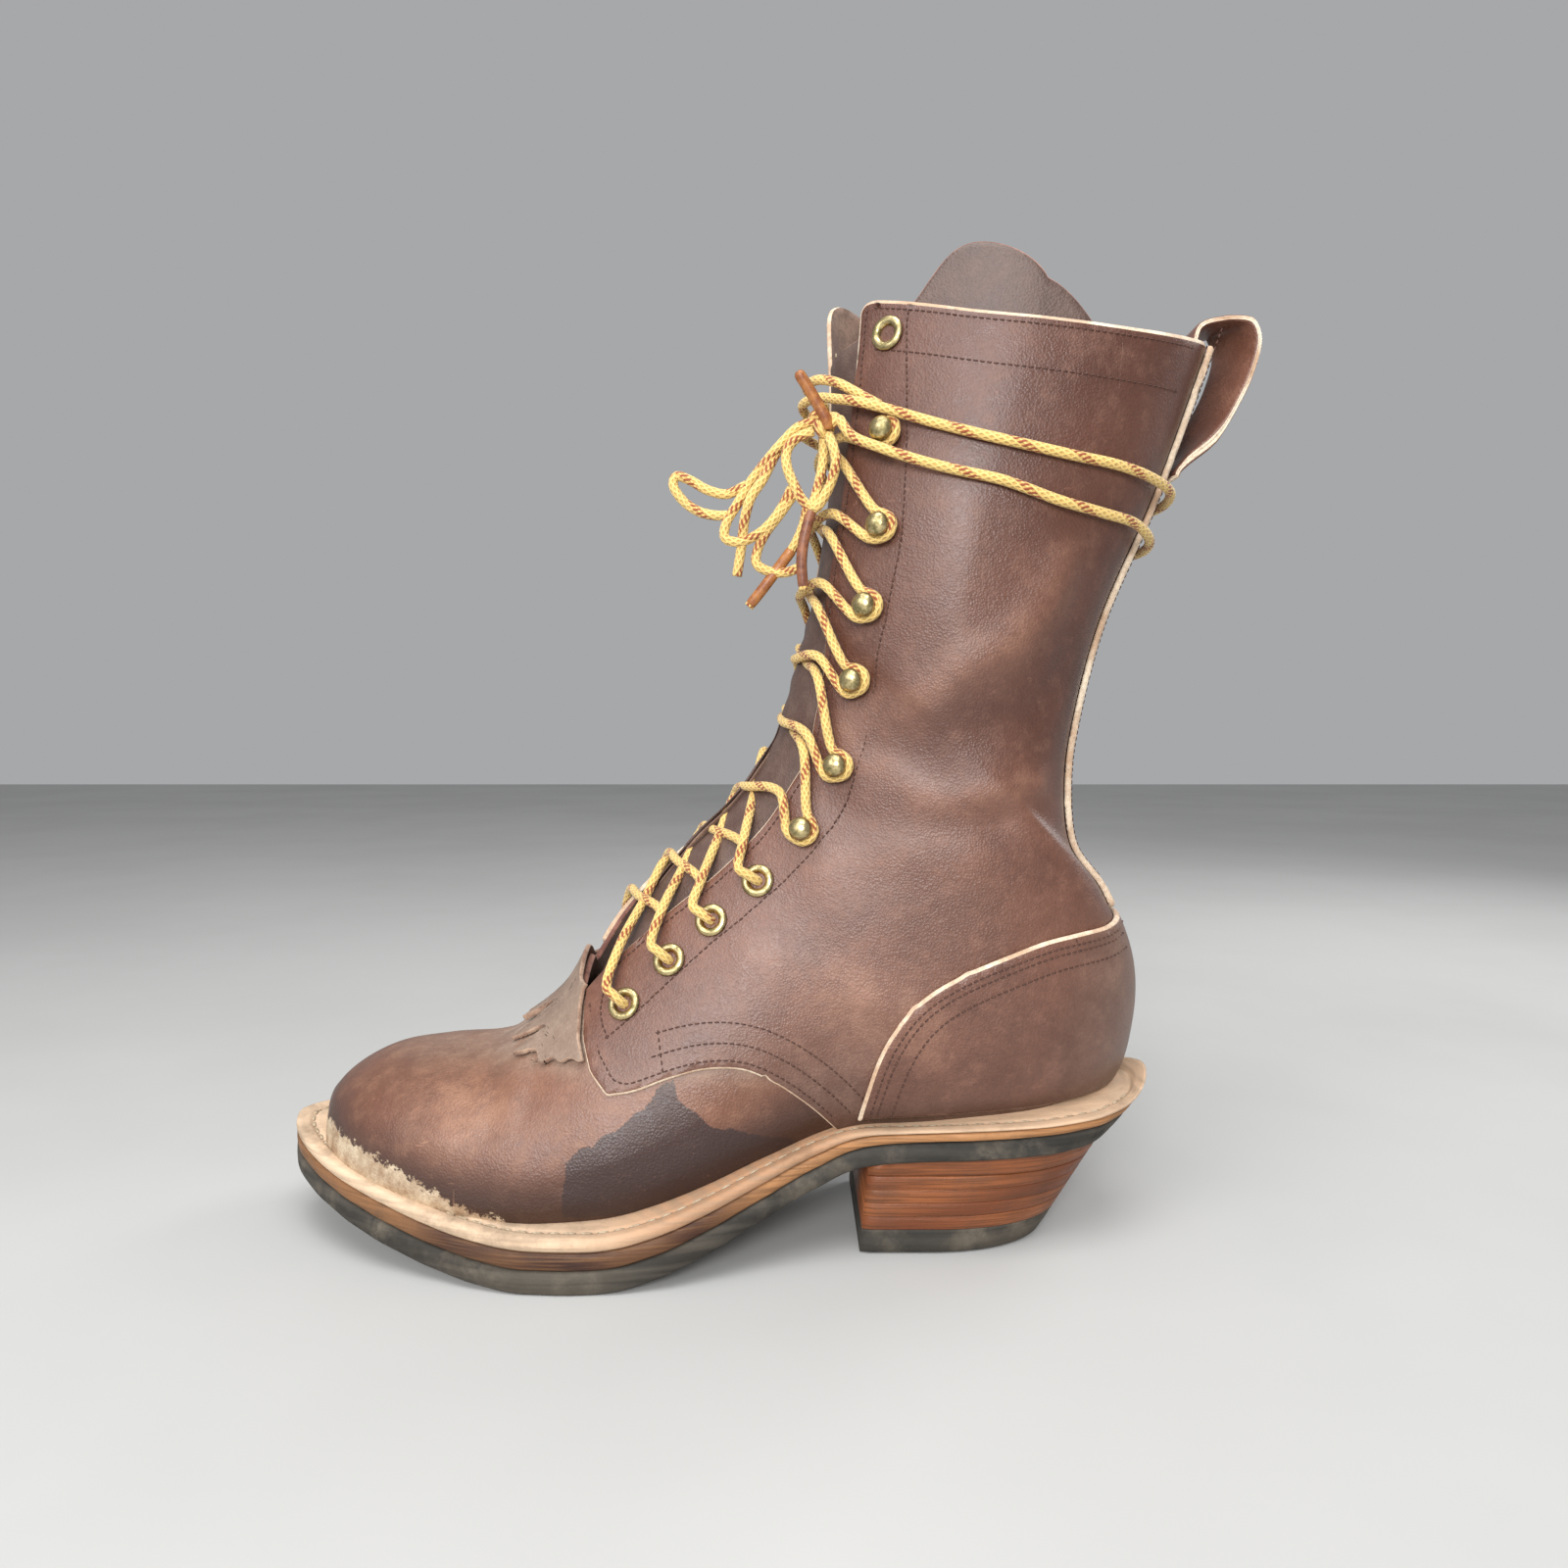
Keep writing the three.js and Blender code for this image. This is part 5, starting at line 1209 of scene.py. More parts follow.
@dataclass
class Sole:
    """The rubber outsole, leather midsole and welt, and the stacked heel."""

    profile: Profile
    outline: Outline
    finishes: Finishes
    wobble: float = 0.25

    def slant(self, height: float) -> float:
        """How far the rear edge is drawn in at a height."""
        return EDGE_SLANT * (1 - height / float(self.profile.rim(place_x(1.0))))

    def stain(self, points: Points) -> Values:
        """How far the layers are stained dark: at the ball and toe more than at the waist."""
        at = share_of(points[:, 0])
        ball = ease((at - 0.16) / 0.12) * ease((0.58 - at) / 0.1)
        return np.clip(0.45 * ease((0.3 - at) / 0.1) + ball * (0.9 + 0.1 * np.sin(at * 40)), 0, 1)

    def weathered(self, points: Points) -> Values:
        """How far the welt has gone orange: pale at the toe, darker behind the ball and light at the heel."""
        at = share_of(points[:, 0])
        waist = ease((at - 0.3) / 0.2) * ease((0.72 - at) / 0.12)
        return np.clip(0.1 + 0.75 * waist + 0.25 * ease((at - 0.6) / 0.1), 0, 1)

    def ring(self, height: Height, grow: float | Values) -> Points:
        """A ring of the edge, drawn in at the rear as far as its height there asks."""
        return self.outline.ring(height, grow, self.slant(float(height(float(place_x(1.0))))))

    def layer(
        self, name: str, low: Height, high: Height, grow: float, material: Material, rounding: float = 0.7
    ) -> Piece:
        """Makes a layer between two heights with rounded corners and a slightly uneven edge."""
        walk = np.arange(len(self.outline.line))
        uneven = self.wobble * (np.sin(walk * 0.21) * np.sin(walk * 0.083 + 1) + 0.4 * np.sin(walk * 0.9))
        steps = ((0, 2.2), (0.0, rounding), (0.13, 0.0), (0.5, -0.12), (0.87, 0.0), (1.0, rounding), (1.0, 2.2))
        points, faces = loft([self.ring(between(low, high, share), grow - inset + uneven) for share, inset in steps])
        return make_mesh(name, points, faces, [material], values={"stain": self.stain(points)})

    def welt(self) -> Piece:
        """Makes the welt: its edge, its ledge with the stitched channel, and its slope up to the upper."""
        profile = self.profile
        low = raised(profile.mid, GAP)
        rings = [self.ring(low, -2.5), self.ring(low, -0.5)]
        edge = ((0.15, 0.0), (0.5, 0.1), (0.85, -0.1))
        rings += [self.ring(between(low, profile.rim, up), grow) for up, grow in edge]
        ledge = (
            (1.3, 0.0), (2.2, 0.05), (3.8, 0.0), (4.7, -0.05), (5.3, -0.75), (6.1, -0.8), (6.7, -0.1), (8.1, 0.0),
        )  # fmt: skip
        rings += [self.outline.ring(raised(profile.rim, rise), -inset) for inset, rise in ledge]
        slope = ((10.1, 0.35), (12.6, 0.75), (15.6, 1.0), (20.6, 1.0))
        rings += [self.outline.ring(between(profile.rim, profile.crown, up), -inset) for inset, up in slope]
        points, faces = loft(rings)
        return make_mesh("welt_ledge", points, faces, [self.finishes.welt], values={"stain": self.weathered(points)})

    def heel_ring(self, z: float, inset: float = 0.0) -> Points:
        """The heel's outline at a height, with its straight breast and round rear."""
        up = z / SEAT_HEIGHT
        length = HEEL_LENGTH + (HEEL_SLANT - BREAST_RAKE) * up - inset
        half = (HEEL_WIDTH + HEEL_FLARE * up) / 2 - inset
        front = -HEEL_LENGTH / 2 + BREAST_RAKE * up + 0.3 * inset
        straight = length * 0.34
        arc = np.linspace(-math.pi / 2, math.pi / 2, 61)
        x = front + straight + (length - straight) * np.abs(np.cos(arc)) ** 0.9
        edge = np.linspace(0.0, 1.0, 9)[:-1]
        lead = np.column_stack([front + edge * straight, np.full(8, -half)])
        lead[0] += (0.0, 0.8)
        back = lead[::-1] * (1, -1)
        ring = np.vstack([lead, np.column_stack([x, half * np.sin(arc)]), back])
        return np.column_stack([ring, np.full(len(ring), z)])

    def slab(self, name: str, low: float, high: float, material: Material, worn: float = 0.5) -> Piece:
        """Makes one lift of the heel, or its cap, with worn corners."""
        steps = (
            (low, 1.6 + worn), (low, worn), (low + 0.35 * worn + 0.15, 0.25 * worn), ((low + high) / 2, 0.0),
            (high - 0.12, 0.03), (high, 0.14), (high, 2.0),
        )  # fmt: skip
        points, faces = loft([self.heel_ring(z, inset) for z, inset in steps])
        stain = 0.5 + 0.5 * np.sin(points[:, 0] * 0.07 + low)
        return make_mesh(name, points, faces, [material], values={"stain": stain})

    def top_lift(self, name: str, low: float) -> Piece:
        """Makes the uppermost lift, whose top follows the outsole's slope."""
        rings = [self.heel_ring(low, 2.1), self.heel_ring(low, 0.5), self.heel_ring(low + 0.3, 0.1)]
        for z, inset in ((30.5, -0.1), (33.0, 0.0), (36.0, 0.2), (42.0, 0.6), (42.0, 4.0)):
            ring = self.heel_ring(z, inset)
            ring[:, 2] = np.minimum(ring[:, 2], self.profile.bottom(ring[:, 0]) - 0.1)
            rings.append(ring)
        points, faces = loft(rings)
        return make_mesh(name, points, faces, [self.finishes.stack], values={"stain": np.full(len(points), 0.3)})

    def build(self) -> None:
        """Makes every piece of the sole and heel."""
        f, profile = self.finishes, self.profile
        outsole = self.layer("outsole_rubber", np.zeros_like, profile.rubber, -0.2, f.rubber, 0.9)
        stands_for(outsole, "rubber", "outsole")
        midsole = self.layer("midsole_layer", raised(profile.rubber, GAP), profile.mid, -0.3, f.midsole, 0.6)
        stands_for(midsole, "sole_leather", "midsole")
        stands_for(self.welt(), "sole_leather", "welt")
        stands_for(self.slab("heel_top_piece", 0.0, HEEL_CAP - 0.1, f.rubber, 1.6), "rubber", "heel_cap")
        step = (SEAT_HEIGHT - HEEL_CAP) / LIFT_COUNT
        for i in range(LIFT_COUNT - 1):
            low = HEEL_CAP + i * step
            lift = self.slab(f"stacked_lift_{i + 1}", low + 0.05, low + step - 0.05, f.stack, 0.12)
            stands_for(lift, "stacked_leather", f"heel_lift_{i + 1}")
        top = self.top_lift(f"stacked_lift_{LIFT_COUNT}", SEAT_HEIGHT - step + 0.05)
        stands_for(top, "stacked_leather", f"heel_lift_{LIFT_COUNT}")
        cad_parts["insole"].data.materials.clear()
        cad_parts["insole"].data.materials.append(f.board)
        log.info("sole made")


@dataclass
class StitchRow:
    """Rows of stitches made by a node tree that sets one grain of thread at each step of a line.

    Attributes:
        pitch: the distance from stitch to stitch.
        length: how long one stitch is.
        thickness: how thick its thread is.
    """

    material: Material
    pitch: float = 2.7
    length: float = 2.1
    thickness: float = 0.55

    def tree(self) -> Tree:
        """Builds the node tree with its named inputs."""
        kinds = {"Pitch": "Float", "Length": "Float", "Thickness": "Float", "Material": "Material"}
        tree, given = start_tree("stitch_row", **kinds)
        curve = add_node(tree, "GeometryNodeMeshToCurve", Mesh=given["Geometry"])
        even = add_node(
            tree, "GeometryNodeResampleCurve", mode="LENGTH", Curve=curve.outputs[0], Length=given["Pitch"]
        )
        tangent = add_node(tree, "GeometryNodeInputTangent")
        turned = add_node(tree, "FunctionNodeAlignRotationToVector", axis="X", Vector=tangent.outputs[0])
        grain = add_node(tree, "GeometryNodeMeshUVSphere", Segments=6, Rings=4, Radius=0.5)
        size = add_node(tree, "ShaderNodeCombineXYZ", X=given["Length"], Y=given["Thickness"], Z=given["Thickness"])
        put = add_node(
            tree, "GeometryNodeInstanceOnPoints", Points=even.outputs[0], Instance=grain.outputs["Mesh"],
            Rotation=turned.outputs[0], Scale=size.outputs[0],
        )  # fmt: skip
        return end_tree(tree, put, given["Material"])

    def sew(self, name: str, lines: Sequence[Points]) -> Piece:
        """Sews along lines of points.

        Args:
            name: the piece's name.
            lines: the lines, in millimetres.

        Returns:
            The stitches as one plain mesh.
        """
        points = np.vstack(lines)
        edges, first = [], 0
        for line in lines:
            edges += [(first + i, first + i + 1) for i in range(len(line) - 1)]
            first += len(line)
        guide = bpy.data.meshes.new(name + "_guide")
        guide.from_pydata((points * MM).tolist(), edges, [])
        values = {"Pitch": self.pitch * MM, "Length": self.length * MM, "Thickness": self.thickness * MM}
        return run_tree(name, guide, self.tree(), {**values, "Material": self.material})


def run_tree(name: str, guide: bpy.types.Mesh, tree: Tree, values: dict[str, object]) -> Piece:
    """Runs a node tree on a guide mesh and keeps its result as a plain mesh.

    Args:
        name: the piece's name.
        guide: the mesh that the tree starts from.
        tree: the node tree.
        values: its inputs by name.

    Returns:
        The new object, riding on the boot's body.
    """
    holder = placed(name + "_holder", guide)
    modifier = holder.modifiers.new("tree", "NODES")
    modifier.node_group = tree
    for item in tree.interface.items_tree:
        if item.in_out == "INPUT" and item.name in values:
            modifier[item.identifier] = values[item.name]
    holder.update_tag()
    graph = bpy.context.evaluated_depsgraph_get()
    mesh = bpy.data.meshes.new_from_object(holder.evaluated_get(graph))
    mesh.name = name
    holder.modifiers.remove(modifier)
    bpy.data.objects.remove(holder)
    bpy.data.meshes.remove(guide)
    bpy.data.node_groups.remove(tree)
    obj = placed(name, mesh)
    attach(obj, BODY)
    return obj


@dataclass
class Upper:
    """The leather upper with its overlays, tongue, kiltie and pull loop."""

    skin: Skin
    finishes: Finishes
    step: float = 0.1

    def __post_init__(self) -> None:
        """Works out the lines of the side view that the pieces are cut to."""
        seat = self.skin.seat_top
        self.lap = np.array([(place_x(at), up * INSTEP_HEIGHT) for at, up in LAP_LINE])
        self.lap = np.vstack([self.lap[:3], smooth_line(self.lap[3:], 60)])
        counter = np.array([(place_x(at), seat + up * SHAFT_HEIGHT) for at, up in COUNTER_LINE])
        self.counter_line = smooth_line(counter, 70)
        top = seat + SHAFT_HEIGHT
        self.collar = smooth_line(np.array([(place_x(at), top + up * COLLAR_DIP) for at, up in COLLAR_LINE]), 80)

    def side_view(self, patch: Patch) -> Points:
        """The patch's points in the side view."""
        return self.skin.point(patch.t, patch.turn)[:, [0, 2]]

    def over_welt(self, patch: Patch, under: float) -> Values:
        """How far each point lies over the hidden line below the welt's top."""
        p = self.side_view(patch)
        return p[:, 1] - self.skin.profile.top(p[:, 0]) + under

    def below_collar(self, patch: Patch) -> Values:
        """How far each point lies under the collar's line."""
        p = self.side_view(patch)
        return np.interp(p[:, 0], self.collar[:, 0], self.collar[:, 1]) - p[:, 1]

    def behind_lap(self, patch: Patch, forward: float = 0.0) -> Values:
        """How far each point lies behind the line where the quarters lap over the vamp."""
        front = self.lap - forward
        far, high = place_x(1.3), self.skin.seat_top + 1.4 * SHAFT_HEIGHT
        corners = [(place_x(0.66) - forward, 0), (far, 0), (far, high), (place_x(0.357) - forward, high)]
        return inside(self.side_view(patch), np.vstack([front, corners]))

    def beside_throat(self, patch: Patch, side: Side) -> Values:
        """How far each point of the front lies outside the throat."""
        p = self.skin.point(patch.t, patch.turn)
        off = side.value * (p[:, 1] - THROAT_MIDDLE) - THROAT_GAP / 2
        return np.where(np.abs(patch.turn - math.pi) < 1.35, off, 50.0)

    def side_line(self, places: Points, side: Side, off: float) -> Points:
        """A line of the side view laid on the skin at a distance from it."""
        spots = np.array([self.skin.find(x, z, side) for x, z in places])
        return self.skin.off(spots[:, 0], spots[:, 1], np.full(len(spots), off))

    def folds(self, patch: Patch, table: Sequence[tuple], side: Side) -> tuple[Values, Values]:
        """The soft folds of a piece.

        Args:
            patch: the piece's part of the skin.
            table: the folds as side-view places with a height and a breadth.
            side: the side they are on.

        Returns:
            How far each point stands proud, and how much it lies on a ridge.
        """
        p = self.skin.point(patch.t, patch.turn)
        height, ridge = np.zeros(len(p)), np.zeros(len(p))
        for places, high, wide in table:
            line = self.side_line(smooth_line(np.array(places, float), 12), side, 0.0)
            near = np.exp(-((distance_to(p, line) / wide) ** 2))
            height += high * near
            ridge += max(high, 0) * near
        return height, ridge

    def vamp(self) -> Piece:
        """Makes the vamp from the toe to under the quarters."""
        rows = np.unique(np.r_[np.linspace(0, 1, 16), np.arange(1, 10.6, self.step)])
        patch = Patch.grid(rows, np.linspace(0, 2 * math.pi, 190))
        patch = patch.cut(lambda q: self.over_welt(q, UNDER_WELT))
        patch = patch.cut(lambda q: LAP_UNDER - self.behind_lap(q))

        def throat(q: Patch) -> Values:
            """How far each point lies outside the opening of the throat."""
            off = np.abs(self.skin.point(q.t, q.turn)[:, 1] - THROAT_MIDDLE) - THROAT_GAP / 2
            return np.where(np.abs(q.turn - math.pi) < 1.2, np.maximum((THROAT_ROW - q.t) * 14, off), 50)

        patch = patch.cut(throat).welded(self.skin)
        p = self.skin.point(patch.t, patch.turn)
        over = p[:, 2] - self.skin.profile.top(p[:, 0])
        folds, ridge = self.folds(patch, VAMP_FOLDS, Side.OUTER)
        inner_folds, _ = self.folds(patch, VAMP_FOLDS, Side.INNER)
        spill = np.where(p[:, 1] < 0, inside(p[:, [0, 2]], np.array(STAIN, float)), -20)
        # A painted highlight: a soft patch of light on the vamp's side, put into the number light.
        painted_highlight = np.exp(-(((p[:, 0] + 166) / 16) ** 2) - ((p[:, 2] - 52) / 13) ** 2)
        values = {
            # Lighter further above the welt, lighter along the fold ridges as pulled-up leather with a painted
            # highlight, and the painted highlight patch.
            "light": np.clip(0.22 * ease((over - 8) / 25) + 0.42 * painted_highlight + 0.3 * ridge, 0, 1),
            # Painted shade where the vamp meets the welt, and darker at the toe's tip.
            "dark": 0.95 * ease((24 - over) / 20) * ease(patch.t / 2) + 0.35 * ease((-205 - p[:, 0]) / 22),
            "frayed": np.clip(10 + 7.5 * ease((-150 - p[:, 0]) / 45) - over, 0, 20) * ease((-140 - p[:, 0]) / 12),
            "dust": 0.85 * ease((p[:, 2] - 60) / 14) * ease((p[:, 0] + 222) / 25),
            "spill": np.clip(10 + spill, 0, 20),
        }
        ripple = 0.15 * np.sin(patch.t * 5.1 + 2 * patch.turn) * ease((patch.t - 3.5) / 1.5) * ease((over - 6) / 12)
        vamp = Leather(self.skin, patch, -LAP_STEP, -LAP_STEP - VAMP_WALL)
        made = vamp.build("vamp", self.finishes.vamp_set, folds + inner_folds + ripple, values)
        return stands_for(made, "upper_leather", "upper")

    def quarter(self, side: Side) -> Piece:
        """Makes one quarter with the shaft's half above it."""
        rows = np.arange(5.0, 23.01, self.step)
        half = np.linspace(0, math.pi, 100)
        patch = Patch.grid(rows, half if side is Side.OUTER else 2 * math.pi - half[::-1])
        patch = patch.cut(self.behind_lap)
        patch = patch.cut(lambda q: self.over_welt(q, UNDER_WELT))
        corner, rise = (5.0, 0.0) if side is Side.OUTER else (11.0, FAR_CORNER_RISE)

        def front_and_top(q: Patch) -> Values:
            """How far each point lies within the quarter's front edge and the collar."""
            lift = rise * ease((-8 - self.side_view(q)[:, 0]) / 18)
            return rounded(self.beside_throat(q, side), self.below_collar(q) + lift, corner)

        patch = patch.cut(front_and_top).welded(self.skin)
        p = self.skin.point(patch.t, patch.turn)
        over = p[:, 2] - self.skin.profile.top(p[:, 0])
        leg = ease((p[:, 2] - 125) / 60)
        folds, ridge = self.folds(patch, FOLDS, side)
        front = ease((np.abs(patch.turn - math.pi) - 1.25) / 0.5)
        # A painted highlight: a soft patch of sheen low on the quarter, put into the number light.
        patchy = np.exp(-(((p[:, 0] + 34) / 20) ** 2) - ((p[:, 2] - 90) / 12) ** 2)
        values = {
            # Lighter above the welt on the foot, lighter along the fold ridges as pulled-up leather with a painted
            # highlight, and the painted highlight patch.
            "light": np.clip(0.22 * (1 - leg) * ease((over - 6) / 20) + 0.3 * ridge + 0.35 * patchy, 0, 1),
            # Painted shade just above the welt, and a little darker up the leg.
            "dark": 0.4 * ease((8 - over) / 8) + 0.12 * leg,
            "dust": 0.12 * (1 - leg) * ease((70 - over) / 60),
        }
        relief = folds * (0.35 + 0.65 * front)
        edge_high = ease((p[:, 2] - 295) / 10)
        quarter = Leather(self.skin, patch, 0.0, -QUARTER_WALL, 0.55 + 0.75 * edge_high)
        made = quarter.build(side.name.lower() + "_quarter", self.finishes.shaft_set, relief, values)
        return stands_for(made, "upper_leather")

    def counter(self) -> Piece:
        """Makes the counter round the heel."""
        rows = np.arange(8.0, 17.5, self.step)
        patch = Patch.grid(rows, np.linspace(-2.2, 2.2, 150))
        corners = [(place_x(1.1), self.counter_line[-1, 1] + 2), (place_x(1.1), 0), (place_x(0.64), 0)]
        line = np.vstack([self.counter_line, corners])
        patch = patch.cut(lambda q: inside(self.side_view(q), line))
        patch = patch.cut(lambda q: self.over_welt(q, -GAP)).welded(self.skin)
        p = self.skin.point(patch.t, patch.turn)
        over = p[:, 2] - self.skin.profile.top(p[:, 0])
        # A painted highlight: a soft patch of light on the counter, put into the number light.
        painted_highlight = np.exp(-(((p[:, 0] + 12) / 12) ** 2) - ((p[:, 2] - 76) / 9) ** 2)
        values = {
            # An even lightening and the painted highlight patch.
            "light": 0.22 + 0.5 * painted_highlight,
            # Painted shade just above the welt.
            "dark": 0.6 * ease((9 - over) / 9),
            "dust": 0.25 * ease((p[:, 0] - 25) / 40),
        }
        counter = Leather(self.skin, patch, GAP + COUNTER_WALL, GAP, 1.0)
        made = counter.build("counter_leather", self.finishes.shaft_set, 0.0, values)
        return stands_for(made, "upper_leather", "counter")

    def back_stay(self) -> Piece:
        """Makes the strip up the back seam."""
        low = self.skin.seat_top + STAY_FOOT * SHAFT_HEIGHT
        patch = Patch.grid(np.arange(14.0, 23.0, self.step), np.linspace(-0.6, 0.6, 60))

        def strip(q: Patch) -> Values:
            """How far each point lies within the strip and above its foot."""
            p = self.skin.point(q.t, q.turn)
            base = low + np.interp(p[:, 0], place_x(np.array([0.8, 0.928, 1.1])), [1, 1.3, 10.7])
            return np.minimum(STAY_WIDTH / 2 - np.abs(p[:, 1]), p[:, 2] - base)

        patch = patch.cut(strip).cut(self.below_collar).welded(self.skin)
        stay = Leather(self.skin, patch, GAP + STAY_WALL, GAP, 1.1)
        wear = same_wear(len(patch.t), 0.25, 0.0, 0.0)
        made = stay.build("back_stay_leather", self.finishes.shaft_set, 0.0, wear)
        return stands_for(made, "upper_leather", "back_stay")

    def tongue(self) -> Piece:
        """Makes the tongue, which turns to the outer side and stands out over the collar."""
        end = named(
            "at row",
            [
                (-1, 21.8), (-0.88, 22.0), (-0.74, 22.3), (-0.6, 22.55), (-0.48, 22.7), (-0.38, 22.75),
                (-0.28, 22.73), (-0.22, 22.6), (-0.16, 22.1), (-0.08, 21.9), (1, 21.5),
            ],
        )  # fmt: skip
        s = np.linspace(-1, 1, 70)
        share = np.linspace(0, 1, 170)[:, None]
        first = THROAT_ROW - 0.6
        last = look_up(end, "row", s)
        for _ in range(14):
            last[1:-1] = (last[:-2] + 2 * last[1:-1] + last[2:]) / 4
        rows = first + share * (last - first)
        turns = math.pi - TONGUE_TURN * ease((rows - 13) / 9) + s * (0.6 + TONGUE_SPREAD * ease((rows - 6) / 16))
        patch = Patch.grid(np.arange(170), s)
        patch.t, patch.turn = rows.ravel(), turns.ravel()
        outer = -LAP_STEP - VAMP_WALL - 3 * GAP
        across = np.tile(s, 170)
        ripple = 0.5 * np.sin(patch.t * 4.4 + 3 * across) * np.cos(2.5 * across)
        sunk = np.cos(across * math.pi / 2) ** 2 * ease((12.5 - patch.t) / 3) * ease((patch.t - 5.2) / 1.2)
        sunk = TONGUE_DENT * sunk
        tongue = Leather(self.skin, patch, outer - sunk, outer - TONGUE_WALL - sunk)
        wear = same_wear(len(patch.t), 0.2, 0.15, 0.1)
        made = tongue.build("tongue_leather", self.finishes.tongue_set, ripple * 0.6, wear)
        return stands_for(made, "soft_leather", "tongue")

    def above_fringe(self, patch: Patch) -> Values:
        """How far each point lies over the kiltie's lower side edge."""
        p = self.side_view(patch)
        low = np.interp(p[:, 0], [-146, -138, -121, -110], [66, 67.5, 69.5, 74])
        return p[:, 1] - low - 0.5 * np.sin(p[:, 0] * 0.9)

    def kiltie(self) -> Piece:
        """Makes the kiltie with its cut fringe, on the vamp before the throat."""
        s = np.linspace(-1, 1, 265)
        finger = (s + 1) / 2 * KILTIE_FINGERS
        phase = np.abs(2 * (finger % 1) - 1)
        ragged = 0.5 + 0.5 * np.sin(np.floor(finger) * 2.4)
        first = 5.28 + 0.1 * ragged + 0.5 * phase**1.2 + 0.18 * s * s
        last = 6.42 + 0.9 * ease((np.abs(s) - 0.25) / 0.5)
        share = np.linspace(0, 1, 40)[:, None]
        rows = first + share * (last - first)
        patch = Patch.grid(np.arange(40), s)
        spread = 0.84 + 0.5 * ease((rows - 5.75) / 0.45)
        patch.t, patch.turn = rows.ravel(), (math.pi - 0.05 + s * spread).ravel()

        def before_quarters(q: Patch) -> Values:
            """How far each point lies before the quarters or within the throat."""
            off = np.abs(self.skin.point(q.t, q.turn)[:, 1] - THROAT_MIDDLE)
            return np.maximum(-self.behind_lap(q, 0.4), THROAT_GAP / 2 - 0.4 - off)

        patch = patch.cut(before_quarters).cut(self.above_fringe).welded(self.skin)
        low = -LAP_STEP + 0.5 + KILTIE_PUFF * ease((patch.t - 5.9) / 1.3)
        which = np.floor((patch.turn - math.pi + 0.89) / 1.68 * KILTIE_FINGERS)
        lifted = ease((6.0 - patch.t) / 0.6) * (0.5 + 0.5 * np.sin(which * 2.4))
        kiltie = Leather(self.skin, patch, low + KILTIE_WALL, low, 0.35)
        wear = same_wear(len(patch.t), 0.5, 0.0, 0.3)
        made = kiltie.build("kiltie_leather", self.finishes.kiltie_set, lifted + 0.25 * np.sin(patch.turn * 9), wear)
        return stands_for(made, "soft_leather", "kiltie")

    def back_at(self, z: float, off: float) -> Points:
        """The place of the back line at a height, a distance off the skin."""
        rows = np.linspace(15, 23, 400)
        line = self.skin.point(rows, 0.0)
        row = float(np.interp(z, line[:, 2], rows))
        place = self.skin.off(row, 0.0, off)
        return place[[0, 2]]

    def pull_loop(self) -> Piece:
        """Makes the doubled strap that is sewn inside the collar, goes over it and down to the stay."""
        top = self.skin.seat_top + SHAFT_HEIGHT - 0.8 * COLLAR_DIP
        half = STAY_WALL / 2
        inside_wall = -QUARTER_WALL - 1.3 * STAY_WALL - half
        outside = 2 * GAP + STAY_WALL + half
        rim = self.back_at(top, 0.0)
        back_line = np.array([self.back_at(z, 0.0) for z in np.linspace(top - 70, top, 40)])
        over = ((0.2, 0.9), (0.75, 0.9), (1.0, 0.3))
        hanging = ((0.13, 1.0), (0.38, 0.9), (0.65, 0.68), (0.86, 0.4))
        path = [self.back_at(top + up, inside_wall) for up in (-22, -12, -2, 0.45 * LOOP_RISE)]
        path += [rim + (out * LOOP_BULGE, up * LOOP_RISE) for out, up in over]
        path += [self.back_at(top - down * LOOP_DEPTH, out * LOOP_BULGE) for down, out in hanging]
        path += [self.back_at(top - down * LOOP_DEPTH, outside) for down in (0.92, 0.96)]
        line = smooth_line(np.array(path), 110)
        ahead = unit(np.gradient(line, axis=0))
        side = np.column_stack([-ahead[:, 1], ahead[:, 0]])
        wide = LOOP_WIDTH / 2 * (1 + 0.02 * np.sin(np.linspace(0, 9, len(line))))
        section = [
            (-1.0, 0.55), (-0.97, 0.85), (-0.9, 1.0), (-0.5, 0.96), (0, 0.93), (0.5, 0.96), (0.9, 1.0),
            (0.97, 0.85), (1.0, 0.55), (1.0, 0.08), (0.965, 0.0), (1.0, -0.08),
        ]  # fmt: skip
        section += [(-u, -v) for u, v in section]
        points = np.array([
            [(p[0] + q[0] * v * half, w * u, p[1] + q[1] * v * half) for u, v in section]
            for p, q, w in zip(line, side, wide)
        ])  # fmt: skip
        m, n = points.shape[:2]
        i = np.arange(m * n).reshape(m, n).tolist()
        edges = (8, 9, 10, 11, 20, 21, 22, 23)
        faces, slots = [], []
        for low, high in zip(i[:-1], i[1:]):
            for c in range(n):
                faces.append([low[c], low[(c + 1) % n], high[(c + 1) % n], high[c]])
                slots.append(int(c in edges))
        faces += [i[0][::-1], i[-1]]
        slots += [1, 1]
        clear = points[:, :, 0] - np.interp(points[:, :, 2], back_line[:, 1], back_line[:, 0])
        points[:, :, 0] -= LOOP_TWIST * points[:, :, 1] * ease((clear - 5.0) / 5.0)
        flat = points.reshape(-1, 3)
        volume = sum(np.dot(flat[f[0]], np.cross(flat[f[1]], flat[f[2]])) for f in faces[:-2])
        if volume < 0:
            faces = [f[::-1] for f in faces]
        wear = same_wear(m * n, 0.3, 0.0, 0.0)
        made = make_mesh("pull_loop_strap", flat, faces, self.finishes.shaft_set[:2], slots, wear)
        return stands_for(made, "upper_leather", "pull_loop")

    def build(self) -> None:
        """Makes every leather piece of the upper."""
        self.vamp()
        for side in Side:
            self.quarter(side)
        self.counter()
        self.back_stay()
        self.tongue()
        self.kiltie()
        self.pull_loop()
        log.info("upper made")


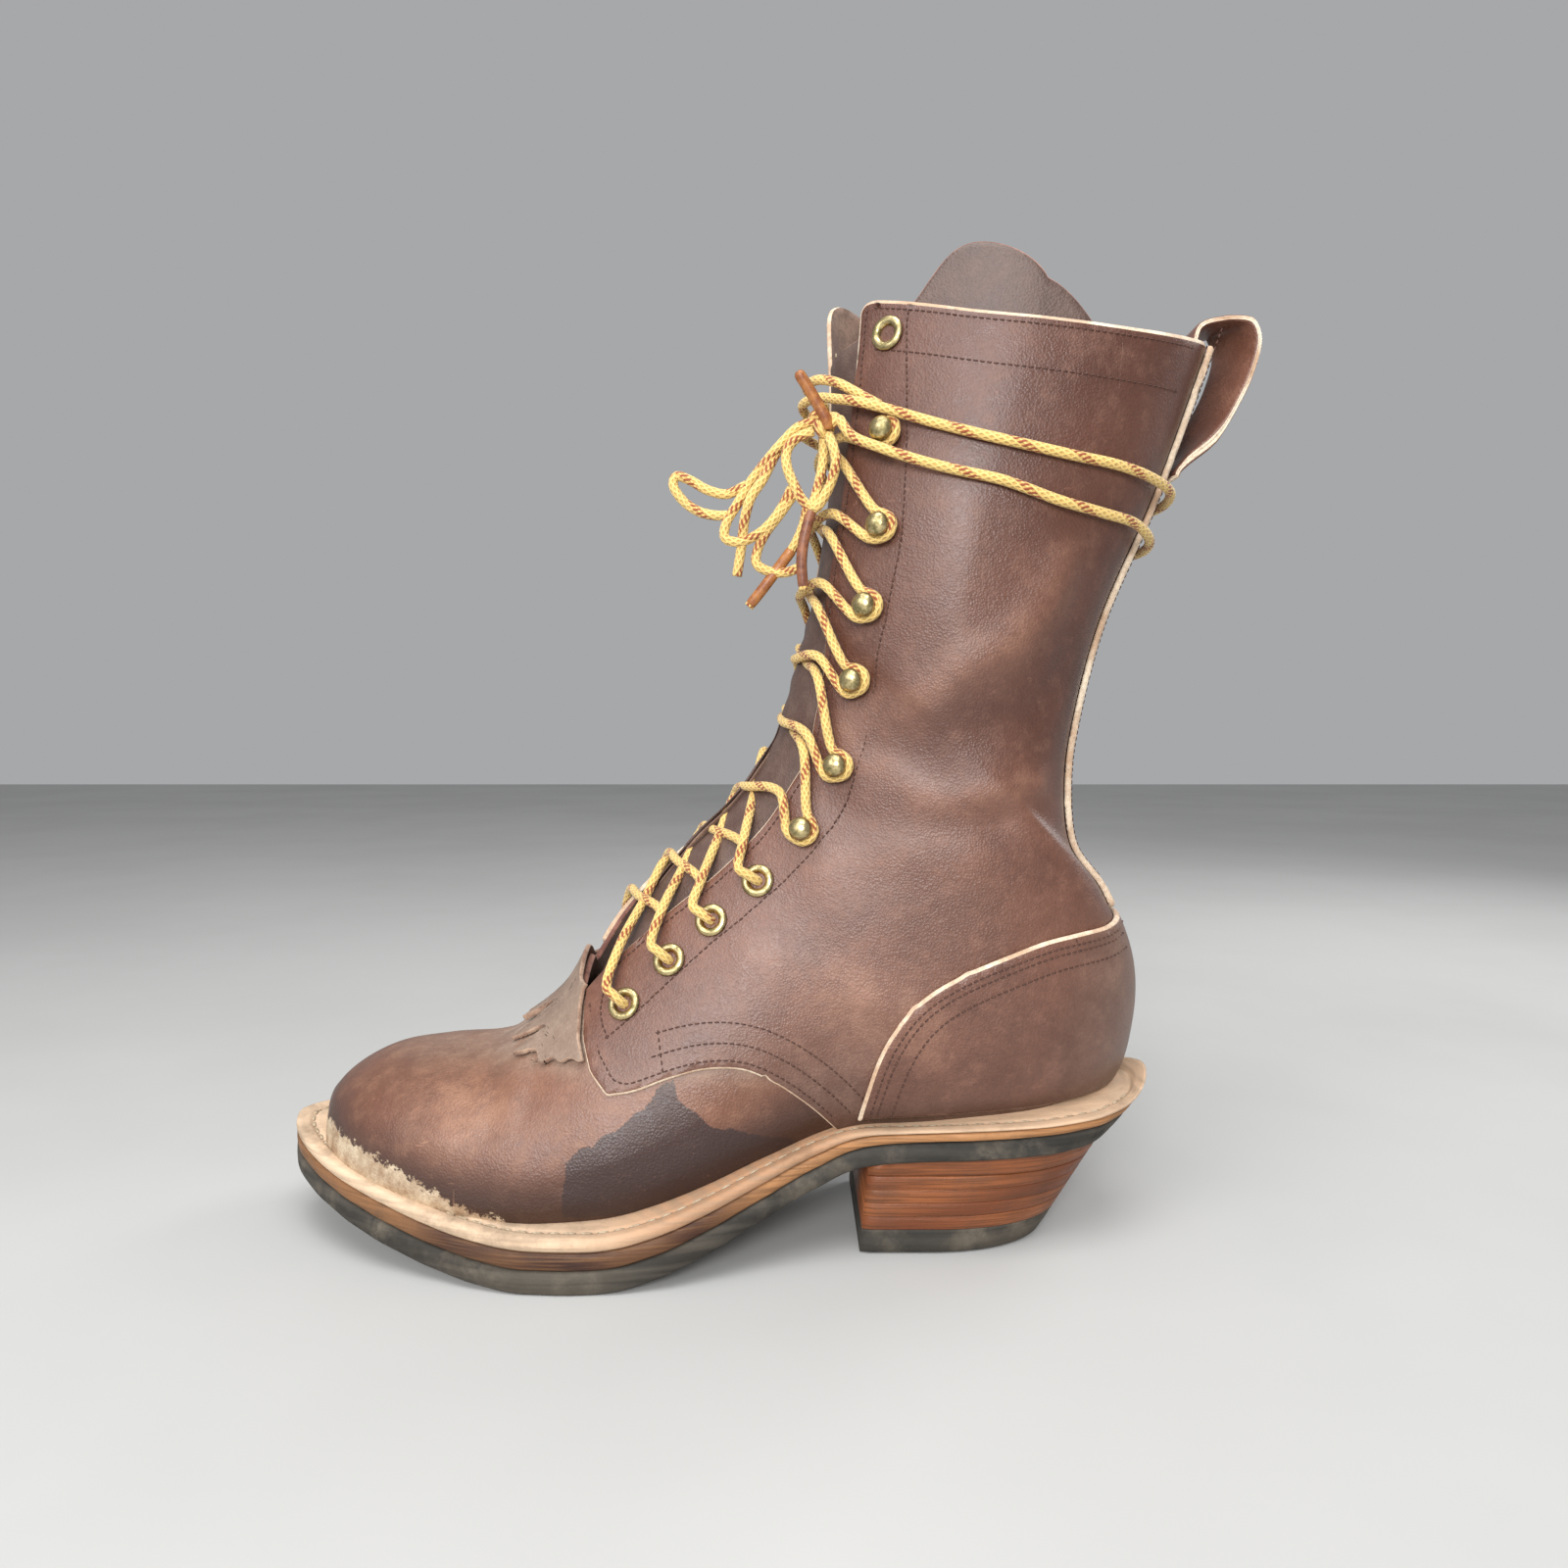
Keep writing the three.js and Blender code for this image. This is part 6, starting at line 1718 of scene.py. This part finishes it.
def tube(points: Points, radius: float | Values) -> tuple[Points, list[list[int]], Points]:
    """A round tube through points.

    Args:
        points: the middle line's points.
        radius: its radius, one for all or one for each point.

    Returns:
        The tube's points, its faces, and a flat place for each face's corners.
    """
    count, sides = len(points), TUBE_SIDES
    radius = np.broadcast_to(radius, count)
    ahead = unit(np.gradient(points, axis=0))
    frames, across = [], unit(np.cross(ahead[0], (0.3, 0.5, 0.8)))
    for direction in ahead:
        across = unit(across - direction * (across @ direction))
        frames.append((across, np.cross(direction, across)))
    turn = np.linspace(0, 2 * math.pi, sides, endpoint=False)
    x, y = np.cos(turn)[:, None], np.sin(turn)[:, None]
    rings = [p + r * (x * u + y * v) for p, r, (u, v) in zip(points, radius, frames)]
    walked = np.r_[0, np.cumsum(np.linalg.norm(np.diff(points, axis=0), axis=1))] / PLAIT
    faces, corners = [], []
    for i in range(count - 1):
        for k in range(sides):
            a, b = i * sides + k, i * sides + (k + 1) % sides
            faces.append([a, b, b + sides, a + sides])
            u0, u1 = k / sides, (k + 1) / sides
            corners += [(u0, walked[i]), (u1, walked[i]), (u1, walked[i + 1]), (u0, walked[i + 1])]
    last = (count - 1) * sides
    for ring, at in ((range(sides)[::-1], walked[0]), (range(last, last + sides), walked[-1])):
        faces.append(list(ring))
        corners += [(k / sides, at) for k in range(sides)]
    return np.vstack(rings), faces, np.array(corners)


@dataclass(frozen=True)
class Fastening:
    """One eyelet or hook at its place on the leather."""

    kind: Kind
    side: Side
    number: int
    row: float
    bow: float
    point: Points
    normal: Points
    along: Points
    away: Points

    @property
    def node(self) -> str:
        """The name of its solid in the frame."""
        return f"{self.kind.value}_{self.side.name.lower()}_{self.number}"

    def beside(self, off: float, up: float, away: float) -> Points:
        """A place beside it: so far off the leather, up along the throat and away from it."""
        return self.point + self.normal * off + self.along * up + self.away * away


class Fastenings:
    """The eyelets and hooks of both sides."""

    def __init__(self, skin: Skin) -> None:
        """Finds their places."""
        self.skin = skin
        self.all = {side: [self.place(side, i) for i in range(len(FASTENINGS))] for side in Side}

    def place(self, side: Side, index: int) -> Fastening:
        """Finds one fastening's place."""
        kind, row, inset, bow = FASTENINGS[index]
        turn = self.skin.beside_throat(row, side, inset)
        point, normal = self.skin.point(row, turn), self.skin.normal(row, turn)
        along = unit(self.skin.point(row + 0.02, turn) - self.skin.point(row - 0.02, turn))
        away = np.cross(along, normal) * -side.value
        return Fastening(kind, side, index + 1, row, bow, point, normal, along, away)

    def over_edge(self, row: float, side: Side, off: float, inwards: float) -> Points:
        """A place over a quarter's front edge, so far off it and towards the throat's middle."""
        turn = self.skin.beside_throat(row, side, 0.0)
        return self.skin.off(row, turn, off) + np.array([0, -side.value * inwards, 0])


@dataclass
class Fittings:
    """The brass eyelets and hooks, set by a node tree on a point for each."""

    fastenings: Fastenings
    finishes: Finishes
    sides: int = 28

    EYELET = (
        (3.0, -3.0), (3.35, -3.2), (3.5, -2.9), (3.4, 0.2), (5.5, 0.15), (5.75, 0.45), (5.6, 0.8), (5.0, 1.2),
        (4.2, 1.35), (3.4, 1.1), (2.85, 0.5), (2.7, -0.4), (2.75, -2.6), (3.0, -3.0),
    )  # fmt: skip
    HOOK = (
        (0.0, 0.05), (4.3, 0.05), (4.5, 0.35), (4.1, 0.75), (2.4, 0.85), (1.6, 1.2), (1.45, 3.2), (1.7, 4.4),
        (2.7, 4.55), (3.6, 4.95), (4.05, 5.7), (4.0, 6.5), (3.5, 7.4), (2.5, 8.15), (1.3, 8.55), (0.0, 8.65),
    )  # fmt: skip

    def lathe(self, profile: Sequence[tuple[float, float]]) -> bpy.types.Mesh:
        """Turns a profile of radius and height into a mesh."""
        turn = np.linspace(0, 2 * math.pi, self.sides, endpoint=False)
        closed = profile[0] == profile[-1]
        rows = profile[:-1] if closed else profile
        points, rings = [], []
        for radius, height in rows:
            size = 1 if radius == 0 else self.sides
            rings.append(list(range(len(points), len(points) + size)))
            points += [(radius * math.cos(a) * MM, radius * math.sin(a) * MM, height * MM) for a in turn[:size]]
        faces = []
        pairs = list(zip(rings, rings[1:] + rings[:1])) if closed else list(zip(rings[:-1], rings[1:]))
        for low, high in pairs:
            for k in range(self.sides):
                j = (k + 1) % self.sides
                corner = [low[k % len(low)], low[j % len(low)], high[j % len(high)], high[k % len(high)]]
                faces.append(list(dict.fromkeys(corner)))
        mesh = bpy.data.meshes.new("turned")
        mesh.from_pydata(points, [], faces)
        mesh.polygons.foreach_set("use_smooth", np.ones(len(mesh.polygons), bool))
        return mesh

    def tree(self) -> Tree:
        """Builds the node tree that stands a shape on each point, along the point's own direction."""
        tree, given = start_tree("stand_on_points", Shape="Object", Lift="Float", Material="Material")
        shape = add_node(tree, "GeometryNodeObjectInfo", Object=given["Shape"])
        facing = add_node(tree, "GeometryNodeInputNamedAttribute", data_type="FLOAT_VECTOR", Name="facing")
        facing = facing.outputs["Attribute"]
        lift = add_node(tree, "ShaderNodeVectorMath", operation="SCALE", Vector=facing, Scale=given["Lift"])
        moved = add_node(tree, "GeometryNodeSetPosition", Geometry=given["Geometry"], Offset=lift.outputs[0])
        turned = add_node(tree, "FunctionNodeAlignRotationToVector", axis="Z", Vector=facing)
        put = add_node(
            tree, "GeometryNodeInstanceOnPoints", Points=moved.outputs[0], Instance=shape.outputs["Geometry"],
            Rotation=turned.outputs[0],
        )  # fmt: skip
        return end_tree(tree, put, given["Material"])

    def set_of(self, kind: Kind, profile: Sequence[tuple[float, float]]) -> Piece:
        """Makes every fitting of one kind."""
        chosen = [f for side in Side for f in self.fastenings.all[side] if f.kind is kind]
        guide = bpy.data.meshes.new("places")
        guide.from_pydata([tuple(f.point * MM) for f in chosen], [], [])
        facing = guide.attributes.new("facing", "FLOAT_VECTOR", "POINT")
        facing.data.foreach_set("vector", np.array([f.normal for f in chosen], np.float32).ravel())
        shape = placed("shape", self.lathe(profile))
        values = {"Shape": shape, "Lift": GAP * MM, "Material": self.finishes.brass}
        made = run_tree(f"{kind.value}s", guide, self.tree(), values)
        bpy.data.objects.remove(shape)
        return stands_for(made, "brass", *(f.node for f in chosen))

    def build(self) -> None:
        """Makes the eyelets and the hooks."""
        self.set_of(Kind.EYELET, self.EYELET)
        self.set_of(Kind.HOOK, self.HOOK)
        log.info("eyelets and hooks made")


@dataclass
class Lacing:
    """The lace: over the throat and back, twice round the shaft, and tied in a bow."""

    fastenings: Fastenings
    finishes: Finishes
    radius: float = LACE / 2
    under_head: float = 0.7 + 2 * GAP + LACE / 2

    WRAPS = {
        "lace_wrap_upper": [
            (-32.7, 32.1, 282.7), (-41, 26.3, 287.9), (-48.3, 18.5, 292.6), (-53.1, 3.8, 295), (-48.3, -8.7, 294.2),
            (-41.6, -19.7, 290.6), (-34.7, -28.3, 287.1), (-25.4, -33.7, 283.1), (-13.6, -37.6, 278.5),
            (-0.2, -42.2, 273.7), (13.7, -44.1, 270), (32.9, -42.4, 266.2), (48.8, -37.5, 264.2), (62.3, -29, 262),
            (72.4, -16.5, 260.1), (76, 3.6, 259), (72.1, 22.4, 259.5), (61.8, 33.8, 260.9), (48.1, 41.2, 262.8), (32.4, 45.7, 264.9),
            (13.2, 47.1, 268.4), (-0.8, 45.3, 271.1), (-14.3, 41.3, 275.2), (-25.5, 40, 280.4), (-35.8, 36.6, 284.3),
            (-44.7, 29.7, 286.8), (-51.5, 20, 287.8), (-54.8, 9.9, 287.8), (-55.1, 1.5, 286.7), (-54.4, -6, 285),
            (-51.8, -13.5, 283.2), (-48.5, -19.5, 281.3),
        ],
        "lace_wrap_lower": [
            (-28.2, -28.1, 286.1), (-35.2, -21.8, 292), (-42, -15.4, 297.5), (-48.1, -7.7, 300.7), (-51.6, 4.2, 301.6),
            (-47.7, 15.4, 300.5), (-38.8, 25.5, 297.7), (-27, 34.1, 293.4), (-11.9, 42.2, 287.1), (0.9, 48.1, 280.3),
            (14.3, 51.6, 272.1), (32.3, 49.9, 262.3), (45.9, 42.8, 254.1), (56.9, 33.2, 248.6), (65.6, 21.7, 244.4),
            (68.9, 3.2, 242.8), (65.5, -16.7, 244.1), (56.4, -29.1, 247.4), (43, -37.4, 249.3), (27.9, -42.4, 252.2),
            (10, -44, 258.1), (-3.6, -42.3, 261.5), (-16.1, -39.7, 265.3), (-28.3, -35.9, 270.3), (-37.4, -29, 276.1),
            (-41.3, -25.3, 282.4),
        ],
    }  # fmt: skip
    BOW = {
        "knot_loop": [
            (-44.9, -23, 278.1), (-43.4, -27, 272.8), (-42.5, -28, 268.1), (-43.4, -27, 263.2), (-46, -26, 257.3),
            (-49.5, -25, 253), (-53.1, -25, 255.3), (-56.1, -25, 260.4), (-58.7, -25, 266.9), (-58.7, -24, 272.3),
            (-55.8, -24, 276.2), (-49.9, -24, 278.8),
        ],
        "long_loop": [
            (-47.2, -23, 282.3), (-54.4, -22, 280.9), (-59.7, -22, 276.1), (-65.7, -21, 269.5), (-71, -20, 262.9),
            (-75.6, -20, 255.3), (-79.3, -20, 249.1), (-79.7, -20, 244.1), (-75.3, -20, 242.8), (-69, -20, 245.1),
            (-63.7, -21, 249.5), (-59.7, -22, 255.2), (-57.1, -24, 260),
        ],
        "far_loop": [
            (-72.3, -20, 261.9), (-79.1, -18, 259.3), (-85.9, -16, 261.1), (-92, -15, 264.6), (-96.8, -14, 266.2),
            (-97.8, -14, 263.2), (-94.4, -15, 257.7), (-88.9, -16, 253.8), (-83.1, -18, 252.1), (-78, -20, 251.7),
        ],
        "low_loop": [
            (-55.8, -24, 258.7), (-61.4, -21, 251.5), (-65.7, -20, 246.1), (-68.7, -19, 240.3), (-69.1, -19, 235.7),
            (-65, -19, 233.1), (-59, -20, 232.6), (-53.7, -23, 234.1),
        ],
        "plain_end": [
            (-48.5, -21, 281.5), (-55, -20.5, 279.8), (-61.3, -20.5, 273.8), (-66.9, -22, 263.2), (-70.9, -22, 257.2),
            (-73, -21, 250.2), (-74.1, -19, 242.3), (-75.8, -18, 231.5),
        ],
        "low_end": [
            (-51.8, -25, 254.6), (-53.4, -22, 247.4), (-57, -20, 240.2), (-61.7, -19, 234.1), (-66.4, -19, 227.8),
            (-71.8, -18, 221.2),
        ],
        "dark_end": [
            (-46.5, -21.5, 279.5), (-46.5, -22, 270), (-48.2, -23, 261), (-50.2, -24.5, 253.8), (-53.1, -24, 242.3),
            (-53.8, -23.5, 235), (-53.1, -23, 226.3),
        ],
    }  # fmt: skip
    HIGH_TIP = [
        (-44.7, -24.4, 279.5), (-45.7, -25.4, 282.4), (-48, -26, 286.2), (-51.3, -27, 291.4), (-55.2, -28, 297.1),
    ]  # fmt: skip
    KNOT = (-46.2, -22.6, 281.8)

    def strand(self, name: str, places: Sequence[Sequence[float]]) -> tuple[Piece, Points]:
        """Makes a stretch of lace through places."""
        places = np.asarray(places, float)
        length = float(np.linalg.norm(np.diff(places, axis=0), axis=1).sum())
        line = smooth_line(places, max(12, int(length / 1.1)))
        points, faces, corners = tube(line, self.radius)
        made = make_mesh(name, points, faces, [self.finishes.lace], corners=corners)
        return stands_for(made, "lace_cord"), line

    def tip(self, name: str, places: Points, material: Material, radius: float = 1.9) -> Piece:
        """Makes the stiff tip over a lace's end."""
        line = smooth_line(places, 24)
        taper = radius * np.interp(np.linspace(0, 1, len(line)), [0, 0.04, 0.9, 0.97, 1], [0.86, 1, 0.97, 0.9, 0.55])
        points, faces, corners = tube(line, taper)
        return stands_for(make_mesh(name, points, faces, [material], corners=corners), "lace_cord")

    def crossing_path(self, side: Side) -> list[Points]:
        """The lace's way from one lowest eyelet, over and back, to a top hook."""
        path: list[Points] = []
        here, over_edge = side, self.fastenings.over_edge
        for i in range(CROSSINGS):
            there = Side(-here.value)
            a, b = self.fastenings.all[here][i], self.fastenings.all[there][i + 1]
            rise = b.row - a.row
            hooked = a.kind is Kind.HOOK
            path += self.round_hook(a) if hooked else self.out_of_eyelet(a)
            leave = over_edge(a.row + rise * (0.62 if hooked else -0.05), here, self.radius + 1.0, 0)
            if b.kind is Kind.HOOK:
                arrive = [over_edge(b.row - rise * 0.1, there, self.radius + 1.0, 0)]
            else:
                arrive = [over_edge(b.row - rise * 0.12, there, 0.3, self.radius + 1.2), b.beside(-4.0, -1.2, -4.5)]
            up = self.fastenings.skin.normal(a.row + rise * 0.5, math.pi).ravel()
            slack = (2.6 if hooked else 1.9) + 1.7 * side.value * (-1) ** i
            path += [leave, (leave + arrive[0]) / 2 + up * slack, *arrive]
            here = there
        return path + self.round_hook(self.fastenings.all[here][CROSSINGS])[:-1]

    def out_of_eyelet(self, f: Fastening) -> list[Points]:
        """The lace's way up through an eyelet and towards the throat."""
        spots = ((-3.4, -0.4, -0.6), (-0.4, 0, 0), (2.4, -0.2, -0.6), (4.0, -0.6, -3), (4.6, -1.2, -6.5))
        return [f.beside(*spot) for spot in spots]

    def round_hook(self, f: Fastening) -> list[Points]:
        """The lace's way round a hook's stem under its head."""
        spots = ((-4.4, -3.4), (-3.9, 0.6), (-2.3, 3.2), (0.2, 3.9), (2.5, 3.1), (3.9, 0.4), (4.6, -3))
        return [f.beside(self.under_head, up, away) for up, away in spots]

    def lay(self, made: Piece, line: Points, end: str, lay: str, pieces: Sequence[Piece] = ()) -> None:
        """Works out a stretch of lace's length and path, and keeps neither."""
        length = float(np.linalg.norm(np.diff(line, axis=0), axis=1).sum()) * MM
        path = [tuple(p) for p in line * MM]
        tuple(path[0])
        list(pieces)

    def build(self) -> None:
        """Makes the whole lace with its knot and tips."""
        f = self.fastenings.all
        outer, inner = self.crossing_path(Side.OUTER), self.crossing_path(Side.INNER)
        bar = [f[Side.OUTER][0].beside(-4.2, -0.6, -5), f[Side.INNER][0].beside(-4.2, -0.6, -5)]
        crossing, _ = self.strand("lace_over_throat", [*outer[::-1], *bar, *inner])
        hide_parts(*(f"lace_cross_{i + 1}" for i in range(CROSSINGS)))
        for name, places in self.WRAPS.items():
            wrap, line = self.strand(name.replace("lace_", "lace_round_"), places)
            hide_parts(name)
            self.lay(wrap, line, "knot", "taut")
        turn = np.linspace(0, 2 * math.pi, 60)
        over, up = np.sin(turn) + 2 * np.sin(2 * turn), np.cos(turn) - 2 * np.cos(2 * turn)
        trefoil = np.column_stack([over, -2.2 * np.sin(3 * turn), up])
        knot, _ = self.strand("lace_knot", np.array(self.KNOT) + trefoil * (1.45, 1.0, 1.25))
        high = self.tip("lace_tip_high", np.array(self.HIGH_TIP), self.finishes.tip, 2.0)
        low = self.tip("lace_tip_low", np.array(self.BOW["low_end"])[-4:], self.finishes.tip)
        dark = self.tip("lace_tip_dark", np.array(self.BOW["dark_end"])[-4:], self.finishes.dark_tip)
        pieces = {"knot_loop": [knot, high], "low_end": [low], "dark_end": [dark]}
        ends = {"plain_end": "bare", "low_end": "fitting", "dark_end": "fitting"}
        for name, places in self.BOW.items():
            piece, line = self.strand(f"lace_{name}", places)
            if name == "knot_loop":
                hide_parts("lace_bow")
            self.lay(piece, line, ends.get(name, "knot"), "hanging", pieces.get(name, ()))
        log.info("lace made")


@dataclass
class Seams:
    """The rows of stitches on the upper and the welt."""

    skin: Skin
    upper: Upper
    fastenings: Fastenings
    outline: Outline
    finishes: Finishes

    def beside_edge(self, side: Side, rows: Values, insets: Values, off: float) -> Points:
        """A row of stitches beside a quarter's front edge."""
        insets = np.broadcast_to(insets, rows.shape)
        turns = np.array([self.skin.beside_throat(float(t), side, float(d)) for t, d in zip(rows, insets)])
        return self.skin.off(rows, turns, np.full(len(rows), off))

    def shifted(self, line: Points, distance: float) -> Points:
        """A line of the side view moved to its left by a distance, where that leaves it whole."""
        ahead = unit(np.gradient(line, axis=0))
        moved = line + np.column_stack([-ahead[:, 1], ahead[:, 0]]) * distance
        moved = moved[distance_to(moved, line) > abs(distance) - 0.25]
        for _ in range(6):
            moved[1:-1] = (moved[:-2] + 2 * moved[1:-1] + moved[2:]) / 4
        return moved

    def eyestay(self, side: Side) -> list[Points]:
        """The two rows that hold the eyestay, joined round its lower end."""
        rows = np.linspace(EYESTAY_FOOT, 22.0, 150)
        table = np.array([(row, inset) for _, row, inset, _ in FASTENINGS])
        behind = np.interp(rows, table[:, 0], table[:, 1]) + 6.8
        front = self.beside_edge(side, rows, EDGE_INSET, STITCH_PROUD)
        back = self.beside_edge(side, rows, behind, STITCH_PROUD)
        share = np.linspace(0, 1, 16)
        foot_rows = EYESTAY_FOOT - 0.12 * np.sin(math.pi * share)
        foot = self.beside_edge(side, foot_rows, EDGE_INSET + share * (behind[0] - EDGE_INSET), STITCH_PROUD)
        collar = self.upper.collar
        lines = []
        for line in (front, back):
            lines.append(line[np.interp(line[:, 0], collar[:, 0], collar[:, 1]) - line[:, 2] > 3.0])
        return [*lines, foot]

    def lap(self, side: Side) -> list[Points]:
        """The three rows along the quarter's lower edge on the vamp."""
        lines = []
        for inset, first in ((2.6, -128.0), (8.0, -111.5), (14.5, -111.5)):
            line = self.shifted(self.upper.lap, inset)
            line = line[(line[:, 0] > first) & (line[:, 1] > self.skin.profile.top(line[:, 0]) + 2)]
            lines.append(line[6:] if inset > 5 else line)
        start = lines[2][0]
        foot = lines[0][int(np.argmin(np.hypot(*(lines[0] - start - (-2.0, 0.0)).T)))]
        lines.append(start + np.linspace(0, 1, 24)[:, None] * (foot - start))
        return [self.upper.side_line(line[::2], side, STITCH_PROUD) for line in lines]

    def counter(self, side: Side) -> list[Points]:
        """The three rows along the counter's upper edge."""
        lines = []
        for inset in (3.4, 5.6, 10.5):
            line = self.shifted(self.upper.counter_line, -inset)
            line = line[(line[:, 0] < 60) & (line[:, 1] > self.skin.profile.top(line[:, 0]) + 1)]
            lines.append(self.upper.side_line(line[::2], side, GAP + COUNTER_WALL + STITCH_PROUD))
        return lines

    def collar(self, side: Side) -> list[Points]:
        """The row along the collar and the one of its lining below it."""
        lines = []
        for drop in (3.0, 17.0):
            line = self.upper.collar[::2] - (0, drop)
            laid = self.upper.side_line(line, side, STITCH_PROUD)
            clear = (side.value * (laid[:, 1] - THROAT_MIDDLE) > THROAT_GAP / 2 + 3.5) & (line[:, 0] < 86)
            lines.append(laid[clear])
        return lines

    def stay(self) -> list[Points]:
        """The two rows of the back stay."""
        rows = np.linspace(14.6, 22.1, 110)
        low = self.skin.seat_top + STAY_FOOT * SHAFT_HEIGHT + 14
        off = np.full(len(rows), GAP + STAY_WALL + STITCH_PROUD)
        lines = [self.skin.off(rows, np.array([self.turn_at(t, y) for t in rows]), off) for y in (-8.4, 8.4)]
        return [line[line[:, 2] > low] for line in lines]

    def turn_at(self, row: float, y: float) -> float:
        """The turn at which the back of a row has a place across the boot."""
        turns = np.linspace(-0.7, 0.7, 60)
        return float(np.interp(-y, -self.skin.point(row, turns)[:, 1], turns))

    def welt(self) -> Points:
        """The row in the welt's channel."""
        ring = self.outline.ring(raised(self.skin.profile.rim, -0.55), -5.7)
        return ring[share_of(ring[:, 0]) < 0.96]

    def build(self) -> None:
        """Sews every row."""
        made = [rows(side) for side in Side for rows in (self.eyestay, self.lap, self.counter, self.collar)]
        dark = [line for lines in (*made, self.stay()) for line in lines if len(line) > 3]
        thread, pale = self.finishes.thread, self.finishes.pale_thread
        stands_for(StitchRow(thread, 2.2, 1.75, 0.62).sew("upper_stitches", dark), "upper_leather")
        inside_row = self.beside_edge(Side.INNER, np.linspace(6.9, 21.9, 150), EDGE_INSET, -QUARTER_WALL - 0.1)
        stands_for(StitchRow(pale, 2.6, 1.9, 0.7).sew("inner_stitches", [inside_row]), "upper_leather")
        channel = self.welt()
        split = int(np.argmax(np.linalg.norm(np.diff(channel, axis=0), axis=1))) + 1
        lines = [channel[:split], channel[split:]]
        stands_for(StitchRow(pale, 5.2, 4.3, 1.15).sew("welt_stitches", lines), "sole_leather")
        log.info("stitches made")


def main() -> None:
    """Builds the boot's pieces in order."""
    logging.basicConfig(level=logging.INFO, format="%(name)s: %(message)s")
    finishes = Finishes()
    Studio().build(finishes)
    profile = Profile()
    skin = Skin(profile)
    fastenings = Fastenings(skin)
    Lacing(fastenings, finishes).build()
    outline = Outline(profile)
    Sole(profile, outline, finishes).build()
    upper = Upper(skin, finishes)
    upper.build()
    Fittings(fastenings, finishes).build()
    Seams(skin, upper, fastenings, outline, finishes).build()


if __name__ == "__main__":
    main()
